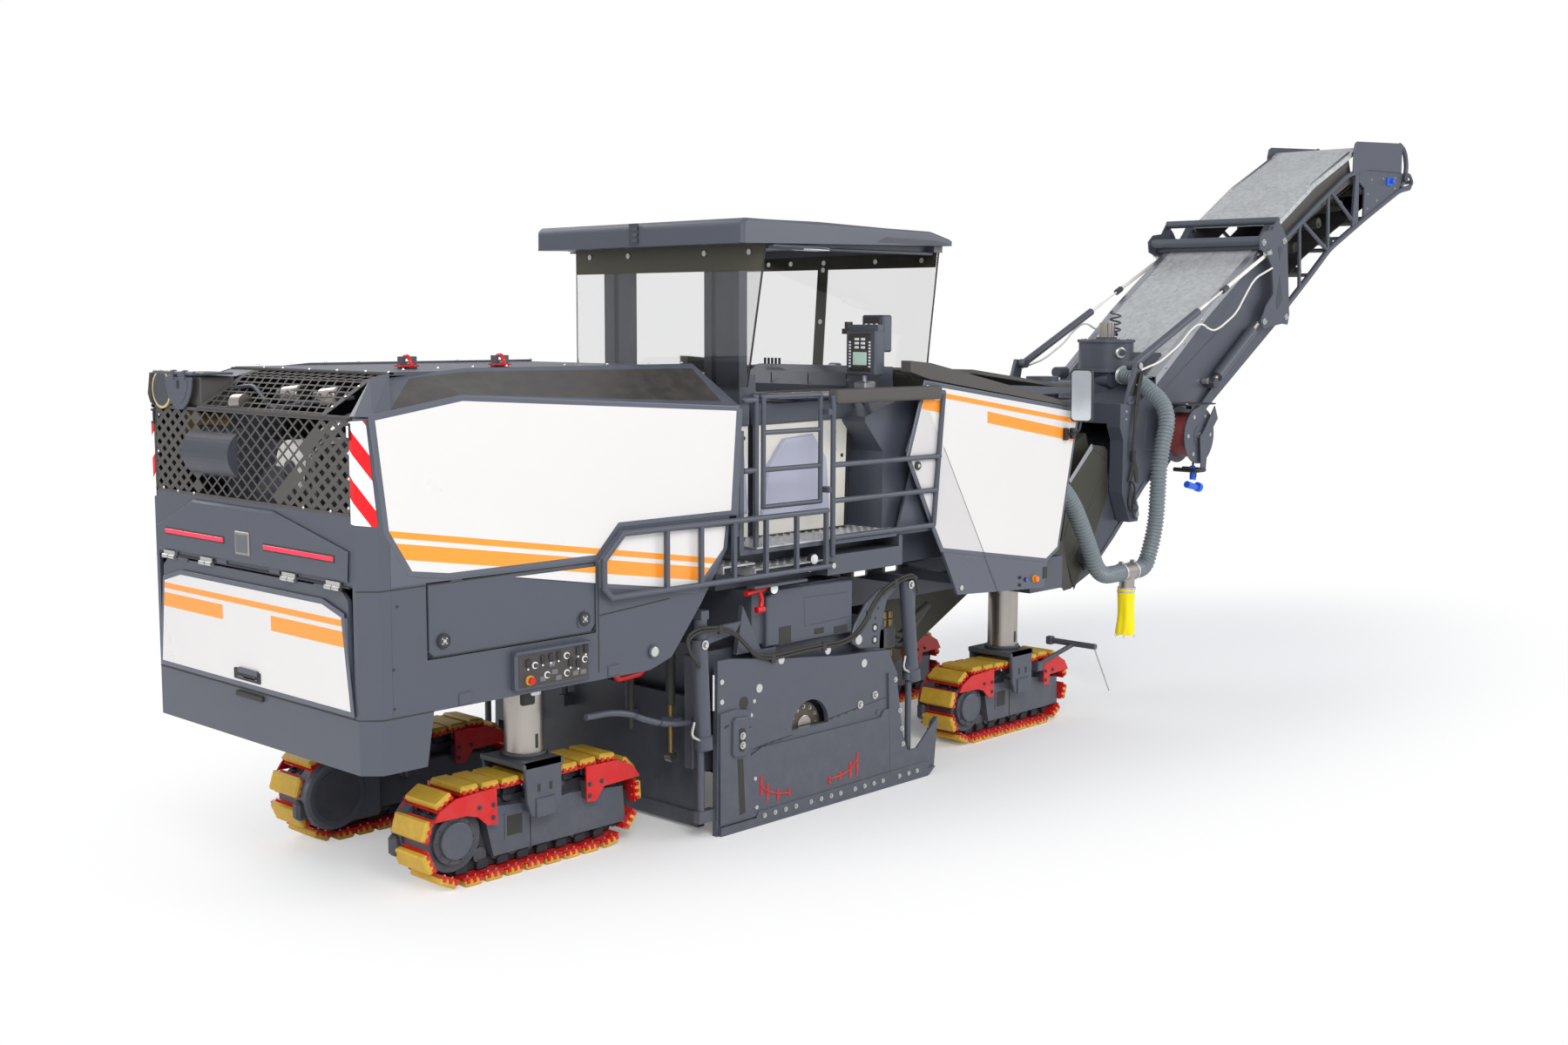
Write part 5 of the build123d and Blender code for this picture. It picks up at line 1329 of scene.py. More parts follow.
# %% Lower conveyor: covers, fold plates, cross tubes, cables
form = bmesh.new()
cover_line = [(9.12, 2.905), (10.04, 3.549), (11.12, 4.218)]
for (xa, za), (xb, zb) in zip(cover_line, cover_line[1:]):
    sheet_between((xa, za), (xb, zb), 0.5, 0.008, 1)
    for s in (-1, 1):
        plate([(xa, za - 0.07), (xb, zb - 0.07), (xb, zb + 0.012), (xa, za + 0.012)], s * 0.532, s * 0.545, 4)
        for t in (0.2, 0.55, 0.9):
            side_bolt(xa + (xb - xa) * t, s * 0.545, za + (zb - za) * t - 0.03, 0.02, 2)
            bolt(spot(xa + (xb - xa) * t, s * 0.45, za + (zb - za) * t + 0.008), UP, 0.009, 2)
for s in (-1, 1):
    face = s * 0.632
    plate([(10.86, 4.16), (10.84, 4.27), (10.93, 4.34), (11.1, 4.36), (11.2, 4.48), (11.33, 4.38),
        (11.42, 4.28), (11.52, 3.5), (11.49, 3.41), (11.38, 3.42), (10.98, 3.37), (10.92, 3.44),
        (11.02, 3.6), (11.16, 3.72), (11.12, 3.98), (11.0, 4.12)], face, face + s * 0.016, 0, 0.005)
    # windows in the fold plates, drawn as dark plates: painted shade seen through them
    plate([(11.22, 4.2), (11.32, 4.2), (11.26, 4.06)], face + s * 0.0155, face + s * 0.0175, 3)
    plate([(11.28, 3.92), (11.36, 3.66), (11.24, 3.56), (11.22, 3.66)], face + s * 0.0155, face + s * 0.0175,
        3)
    for bx, bz in ((10.91, 4.23), (11.34, 4.26), (11.44, 3.49), (10.98, 3.44)):
        bolt(spot(bx, face + s * 0.016, bz), (0, s, 0), 0.034, 2)
    # fold cylinder along the lower edge, with its pin
    turned(spot(10.16, s * 0.6, 2.9), (0.81, 0, 0.54), 0.055, 0.8, sides=24)
    turned(spot(10.06, s * 0.6, 2.84), (0.81, 0, 0.54), 0.026, 1.05, 5, sides=16)
    disc(10.06, s * 0.56, 2.84, 0.05, 0.09, 3, 20)
    disc(9.98, s * 0.545, 2.86, 0.03, 0.06, 2, 16)
    plate([(9.03, 1.97), (9.1, 1.9), (10.95, 3.28), (10.93, 3.4)], s * 0.56, s * 0.575)
for x, z, r in ((10.91, 4.25, 0.046), (11.03, 4.19, 0.036), (11.22, 4.46, 0.04)):
    pipe([(x, -0.64, z), (x, 0.64, z)], r, 0, 0.02, 16)
for s in (-1, 1):
    # bright angle over each edge of the cover
    for (xa, za), (xb, zb) in zip(cover_line, cover_line[1:]):
        plate([(xa, za + 0.009), (xb, zb + 0.009), (xb, zb + 0.014), (xa, za + 0.014)], s * 0.475, s * 0.548,
            4)
    turned(spot(11.02, s * 0.6, 4.12), (0.3, s, 0.3), 0.03, 0.08, 2, sides=16)
    # slanted side crease of the trough
    plate([(9.0, 2.62), (9.13, 2.71), (10.79, 3.64), (10.95, 3.42), (10.6, 3.2), (9.2, 2.22), (8.95, 2.24)],
        s * 0.53, s * 0.538, 0, 0.006)
# lip, neck and drive of the round housing, with its coiled lines
turned(spot(9.1, 0, 3.235), UP, 0.275, 0.028, sides=56, chamfer=0.008)
turned(spot(9.1, 0, 2.955), UP, 0.268, 0.03, sides=56, chamfer=0.008)
turned(spot(9.1, 0, 2.958), DOWN, 0.25, 0.06, sides=56, tip=0.185)
turned(spot(9.1, 0, 3.255), UP, 0.1, 0.03, sides=28)
for place in around(6, 0.05, "z"):
    turned(spot(9.1, 0, 3.28) + place, UP, 0.02, 0.14, 5, sides=8)
turned(spot(9.1, 0, 3.28), UP, 0.052, 0.145, 5, sides=20)
for place in around(12, 0.23, "z"):
    bolt(spot(9.1, 0, 3.26) + place, UP, 0.012, 3)
turned(spot(8.98, -0.215, 3.14), (-0.45, -1, 0), 0.055, 0.05, 2, sides=24, chamfer=0.012)
turned(spot(8.98, -0.235, 3.14), (-0.45, -1, 0), 0.032, 0.045, 3, sides=20)
coil = [spot(9.22, -0.02, 3.3) + Vector((0.055 * cos(a), 0.055 * sin(a), 0.011 * k)) for k,
    a in enumerate([n * pi / 3 for n in range(22)])]
tube_run([spot(9.12, 0, 3.42)] + coil, 0.009, 3, 0.02, 6)
turned(spot(8.86, 0.3, 2.95), BACK, 0.05, 0.16, sides=20)
finish_piece("lower_conveyor_fittings", "conveyor_lower", "grey_paint", "galvanised", "zinc_bolt",
    "dark_frame", "rail_silver", "stainless", "white_cable", slot="steel")
print("lower conveyor fittings")

# %% Pale lines along the stays
form = bmesh.new()
for s in (-1, 1):
    # pale line that hangs below the stay in two bows
    line = [(8.62, 2.98), (9.0, 3.06), (9.35, 3.22), (9.55, 3.37), (9.74, 3.43), (9.9, 3.35), (10.05, 3.36),
        (10.4, 3.52), (10.58, 3.71), (10.75, 3.87), (11.1, 3.98)]
    tube_run([spot(x, s * 0.655, z) for x, z in line], 0.01, 0, 0.1, 8)
pale_lines = finish_piece("stay_lines", None, "white_cable", slot="plain_plastic")
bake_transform(pale_lines)
form = bmesh.new()
for s in (-1, 1):
    for rise in (-0.015, 0.015):
        pipe([(10.28, s * 0.605, 3.768 + rise), (11.08, s * 0.605, 4.12 + rise)], 0.007, 0, 0.02, 6)
    turned(spot(10.2, s * 0.605, 3.733), (1, 0, 0.439), 0.03, 0.1, 1, sides=12, chamfer=0.008)
finish_piece("stay_ropes", "stay_bars", "white_cable", "dark_frame", slot="plain_plastic")
print("stay lines")

# %% Hose reel with its hose and nozzle
form = bmesh.new()
axle = spot(9.38, 0, 2.37)
for y in (-0.65, -0.872):
    turned(axle + Vector((0, y, 0)), LEFT, 0.268, 0.01, sides=48)
    turned(axle + Vector((0, y - 0.004, 0)), LEFT, 0.1, 0.018, sides=32)
    for place in around(6, 0.2):
        turned(axle + place + Vector((0, y - 0.003, 0)), LEFT, 0.02, 0.016, 2, sides=12)
turned(axle + Vector((0, -0.862, 0)), LEFT, 0.19, 0.212, 1, sides=48)
for n in range(13):
    part = bmesh.new()
    bmesh.ops.create_cone(part, cap_ends=False, segments=40, radius1=0.212, radius2=0.212, depth=0.006)
    bmesh.ops.create_cone(part, cap_ends=True, segments=40, radius1=0.205, radius2=0.205, depth=0.0155)
    absorb(part, 1, Matrix.Translation(axle + Vector((0, -0.853 + n * 0.0162, 0))) @ Matrix.Rotation(pi / 2,
        4, "X"))
turned(axle + Vector((0, -0.885, 0)), LEFT, 0.03, 0.03, 2, sides=20)
finish_piece("reel_drum", "reel", "grey_paint", "reel_hose", "zinc_bolt", slot="rubber",
    replaced=["hose_reel"])

form = bmesh.new()
pipe([(9.42, -0.78, 2.18), (9.41, -0.8, 2.12), (9.4, -0.8, 2.06)], 0.012, 4)
plate([(9.34, 2.36), (9.4, 2.4), (9.6, 2.64), (9.66, 2.52), (9.5, 2.36), (9.46, 2.03), (9.38, 2.03)], -0.905,
    -0.893, 0, 0.003)
box((9.1, 9.62), (-0.9, -0.6), (2.655, 2.668), 2)
pipe([(9.3, -0.66, 2.04), (9.3, -0.9, 2.04), (9.46, -0.9, 2.04), (9.46, -0.66, 2.04)], 0.022, 2, 0.03)
for x in (9.12, 9.6):
    box((x - 0.01, x + 0.02), (-0.66, -0.6), (2.6, 2.67))
    bolt(spot(x, -0.88, 2.668), UP, 0.012, 1)
# spray nozzle
nozzle = spot(9.4, -0.8, 2.075)
turned(nozzle, DOWN, 0.026, 0.13, 3, sides=14)
turned(nozzle + Vector((-0.1, 0, -0.17)), (1, -0.12, -0.25), 0.034, 0.17, 3, sides=14, tip=0.028)
turned(nozzle + Vector((0.055, -0.02, -0.2)), (1, -0.12, -0.3), 0.045, 0.04, 3, sides=14)
tube_run([nozzle + Vector((0.03, 0, -0.02)), nozzle + Vector((0.075, 0, -0.07)),
    nozzle + Vector((0.05, 0, -0.14))], 0.008, 3)
finish_piece("reel_bracket", "conveyor_lower", "grey_paint", "zinc_bolt", "black_plastic", "blue_plastic",
    "reel_hose", slot="plain_plastic")
print("hose reel")

# %% Mirrors
form = bmesh.new()
for s in (-1, 1):
    place = spot(6.7, s * 1.335, 2.835)
    lean = Matrix.Translation(place) @ Matrix.Rotation(-s * 0.36, 4, "Z") @ Matrix.Rotation(-0.05, 4, "Y")
    rounded_block((0.062, 0.185, 0.43), 0.026, 3, lean, smooth=True)
    part = bmesh.new()
    bmesh.ops.create_cube(part, size=1.0)
    bmesh.ops.scale(part, vec=(0.006, 0.16, 0.405), verts=part.verts[:])
    upright = [e for e in part.edges if abs(e.verts[0].co.x - e.verts[1].co.x) > 0.001]
    round_edges(part, upright, 0.03, 3)
    absorb(part, 1, lean @ Matrix.Translation((-0.03, 0, 0)))
    pipe([(6.64, s * 1.222, 2.52), (6.64, s * 1.3, 2.52), (6.67, s * 1.335, 2.55), (6.7, s * 1.335, 2.66)],
        0.011, 0, 0.03)
    box((6.595, 6.635), (s * 1.222, s * 1.262), (2.47, 2.57), 0, 0.006)
    box((6.645, 6.69), (s * 1.25, s * 1.29), (2.48, 2.57), 0, 0.006)
finish_piece("side_mirrors", "machine", "black_plastic", "mirror_glass", slot="plain_plastic",
    replaced=["mirrors"])
print("mirrors")

# %% [markdown]
# ## Weather canopy
# The canopy's shell has rounded edges and a notch at the middle of its rear. The panes hang from
# dark bands with round fixings, and the slanted pane edges are dark.

# %% Canopy shell, bands, fixings
form = bmesh.new()
part = bmesh.new()
shell = [(3.046, 3.937), (3.046, 4.075), (3.075, 4.104), (5.05, 4.089), (5.294, 4.036), (5.294, 3.995),
    (5.05, 3.985)]
face = part.faces.new([part.verts.new(spot(x, -1.079, z)) for x, z in shell])
grown = bmesh.ops.extrude_face_region(part, geom=[face])["geom"]
bmesh.ops.translate(part, vec=(0, 2.158, 0), verts=only(grown, "BMVert"))
bmesh.ops.recalc_face_normals(part, faces=part.faces[:])
upper = [e for e in part.edges if sum(v.co.z for v in e.verts) / 2 > 4.0]
round_edges(part, upper, 0.022, 3)
absorb(part, 0)
box((3.04, 3.05), (-0.045, 0.045), (3.95, 4.1), 2)
for z in (3.97, 4.01, 4.05):
    box((3.036, 3.05), (-0.045, 0.01), (z, z + 0.02))
for s in (-1, 1):
    plate([(4.42, 3.99), (4.52, 4.028), (5.1, 4.022), (5.27, 4.0), (5.27, 3.997), (5.05, 3.987)], s * 1.078,
        s * 1.0815, 2)
    box((3.35, 3.9), (s * 1.0, s * 1.07), (3.925, 3.938), 0, 0.004)
    box((3.75, 4.02), (s * 0.86, s * 0.98), (3.915, 3.937), 4, 0.004)
finish_piece("canopy_shell", "canopy", "grey_paint", "canopy_band", "dark_frame", "zinc_bolt", "white_lens")

form = bmesh.new()
rear_pane, lean = 3.352, (5.212 - 5.09) / (3.94 - 3.0)


def front_pane(y, z, proud=0.0):
    return spot(5.092 + (z - 3.0) * lean + proud, y, z)


cut_plate([spot(rear_pane, 0.99, 3.765), spot(rear_pane, 0.99, 3.94), spot(rear_pane, -0.99, 3.94),
    spot(rear_pane, -0.957, 3.765)], (-0.003, 0, 0))
for y in (0.83, 0.4, -0.4, -0.84):
    turned(spot(rear_pane - 0.003, y, 3.892), BACK, 0.02, 0.006, 2, sides=20)
    turned(spot(rear_pane + 0.003, y, 3.892), AHEAD, 0.02, 0.006, 2, sides=20)
pipe([(rear_pane, -0.992, 3.94), (rear_pane, -0.815, 2.97)], 0.005, 1)
pipe([(rear_pane, 0.992, 3.94), (rear_pane, 0.992, 2.97)], 0.004, 1)
cut_plate([front_pane(1.0, 3.83), front_pane(1.0, 3.945), front_pane(-1.0, 3.945), front_pane(-1.0, 3.83)],
    (-0.004, 0, 0))
cut_plate([front_pane(0.05, 3.01), front_pane(0.09, 3.85), front_pane(0.2, 3.85), front_pane(0.16, 3.01)],
    (-0.005, 0, 0))
cut_plate([front_pane(0.95, 3.0), front_pane(0.95, 3.03), front_pane(-0.96, 3.03), front_pane(-0.96, 3.0)],
    (-0.005, 0, 0))
for y, z in ((0.75, 3.885), (0.14, 3.885), (-0.4, 3.885), (-0.86, 3.885), (0.14, 3.83), (0.12, 3.42),
        (0.11, 3.05), (0.5, 3.885)):
    turned(front_pane(y, z, -0.006), BACK, 0.02, 0.006, 2, sides=20)
    turned(front_pane(y, z, 0.004), AHEAD, 0.02, 0.006, 2, sides=20)
tube_run([front_pane(-1.012, 3.94), front_pane(-1.0, 3.02)], 0.005, 1)
tube_run([front_pane(1.012, 3.94), front_pane(1.0, 3.02)], 0.005, 1)
for s in (-1, 1):
    pipe([(3.4, s * 0.96, 3.925), (5.16, s * 0.985, 3.93)], 0.014, 3)
finish_piece("canopy_bands", "canopy", "canopy_band", "black_rubber", "zinc_bolt", "grey_paint",
    slot="dark_panel")
print("canopy")

# %% [markdown]
# ## Operator's platform
# The platform has studded metal steps, cream inner walls with moulded lilac housings round the
# seat bases, a dash with two control boxes, and a padded top rail.

# %% Inner walls, steps, dash and control boxes
form = bmesh.new()
for s in (-1, 1):
    y = s * 0.845
    # two panels; the gap between them lets the rear pane of the canopy come down
    plate([(2.96, 1.93), (2.96, 2.7), (3.325, 2.705), (3.325, 1.93)], y, y + s * 0.012, 0, 0.004)
    plate([(3.385, 1.93), (3.385, 2.705), (4.36, 2.72), (4.33, 1.93)], y, y + s * 0.012, 0, 0.004)
    plate([(2.95, 2.7), (2.95, 2.85), (3.325, 2.855), (3.325, 2.705)], y - s * 0.02, y + s * 0.03, 2, 0.01)
    plate([(3.385, 2.705), (3.385, 2.855), (4.4, 2.87), (4.4, 2.72)], y - s * 0.02, y + s * 0.03, 2, 0.01)
    plate([(3.43, 2.05), (3.5, 2.42), (3.66, 2.6), (3.96, 2.62), (4.1, 2.45), (4.14, 2.05)], y + s * 0.012,
        y + s * 0.05, 1, 0.02, 2)
    plate([(2.98, 2.1), (3.0, 2.45), (3.1, 2.55), (3.26, 2.5), (3.3, 2.1)], y + s * 0.012, y + s * 0.05, 1,
        0.02, 2)
    plate([(4.33, 1.93), (4.36, 2.6), (4.4, 2.6), (4.37, 1.93)], y - s * 0.1, y + s * 0.016, 3)
    for bx, bz in ((3.28, 2.62), (4.22, 2.62), (4.22, 2.5), (4.3, 2.45)):
        disc(bx, y + s * 0.012, bz, 0.014, 0.004, 3, 14)
    # dark seat console and lever bracket ahead of the seat
    box((4.6, 4.86), (s * 0.5, s * 0.62), (2.55, 2.66), 3, 0.01)
    turned(spot(4.6, s * 0.7, 2.5), AHEAD, 0.026, 0.42, 4, sides=16)
    plate([(4.78, 2.1), (4.74, 2.3), (4.8, 2.58), (4.92, 2.58), (4.9, 2.3), (4.96, 2.1)], s * 0.68, s * 0.75,
        2, 0.006)
    pipe([(4.66, s * 0.74, 2.4), (4.7, s * 0.76, 2.1), (4.86, s * 0.76, 2.06), (4.92, s * 0.74, 2.36)],
        0.016, 3, 0.08)
    # grey wedge behind the railing, against the front body
    plate([(4.93, 1.93), (4.78, 2.45), (4.98, 2.8), (5.02, 2.8), (5.02, 1.93)], s * 0.95, s * 0.985, 2)
finish_piece("platform_walls", "machine", "cream_panel", "lilac_panel", "grey_paint", "black_plastic",
    "cream_panel")

form = bmesh.new()
for s in (-1, 1):
    low, high = s * 0.72, s * 1.2
    box((3.06, 4.6), (low, high), (1.902, 1.912))
    low, high = s * 0.8, s * 1.19
    for x0, x1, z in ((2.75, 3.05, 1.8), (3.05, 3.74, 1.755)):
        box((x0, x1), (low, high), (z, z + 0.012))
        box((x0, x0 + 0.012), (low, high), (z - 0.04, z))
    for x in [3.1 + 0.075 * n for n in range(20)]:
        for y in [0.78 + 0.07 * n for n in range(6)]:
            turned(spot(x, s * y, 1.912), UP, 0.017, 0.008, sides=10, tip=0.008)
    for x in [2.8 + 0.075 * n for n in range(13)]:
        for y in [0.85 + 0.07 * n for n in range(5)]:
            turned(spot(x, s * y, 1.812 if x < 3.05 else 1.767), UP, 0.017, 0.008, sides=10, tip=0.008)
finish_piece("studded_steps", "machine", "galvanised", slot="steel")

form = bmesh.new()
# display box with keys at both sides of a screen, and the smaller box behind it
box((4.45, 4.56), (-0.755, -1.045), (3.03, 3.36), 0, 0.012)
box((4.443, 4.455), (-0.79, -1.01), (3.06, 3.335), 1, 0.004)
box((4.438, 4.446), (-0.835, -0.965), (3.105, 3.2), 2, 0.002)
for n in range(9):
    for y in (0.805, 0.995):
        box((4.438, 4.446), (-y - 0.008, -y + 0.008), (3.09 + n * 0.022, 3.102 + n * 0.022), 3)
for row in range(3):
    for col in range(2):
        y = -0.87 - col * 0.06
        box((4.437, 4.446), (y - 0.02, y + 0.02), (3.225 + row * 0.03, 3.243 + row * 0.03), 3, 0.003)
for n in range(5):
    y = -0.82 - n * 0.04
    box((4.438, 4.446), (y - 0.012, y + 0.012), (3.068, 3.088), 4)
box((4.54, 4.64), (-0.83, -1.045), (3.2, 3.47), 0, 0.012)
box((4.533, 4.545), (-0.86, -1.015), (3.37, 3.455), 1, 0.004)
for n in range(3):
    y = -0.885 - n * 0.05
    turned(spot(4.533, y, 3.395), BACK, 0.014, 0.008, 3, sides=12)
turned(spot(4.5, -0.74, 3.36), UP, 0.03, 0.06, 1, sides=16)
box((4.47, 4.53), (-0.7, -0.76), (3.33, 3.37), 1)
# arms and clamps below the boxes
pipe([(4.5, -0.9, 3.03), (4.5, -0.9, 2.94), (4.62, -0.8, 2.88)], 0.02, 5, 0.03)
box((4.44, 4.56), (-0.84, -0.96), (2.93, 2.985), 5, 0.01)
for s in (-1, 1):
    # silver padded shelf behind the box, over the seat console
    low, high = sorted((s * 0.62, s * 0.98))
    box((3.5, 4.44), (low, high), (2.885, 2.925), 5, 0.012)
    for n in range(4):
        box((3.58 + n * 0.2, 3.72 + n * 0.2), (low + 0.08, high - 0.06), (2.924, 2.93), 1, 0.003)
finish_piece("control_boxes", "machine", "grey_paint", "brown_screen", "screen_glow", "white_lens",
    "black_plastic", "rail_silver")

form = bmesh.new()
dash = [(4.86, 2.86), (4.86, 2.93), (4.92, 3.03), (5.02, 3.08), (5.06, 3.08), (5.07, 2.86)]
cut_plate([spot(x, -0.7, z) for x, z in dash], (0, 1.4, 0), 0, 0.01)
for y in (-0.4, 0.0, 0.4):
    box((4.862, 4.868), (y - 0.003, y + 0.003), (2.9, 3.02), 1)
box((4.82, 4.9), (-0.72, 0.72), (2.8, 2.86), 0, 0.012)
box((4.7, 4.84), (-0.62, 0.62), (2.72, 2.8), 0, 0.012)
for n in range(5):
    turned(spot(4.98, 0.42 + n * 0.04, 3.08), UP, 0.01, 0.05, 1, sides=10)
finish_piece("dash", "machine", "grey_paint", "black_plastic")
print("platform")

# %% Padded top rails
form = bmesh.new()
for s in (-1, 1):
    rounded_block((1.17, 0.1, 0.1), 0.022, 2, Matrix.Translation(spot(4.36, s * 1.235, 2.905)))
rail_pads = finish_piece("rail_pads", "machine", "matte_deck", slot="rubber")
print("padded rails")

# %% [markdown]
# ## Side plates of the milling drum
# The side plates slide up and down on the drum housing. They carry bolts, a keyhole, slotted
# guides, a row of wear-strip bolts, and red marks that show where the drum cuts.

# %% Side plate details
form = bmesh.new()
y = -1.2
for bx, bz in ((3.299, 1.115), (3.777, 1.117), (4.172, 0.968), (3.083, 0.95), (4.292, 0.716), (4.127, 0.671),
        (3.026, 0.337), (3.042, 0.134)):
    # the bolts near the upper edge are flat, because they slide up behind the hoses
    if bz > 0.9:
        disc(bx, y, bz, 0.03, 0.004, 1, 24)
    else:
        side_bolt(bx, y, bz, 0.03, 1)
for bx, bz in ((3.035, 0.868), (3.006, 0.776)):
    disc(bx, y, bz, 0.014, 0.004, 1, 16)
wear = (3.11, 3.215, 3.319, 3.425, 3.579, 3.686, 3.792, 3.893, 4.05, 4.157, 4.26, 4.362, 4.553, 4.661, 4.76)
low_y = -1.214                  # face of the thicker lower plate
plate([(3.02, 0.018), (3.06, 0.1), (4.86, 0.118), (4.93, 0.1), (4.88, 0.018)], low_y, -1.227, 0, 0.004)
for x in wear:
    side_bolt(x, -1.227, 0.066, 0.018, 1)
for marks, line in ((((3.089, 0.204, 0.344), (3.15, 0.157, 0.281), (3.253, 0.14, 0.22),
        (3.368, 0.146, 0.205)), ((3.089, 0.267), (3.15, 0.224), (3.253, 0.186),
        (3.368, 0.17))), (((3.786, 0.15, 0.211), (3.898, 0.156, 0.222), (4.01, 0.15, 0.274),
        (4.087, 0.153, 0.327)), ((3.786, 0.185), (3.898, 0.189), (4.01, 0.215), (4.087, 0.275)))):
    for x, low, high in marks:
        box((x - 0.008, x + 0.008), (low_y - 0.004, low_y), (low, high), 2)
    tube_run([spot(x, low_y - 0.001, z) for x, z in line], 0.007, 2, 0.03, 8)
# keyhole, a black disc and plate: painted shade in the hole
disc(2.935, y + 0.001, 0.872, 0.043, 0.003, 3, 28)
plate([(2.912, 0.86), (2.955, 0.86), (2.972, 0.7), (2.935, 0.74)], y, y - 0.0025, 3)
# rear guide: raised strip with a slotted block and the open slot below it; the slots are black plates of
# painted shade
plate([(2.7, 0.835), (2.83, 0.845), (2.99, 0.82), (2.985, 0.09), (2.7, 0.075)], y, low_y - 0.004, 0, 0.003)
plate([(2.806, 0.77), (2.83, 0.79), (2.94, 0.778), (2.952, 0.76), (2.948, 0.54), (2.91, 0.515), (2.82, 0.52),
    (2.802, 0.545)], low_y - 0.004, -1.236, 0, 0.008, 2)
plate([(2.856, 0.7), (2.868, 0.715), (2.905, 0.71), (2.914, 0.695), (2.908, 0.565), (2.89, 0.552),
    (2.868, 0.556), (2.858, 0.57)], -1.236, -1.239, 3)
for z in (0.661, 0.597):
    side_bolt(2.884, -1.238, z, 0.026, 1)
plate([(2.857, 0.5), (2.91, 0.498), (2.934, 0.12), (2.88, 0.112)], low_y - 0.004, low_y - 0.0055, 3)
plate([(2.735, 0.745), (2.775, 0.755), (2.775, 0.74), (2.735, 0.73)], low_y - 0.004, low_y - 0.006, 3)
# slotted block above the rear guide
plate([(2.694, 1.11), (2.75, 1.115), (2.755, 0.85), (2.7, 0.84)], y + 0.004, y - 0.002, 0, 0.001)
for z in (1.045, 0.91):
    disc(2.728, y - 0.001, z, 0.018, 0.003, 1, 16)
turned(spot(2.668, y + 0.02, 0.86), UP, 0.012, 0.24, 4, sides=14)
# front lug
plate([(4.432, 0.859), (4.525, 0.823), (4.602, 0.388), (4.663, 0.24), (4.77, 0.236), (5.007, 0.427),
    (4.93, 0.06), (4.46, 0.1)], y, y - 0.018, 0, 0.004)
for bx, bz in ((4.505, 0.8), (4.56, 0.56), (4.585, 0.42), (4.6, 0.3)):
    side_bolt(bx, y - 0.018, bz, 0.02, 1)
disc(4.33, y, 0.58, 0.02, 0.006, 0, 16)
# upper seam with hooks, and the step towards the lower plate
for x, z in ((3.06, 0.545), (3.12, 0.55), (3.19, 0.556), (3.27, 0.562), (3.8, 0.62), (3.88, 0.628),
        (3.96, 0.636), (4.05, 0.645)):
    plate([(x, z), (x + 0.045, z + 0.006), (x + 0.02, z - 0.012)], y, y - 0.002, 3)
plate([(3.02, 0.536), (3.42, 0.568), (3.42, 0.573), (3.02, 0.541)], y, y - 0.0015, 3)
plate([(3.76, 0.616), (4.42, 0.675), (4.42, 0.68), (3.76, 0.621)], y, y - 0.0015, 3)
right_form = form
for side, s in SIDES:
    form = right_form.copy()
    if s > 0:
        flipped(form)
    finish_piece(f"edge_plate_details_{side}", f"edge_plate_{side}", "grey_paint", "zinc_bolt", "red_paint",
        "black_rubber", "chrome_rod")
print("side plate details")

# %% Drum housing, lift cylinders, hoses, lights and boxes above the side plates
form = bmesh.new()
y = -1.13
plate([(3.213, 1.554), (3.213, 1.208), (3.443, 1.2), (4.096, 1.2), (4.1, 1.585), (3.3, 1.6)], y + 0.03,
    y - 0.02, 0, 0.01)
plate([(3.573, 1.516), (4.048, 1.505), (4.078, 1.313), (3.584, 1.298)], y - 0.01, y - 0.025, 0, 0.01)
box((3.33, 3.45), (y - 0.022, y - 0.016), (1.205, 1.33), 3)
box((3.9, 4.04), (y - 0.022, y - 0.016), (1.215, 1.265), 3)
box((3.69, 3.79), (y - 0.025, y - 0.016), (1.235, 1.275), 3, 0.004)
# curved arm with holes, in front of the cover box
plate([(4.174, 1.067), (4.096, 1.114), (4.09, 1.17), (4.128, 1.25), (4.258, 1.4), (4.391, 1.475),
    (4.666, 1.512), (4.484, 1.39), (4.42, 1.2), (4.398, 1.044)], -1.13, -1.152, 0, 0.006)
disc(4.165, -1.151, 1.135, 0.036, 0.004, 1, 20)
for bx, bz in ((4.34, 1.4), (4.38, 1.34), (4.35, 1.27)):
    disc(bx, -1.152, bz, 0.01, 0.002, 3, 12)
for bz in (1.2, 1.11):
    disc(4.345, -1.151, bz, 0.034, 0.002, 3, 24)
    disc(4.345, -1.151, bz, 0.018, 0.004, 1, 16)
# silver valve block in front of the arm
box((4.5, 4.7), (-1.06, -0.96), (1.0, 1.16), 5, 0.01)
for n in range(3):
    for z in (1.16, 1.22, 0.93):
        turned(spot(4.53 + n * 0.07, -1.02, z), UP, 0.022, 0.05, 6, sides=12)
    pipe([(4.53 + n * 0.07, -1.02, 0.95), (4.5 + n * 0.07, -1.0, 0.86), (4.4, -0.98, 0.82)], 0.014, 3)
for z in (1.02, 1.1):
    pipe([(4.72, -1.0, z), (4.85, -0.98, z - 0.06), (5.0, -0.95, z + 0.05), (5.25, -0.92, 1.24)], 0.028, 3,
        0.08)
box((4.84, 4.9), (-1.06, -0.98), (0.88, 0.98), 7, 0.01)
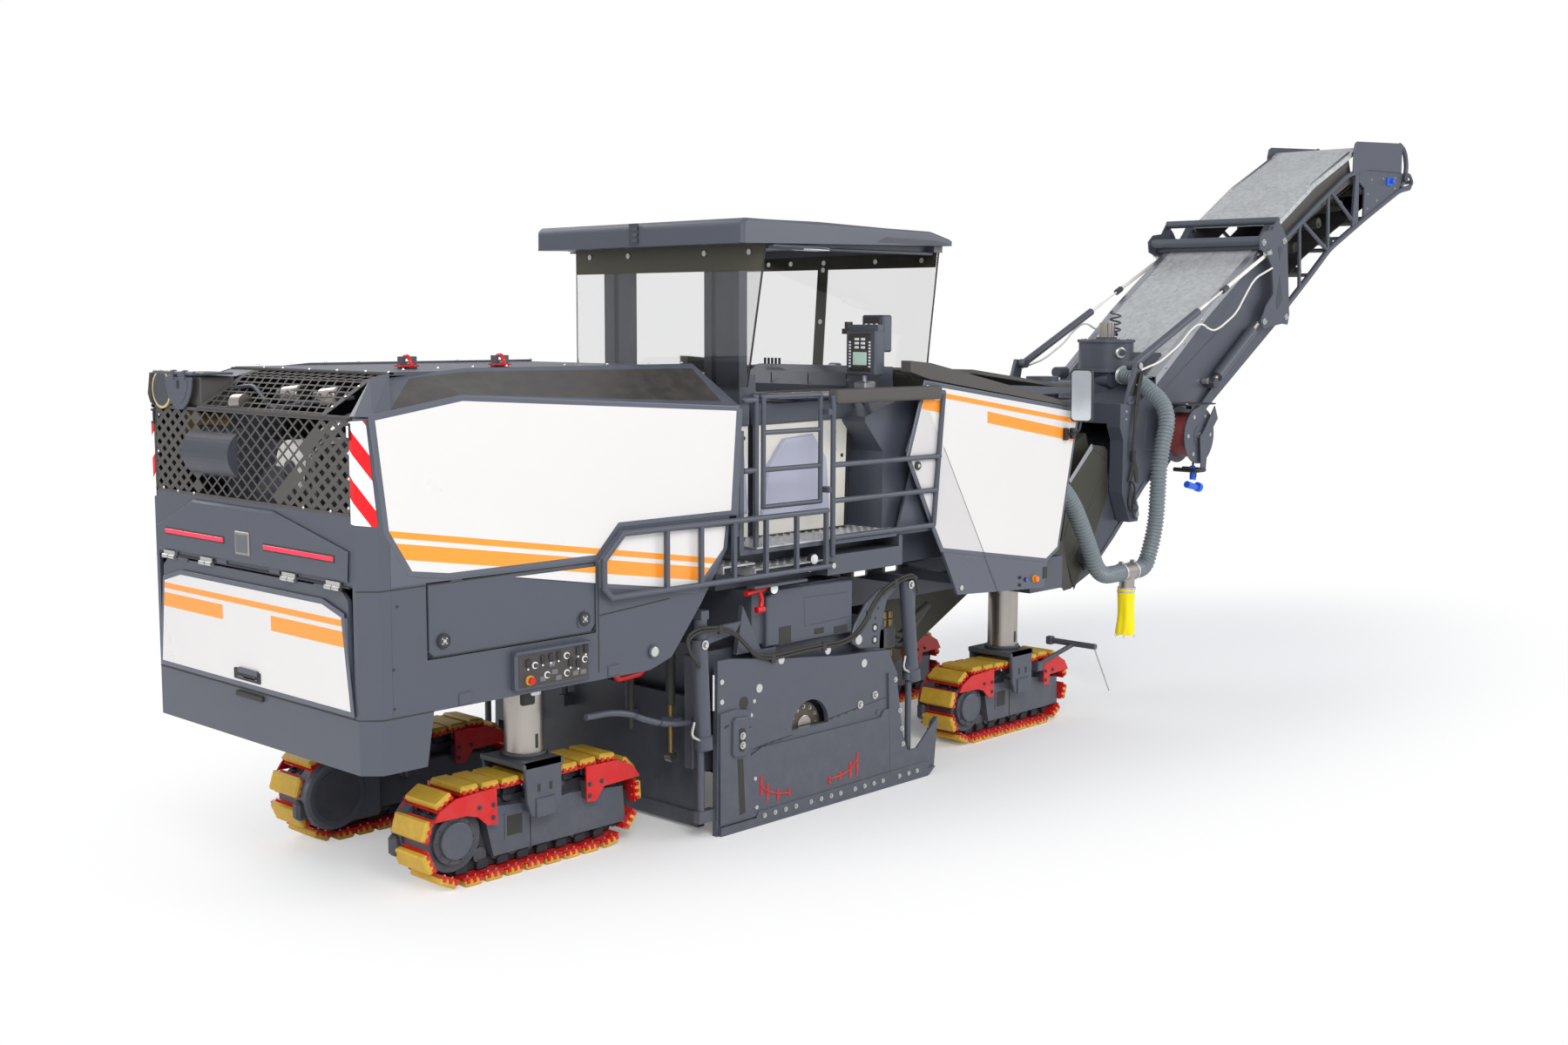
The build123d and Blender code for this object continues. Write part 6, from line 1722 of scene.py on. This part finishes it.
# lift cylinders: barrels, rods, eyes and hoses at both ends of the plate
for top, low, foot in (((2.56, 1.35), (2.594, 0.65), (2.6, 0.095)), ((4.68, 1.52), (4.765, 0.79),
        (4.777, 0.259))):
    way = Vector((low[0] - top[0], 0, low[1] - top[1]))
    turned(spot(top[0], -1.165, top[1]), way, 0.052, way.length, sides=28, chamfer=0.008)
    turned(spot(low[0], -1.165, low[1] + 0.05), way, 0.06, 0.09, sides=28)
    side_bolt(top[0] - 0.005, -1.215, top[1] - 0.03, 0.032, 1)
    tube_run([spot(low[0] - 0.1, -1.18, low[1] + 0.16), spot(low[0] - 0.125, -1.18, low[1] + 0.07),
        spot(low[0] - 0.05, -1.18, low[1] + 0.03)], 0.011, 1, 0.03)
hose_line = [(2.5, 1.2), (2.379, 1.347), (2.433, 1.432), (2.613, 1.435), (2.798, 1.399), (2.93, 1.287),
    (3.025, 1.192), (3.181, 1.157), (3.584, 1.172), (3.963, 1.164), (4.137, 1.244), (4.267, 1.433),
    (4.423, 1.519), (4.652, 1.576), (4.734, 1.545), (4.748, 1.439)]
for shift, rise in ((0.0, 0.0), (0.025, -0.022)):
    tube_run([spot(x + shift * 0.4, -1.216, z + rise) for x, z in hose_line], 0.011, 3, 0.12, 10)
for x, z in ((2.7, 1.415), (3.2, 1.15), (3.72, 1.165), (4.2, 1.33), (4.5, 1.53)):
    box((x - 0.02, x + 0.02), (-1.229, -1.206), (z - 0.04, z + 0.022), 3, 0.004)
# bracket of the rear cylinder, fin, slanted posts
plate([(2.56, 1.34), (2.6, 1.41), (2.96, 1.42), (2.9, 1.34), (2.63, 1.3)], -1.13, -1.155, 0, 0.004)
plate([(2.93, 1.19), (2.99, 1.52), (3.17, 1.19)], -1.1, -1.14, 0, 0.004)
plate([(3.1, 1.2), (3.1, 1.12), (3.3, 1.14), (3.3, 1.2)], -1.12, -1.15)
# red hook with its pin
pipe([(2.985, -1.17, 1.605), (3.2, -1.15, 1.62)], 0.02, 2, 0.01)
pipe([(3.12, -1.16, 1.61), (3.145, -1.17, 1.55), (3.11, -1.18, 1.48)], 0.016, 2, 0.03)
turned(spot(3.075, -1.18, 1.485), AHEAD, 0.022, 0.07, 2, sides=16)
# round work lamps and the box lights under the platform
for x, z in ((3.237, 1.614), (3.64, 1.777)):
    disc(x, -1.16, z, 0.04, 0.03, 3, 28)
    disc(x, -1.19, z, 0.034, 0.006, 4, 28)
for x in (4.04, 4.385):
    box((x, x + 0.175), (-1.2, -1.06), (1.6, 1.705), 3, 0.016)
    box((x + 0.01, x + 0.13), (-1.206, -1.199), (1.612, 1.692), 4, 0.004)
    pipe([(x + 0.13, -1.12, 1.7), (x + 0.13, -1.12, 1.76)], 0.014, 1)
box((2.995, 3.518), (-1.245, -1.16), (1.64, 1.66), 0, 0.004)
for x in (3.36, 3.43):
    disc(x, -1.215, 1.728, 0.024, 0.006, 3, 20)
pipe([(3.55, -1.22, 1.715), (3.8, -1.22, 1.735)], 0.014, 3, 0.01)
for x in (3.55, 3.8):
    turned(spot(x, -1.235, 1.72), LEFT, 0.02, 0.03, 1, sides=14)
disc(2.096, -1.215, 1.341, 0.042, 0.02, 0, 28)
disc(2.096, -1.235, 1.341, 0.032, 0.008, 1, 28, chamfer=0.003)
# gear behind the rear track: curved arm, box post, lift rods of the scraper and the red handle
pipe([(1.7, -1.03, 0.95), (1.98, -1.05, 0.95), (2.22, -1.05, 0.84), (2.4, -1.06, 0.79), (2.66, -1.07, 0.77)],
    0.022, 0, 0.15, 12)
box((2.6, 2.675), (-1.055, -0.97), (0.45, 1.22), 0, 0.006)
box((2.55, 2.675), (-0.93, -0.8), (0.74, 0.78), 0, 0.004)
turned(spot(2.6, -0.84, 0.86), UP, 0.032, 0.36, 3, sides=20)
turned(spot(2.6, -0.84, 0.5), UP, 0.017, 0.38, 6, sides=16)
turned(spot(2.6, -0.87, 0.5), LEFT, 0.035, 0.06, 1, sides=16)
turned(spot(2.35, -0.72, 0.72), UP, 0.024, 0.48, 3, sides=16)
pipe([(1.96, -1.02, 1.19), (1.97, -1.02, 1.15), (2.17, -1.02, 1.16), (2.2, -1.02, 1.2)], 0.022, 2, 0.03, 10)
box((1.99, 2.15), (-1.015, -1.005), (1.165, 1.2), 2, 0.003)
box((1.22, 1.29), (-1.1, -1.09), (1.17, 1.26), 4, 0.008)
box((1.2, 1.3), (-1.04, -1.0), (1.1, 1.22), 3, 0.01)
# column pads with the small square covers on the lower flank
for x in (0.6, 1.72):
    plate([(x, 1.3), (x + 0.09, 1.305), (x + 0.09, 1.235), (x, 1.23)], -1.219, -1.23, 0, 0.006)
for x, z in ((0.17, 1.5), (0.17, 1.28), (0.2, 1.85)):
    disc(x, -1.22, z, 0.008, 0.003, 3, 12)
# slanted step edges between the flank and the housing
plate([(1.66, 1.62), (2.24, 1.66), (2.24, 1.668), (1.66, 1.628)], -1.2195, -1.222, 3)
plate([(1.645, 1.27), (1.652, 1.27), (1.652, 1.95), (1.645, 1.95)], -1.2195, -1.222, 3)
mirror_over(form)
finish_piece("housing_details", "machine", "grey_paint", "zinc_bolt", "red_paint", "black_rubber",
    "white_lens", "core_metal", "brass_core", "orange_lamp")
print("housing details")

# %% Flap latches and control panels
form = bmesh.new()
for x, z in ((0.5, 1.62), (1.53, 1.62)):
    disc(x, -1.2275, z, 0.044, 0.006, 0, 32, chamfer=0.002)
    disc(x, -1.2335, z, 0.03, 0.002, 2, 28)
    disc(x, -1.235, z, 0.011, 0.004, 1, 14)
    for place in around(4, 0.02, phase=pi / 4):
        disc(x + place.x, -1.235, z + place.z, 0.005, 0.003, 1, 8)
outline = [(0.4, 1.952), (0.4, 1.56), (0.43, 1.532), (1.6, 1.532), (1.622, 1.56), (1.622, 1.952)]
for a, b in zip(outline, outline[1:]):
    pipe([(a[0], -1.2245, a[1]), (b[0], -1.2245, b[1])], 0.0035, 3, 0.01, 8)
right_form = form
for side, s in reversed(SIDES):
    form = right_form.copy()
    if s > 0:
        flipped(form)
    finish_piece(f"flap_latches_{side}", f"flap_{side}", "black_plastic", "zinc_bolt", "dark_frame",
        "black_rubber")

form = bmesh.new()
y = -1.266
box((0.972, 1.548), (-1.267, -1.2), (1.258, 1.488), 0, 0.01)
box((0.995, 1.525), (y - 0.006, y), (1.275, 1.465), 1, 0.003)
box((0.972, 1.548), (y - 0.012, y + 0.05), (1.474, 1.492), 0, 0.004)
for x, z in ((1.17, 1.43), (1.23, 1.435), (1.29, 1.438), (1.44, 1.445), (1.44, 1.37), (1.5, 1.45),
        (1.06, 1.42), (1.38, 1.385)):
    box((x - 0.017, x + 0.017), (y - 0.018, y - 0.005), (z - 0.026, z + 0.022), 2, 0.004)
    disc(x, y - 0.006, z + 0.012 - 0.05, 0.006, 0.003, 3, 8)
for x, z in ((1.11, 1.4), (1.35, 1.425), (1.35, 1.32), (1.49, 1.385), (1.2, 1.33)):
    disc(x, y - 0.006, z, 0.021, 0.006, 3, 20)
    disc(x, y - 0.012, z, 0.014, 0.008, 1, 16)
for x, z in ((1.17, 1.31), (1.26, 1.34), (1.29, 1.3), (1.42, 1.31), (1.48, 1.31), (1.24, 1.39)):
    box((x - 0.022, x + 0.022), (y - 0.0075, y - 0.005), (z - 0.014, z + 0.014), 6)
disc(1.07, y - 0.006, 1.315, 0.03, 0.01, 4, 28)
disc(1.07, y - 0.016, 1.315, 0.014, 0.012, 5, 16)
disc(1.07, y - 0.026, 1.315, 0.022, 0.014, 5, 24, chamfer=0.004)
mirror_over(form)
finish_piece("side_controls", "machine", "grey_paint", "brown_screen", "black_plastic", "white_lens",
    "yellow_pad", "red_paint", "core_metal", slot="plain_plastic", replaced=["control_panels"])
# emergency stop and small buttons on the front skirt
form = bmesh.new()
disc(6.24, -1.222, 1.37, 0.03, 0.01, 0, 28)
disc(6.24, -1.232, 1.37, 0.024, 0.028, 1, 28, chamfer=0.006)
disc(6.12, -1.222, 1.375, 0.018, 0.008, 2, 20)
disc(6.12, -1.23, 1.375, 0.012, 0.006, 3, 16)
for z in (1.34, 1.4):
    disc(6.04, -1.222, z, 0.012, 0.012, 2, 14)
box((6.36, 6.42), (-1.224, -1.2185), (1.355, 1.45), 2, 0.002)
disc(5.28, -1.22, 1.4, 0.02, 0.008, 4, 20)
# grey line along the front panel's fold: painted shade in the crease
plate([(5.034, 2.487), (5.04, 2.487), (5.77, 1.299), (5.764, 1.299)], -1.2262, -1.2275, 5)
disc(4.72, -1.22, 2.37, 0.032, 0.02, 2, 20)
disc(4.72, -1.24, 2.37, 0.014, 0.006, 4, 16)
mirror_over(form)
finish_piece("front_buttons", "machine", "yellow_pad", "orange_lamp", "black_plastic", "blue_plastic",
    "zinc_bolt", "border_grey", slot="plain_plastic")
print("latches and controls")

# %% [markdown]
# ## Transfer point
# Olive rubber sheets close the gap between the body and the slewing conveyor on each side, with a
# silver strip on their upper edge. The conveyor's tail and its hub show below them.

# %% Rubber sheets, tower details
form = bmesh.new()
for s in (-1, 1):
    y = s * 0.5325
    plate([(7.74, 2.05), (8.06, 2.33), (8.28, 2.3), (8.33, 2.26), (8.34, 1.84), (8.16, 1.52), (7.84, 1.03),
        (7.72, 1.28), (7.62, 1.5)], y, y + s * 0.006)
    # long folds pressed into the sheet, drawn as thin black lines: painted shade in the folds
    for a, b in (((7.8, 1.36), (8.33, 2.2)), ((8.06, 2.31), (8.3, 2.18)), ((7.66, 1.52), (7.8, 1.8))):
        pipe([(a[0], y + s * 0.006, a[1]), (b[0], y + s * 0.006, b[1])], 0.0035, 3, 0.01, 6)
    plate([(7.71, 2.03), (7.735, 2.0), (8.085, 2.295), (8.06, 2.34)], y + s * 0.007, y + s * 0.012, 1, 0.001)
    for bx, bz in ((7.74, 2.035), (7.9, 2.17), (8.05, 2.3)):
        side_bolt(bx, y + s * 0.01, bz, 0.006, 2)
    # folded tail plate and its hub
    plate([(7.48, 1.46), (7.62, 1.5), (7.7, 1.28), (7.78, 1.05), (7.66, 1.04), (7.5, 1.22)], s * 0.545,
        s * 0.552, 4, 0.003)
    disc(7.96, s * 0.575, 1.33, 0.085, 0.05, 5, 28)
    disc(7.96, s * 0.6, 1.33, 0.05, 0.04, 5, 24)
    box((7.92, 8.1), (s * 0.56, s * 0.6), (1.2, 1.3), 5, 0.01)
    for place in around(4, 0.065, phase=0.4):
        side_bolt(7.96 + place.x, s * 0.625, 1.33 + place.z, 0.01, 2)
    # light band on the lower chord, and the slot in the side wall, drawn as a black plate: painted shade in
    # the slot
    plate([(8.13, 1.2), (8.15, 1.18), (8.99, 1.91), (8.98, 1.94)], s * 0.532, s * 0.537, 6)
    plate([(8.8, 2.02), (8.83, 1.94), (8.87, 1.93), (8.86, 2.06), (8.82, 2.13), (8.79, 2.12)], s * 0.5385,
        s * 0.5395, 3)
finish_piece("transfer_sheets", "conveyor_lower", "olive_rubber", "rail_silver", "zinc_bolt", "black_rubber",
    "matte_deck", "dark_frame", "border_grey", slot="rubber")

form = bmesh.new()
for s in (-1, 1):
    # window between the two flanges of the stay arm, drawn as a black plate: painted shade seen through it
    plate([(8.43, 2.76), (8.56, 2.76), (8.61, 2.96), (8.56, 2.97)], s * 0.6855, s * 0.687, 1)
    box((8.41, 8.6), (s * 0.64, s * 0.7), (2.685, 2.71), 0, 0.004)
    disc(8.6, s * 0.69, 3.03, 0.03, 0.014, 2, 20)
    for bx, bz in ((8.4, 2.62), (8.4, 2.55), (8.56, 2.86)):
        side_bolt(bx, s * 0.685, bz, 0.012, 2)
    # black lines hanging from the arm down the post, coiled at its foot
    y = s * 0.7
    for shift in (0.0, 0.022, -0.02):
        pipe([(8.62 + shift, y, 2.98), (8.55 + shift, y + s * 0.01, 2.8), (8.5 + shift, y + s * 0.02, 2.55),
            (8.46 - shift, y + s * 0.02, 2.3), (8.5 + shift, y + s * 0.01, 2.12),
            (8.46 + shift, y, 1.98)], 0.008, 3, 0.12, 8)
    loop = [spot(8.5 + 0.045 * sin(a), y + s * 0.01 * cos(3 * a), 1.84 - 0.14 * cos(a))
        for a in (n * tau / 12 for n in range(26))]
    tube_run(loop, 0.009, 3, 0.03, 8)
    box((8.46, 8.51), (y, y + s * 0.03), (2.16, 2.26), 3, 0.004)
    for z in (1.82, 1.78):
        disc(8.56, s * 0.69, z, 0.014, 0.03, 2, 12)
    disc(8.58, s * 0.705, 1.67, 0.03, 0.012, 2, 20)
finish_piece("slewing_frame_details", "swivel", "grey_paint", "black_plastic", "zinc_bolt", "black_rubber",
    slot="grey_paint")
print("transfer point")

# %% [markdown]
# ## Yellow sleeve
# The sleeve is one tube of woven cloth, narrow below its clamp and flared at the gathered hem,
# where four small rings hold it.

# %% Hanging sleeve with hem rings
form = bmesh.new()
part = bmesh.new()
ring = bmesh.ops.create_circle(part, cap_ends=False, radius=1.0, segments=72)["verts"]
edges = part.edges[:]
spokes = [v.co.xy.normalized() for v in ring]
foot = spot(8.19, -0.86, 0)
rows = [(1.036, 0.073, 0.0), (1.02, 0.078, 0.0), (0.985, 0.077, 0.0015), (0.93, 0.074, 0.003),
    (0.86, 0.072, 0.004), (0.8, 0.072, 0.005), (0.74, 0.076, 0.006), (0.69, 0.08, 0.007),
    (0.65, 0.082, 0.008), (0.62, 0.083, 0.009)]
rows = [tuple(a + (b - a) * t / 3 for a, b in zip(low, high)) for low,
    high in zip(rows, rows[1:]) for t in range(3)] + [rows[-1]]


def sleeve_ring(verts, height, radius, depth):
    for v, spoke in zip(verts, spokes):
        turn = atan2(spoke.y, spoke.x)
        wave = 0.6 * sin(5 * turn + 9 * height) + 0.4 * sin(8 * turn - 5 * height + 1.0)
        lean = 0.006 * sin(9 * height)
        v.co = foot + Vector(((radius + depth * wave) * spoke.x + lean, (radius + depth * wave) * spoke.y,
            height + 0.6 * depth * sin(4 * turn)))


sleeve_ring(ring, *rows[0])
for row in rows[1:]:
    grown = bmesh.ops.extrude_edge_only(part, edges=edges)["geom"]
    ring = only(grown, "BMVert")
    edges = only(grown, "BMEdge")
    sleeve_ring(ring, *row)
bmesh.ops.recalc_face_normals(part, faces=part.faces[:])
absorb(part, 0, smooth=True)
sleeve = finish_piece("sleeve_cloth", "swivel", "sleeve_fabric", slot="yellow_fabric",
    replaced=["dust_sleeve"])

form = bmesh.new()
for turn in (0.4, 2.0, 3.6, 5.2):
    place = foot + Vector((0.082 * cos(turn), 0.082 * sin(turn), 0.612))
    circle = [place + Vector((0.012 * cos(a), 0, 0.014 * sin(a) - 0.004))
        for a in (n * tau / 10 for n in range(11))]
    tube_run(circle, 0.0022, 0, 0.004, 6)
turned(foot + Vector((0, 0, 1.005)), UP, 0.081, 0.014, sides=36)
rings = finish_piece("sleeve_rings", "swivel", "galvanised", slot="steel")
print("sleeve")

# %% [markdown]
# ## Seats
# Each seat is a cushion and a back. Both are boxes with well rounded edges, divided and pressed
# outwards in the middle.

# %% Seat cushions and backs
form = bmesh.new()
for s in (-1, 1):
    for low, high, swell in (((3.78, 0.385, 2.385), (4.215, 0.815, 2.485), 2),
            ((3.715, 0.385, 2.44), (3.8, 0.815, 2.855), 0)):
        part = bmesh.new()
        bmesh.ops.create_cube(part, size=1.0)
        size = Vector(high) - Vector(low)
        bmesh.ops.subdivide_edges(part, edges=part.edges[:], cuts=6, use_grid_fill=True)
        for v in part.verts:
            rest = [4 * (0.25 - v.co[k] ** 2) for k in range(3) if k != swell]
            v.co[swell] *= 0.72 + 0.28 * (max(rest[0], 0) * max(rest[1], 0)) ** 0.35
        bmesh.ops.scale(part, vec=size, verts=part.verts[:])
        middle = (Vector(low) + Vector(high)) / 2
        absorb(part, 0, Matrix.Translation(spot(middle.x, s * middle.y, middle.z)), smooth=True)
cushions = finish_piece("seat_cushions", "machine", "seat_leather", slot="seat_leather", replaced=["seats"])
form = bmesh.new()
for s in (-1, 1):
    box((3.9, 4.14), (s * 0.45, s * 0.75), (2.36, 2.386), 0, 0.005)
    box((3.72, 3.8), (s * 0.5, s * 0.7), (2.4, 2.46), 0, 0.005)
finish_piece("seat_pans", "machine", "black_plastic", slot="plain_plastic")
print("seats")

# %% [markdown]
# ## Milling drum tools
# Tool holders run round the drum in two spirals that meet in the middle. Each holder is a short
# chamfered block with a conical bit in it.

# %% Tool holders and bits
form = bmesh.new()
drum_low, drum_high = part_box("milling_drum")
middle = (drum_low + drum_high) / 2
tool_radius = min(drum_high.z - drum_low.z, drum_high.x - drum_low.x) / 2
holder = bmesh.new()
bmesh.ops.create_cone(holder, cap_ends=True, segments=6, radius1=0.03, radius2=0.022, depth=0.05)
bit = bmesh.new()
bmesh.ops.create_cone(bit, cap_ends=True, segments=6, radius1=0.013, radius2=0.002, depth=0.045)
for n in range(84):
    across = -0.97 + 1.94 * n / 83
    angle = abs(across) * 5.2 + (n % 3) * tau / 3
    out = Vector((cos(angle), 0, sin(angle)))
    way = (out + 0.55 * Vector((-sin(angle), 0, cos(angle)))).normalized()
    turn = way.to_track_quat("Z", "Y").to_matrix().to_4x4()
    base = Vector((middle.x, across, middle.z)) + out * (tool_radius - 0.075)
    absorb(holder.copy(), 0, Matrix.Translation(base) @ turn)
    absorb(bit.copy(), 1, Matrix.Translation(base + way * 0.04) @ turn)
# shaft covers that show in the half-round openings of the side plates
for s in (-1, 1):
    cover = Vector((middle.x, s * 1.118, middle.z))
    turned(cover, (0, s, 0), 0.165, 0.014, sides=40, chamfer=0.004)
    turned(cover, (0, s, 0), 0.07, 0.026, 1, sides=32, chamfer=0.005)
    for place in around(12, 0.13):
        bolt(cover + place + Vector((0, s * 0.013, 0)), (0, s, 0), 0.016, 1)
finish_piece("drum_tools", "drum", "drum_steel", "stainless", slot="drum_steel")
print("drum tools")

# %% [markdown]
# ## Finishes on the frame's own parts
# Every visible part of the frame gets its finish here.


# %% Assign finishes
slot_finish = {"grey_paint": "grey_paint", "white_paint": "border_grey", "dark_panel": "matte_deck",
    "track_red": "red_paint", "cast": "cast_dark", "drum_steel": "drum_steel", "glass": "clear_glass",
    "rubber": "black_rubber", "hose_grey": "hose_plastic", "yellow_fabric": "sleeve_fabric",
    "seat_leather": "seat_leather", "plain_plastic": "black_plastic", "steel": "stainless"}
own_finish = {"hood_roof": "hood_deck", "rear_door": "grey_paint", "cooling_unit": "dark_frame",
    "front_hood": "matte_deck", "stay_rods": "white_cable", "primary_conveyor": "olive_rubber"}
for part in frame["record"]["subparts"]:
    thing = frame["nodes"][part["node"]]
    thing.data.materials.clear()
    look = own_finish.get(part["node"], slot_finish[part["material_slot"]])
    thing.data.materials.append(finishes[look])
print(len(frame["nodes"]), "parts of the frame")
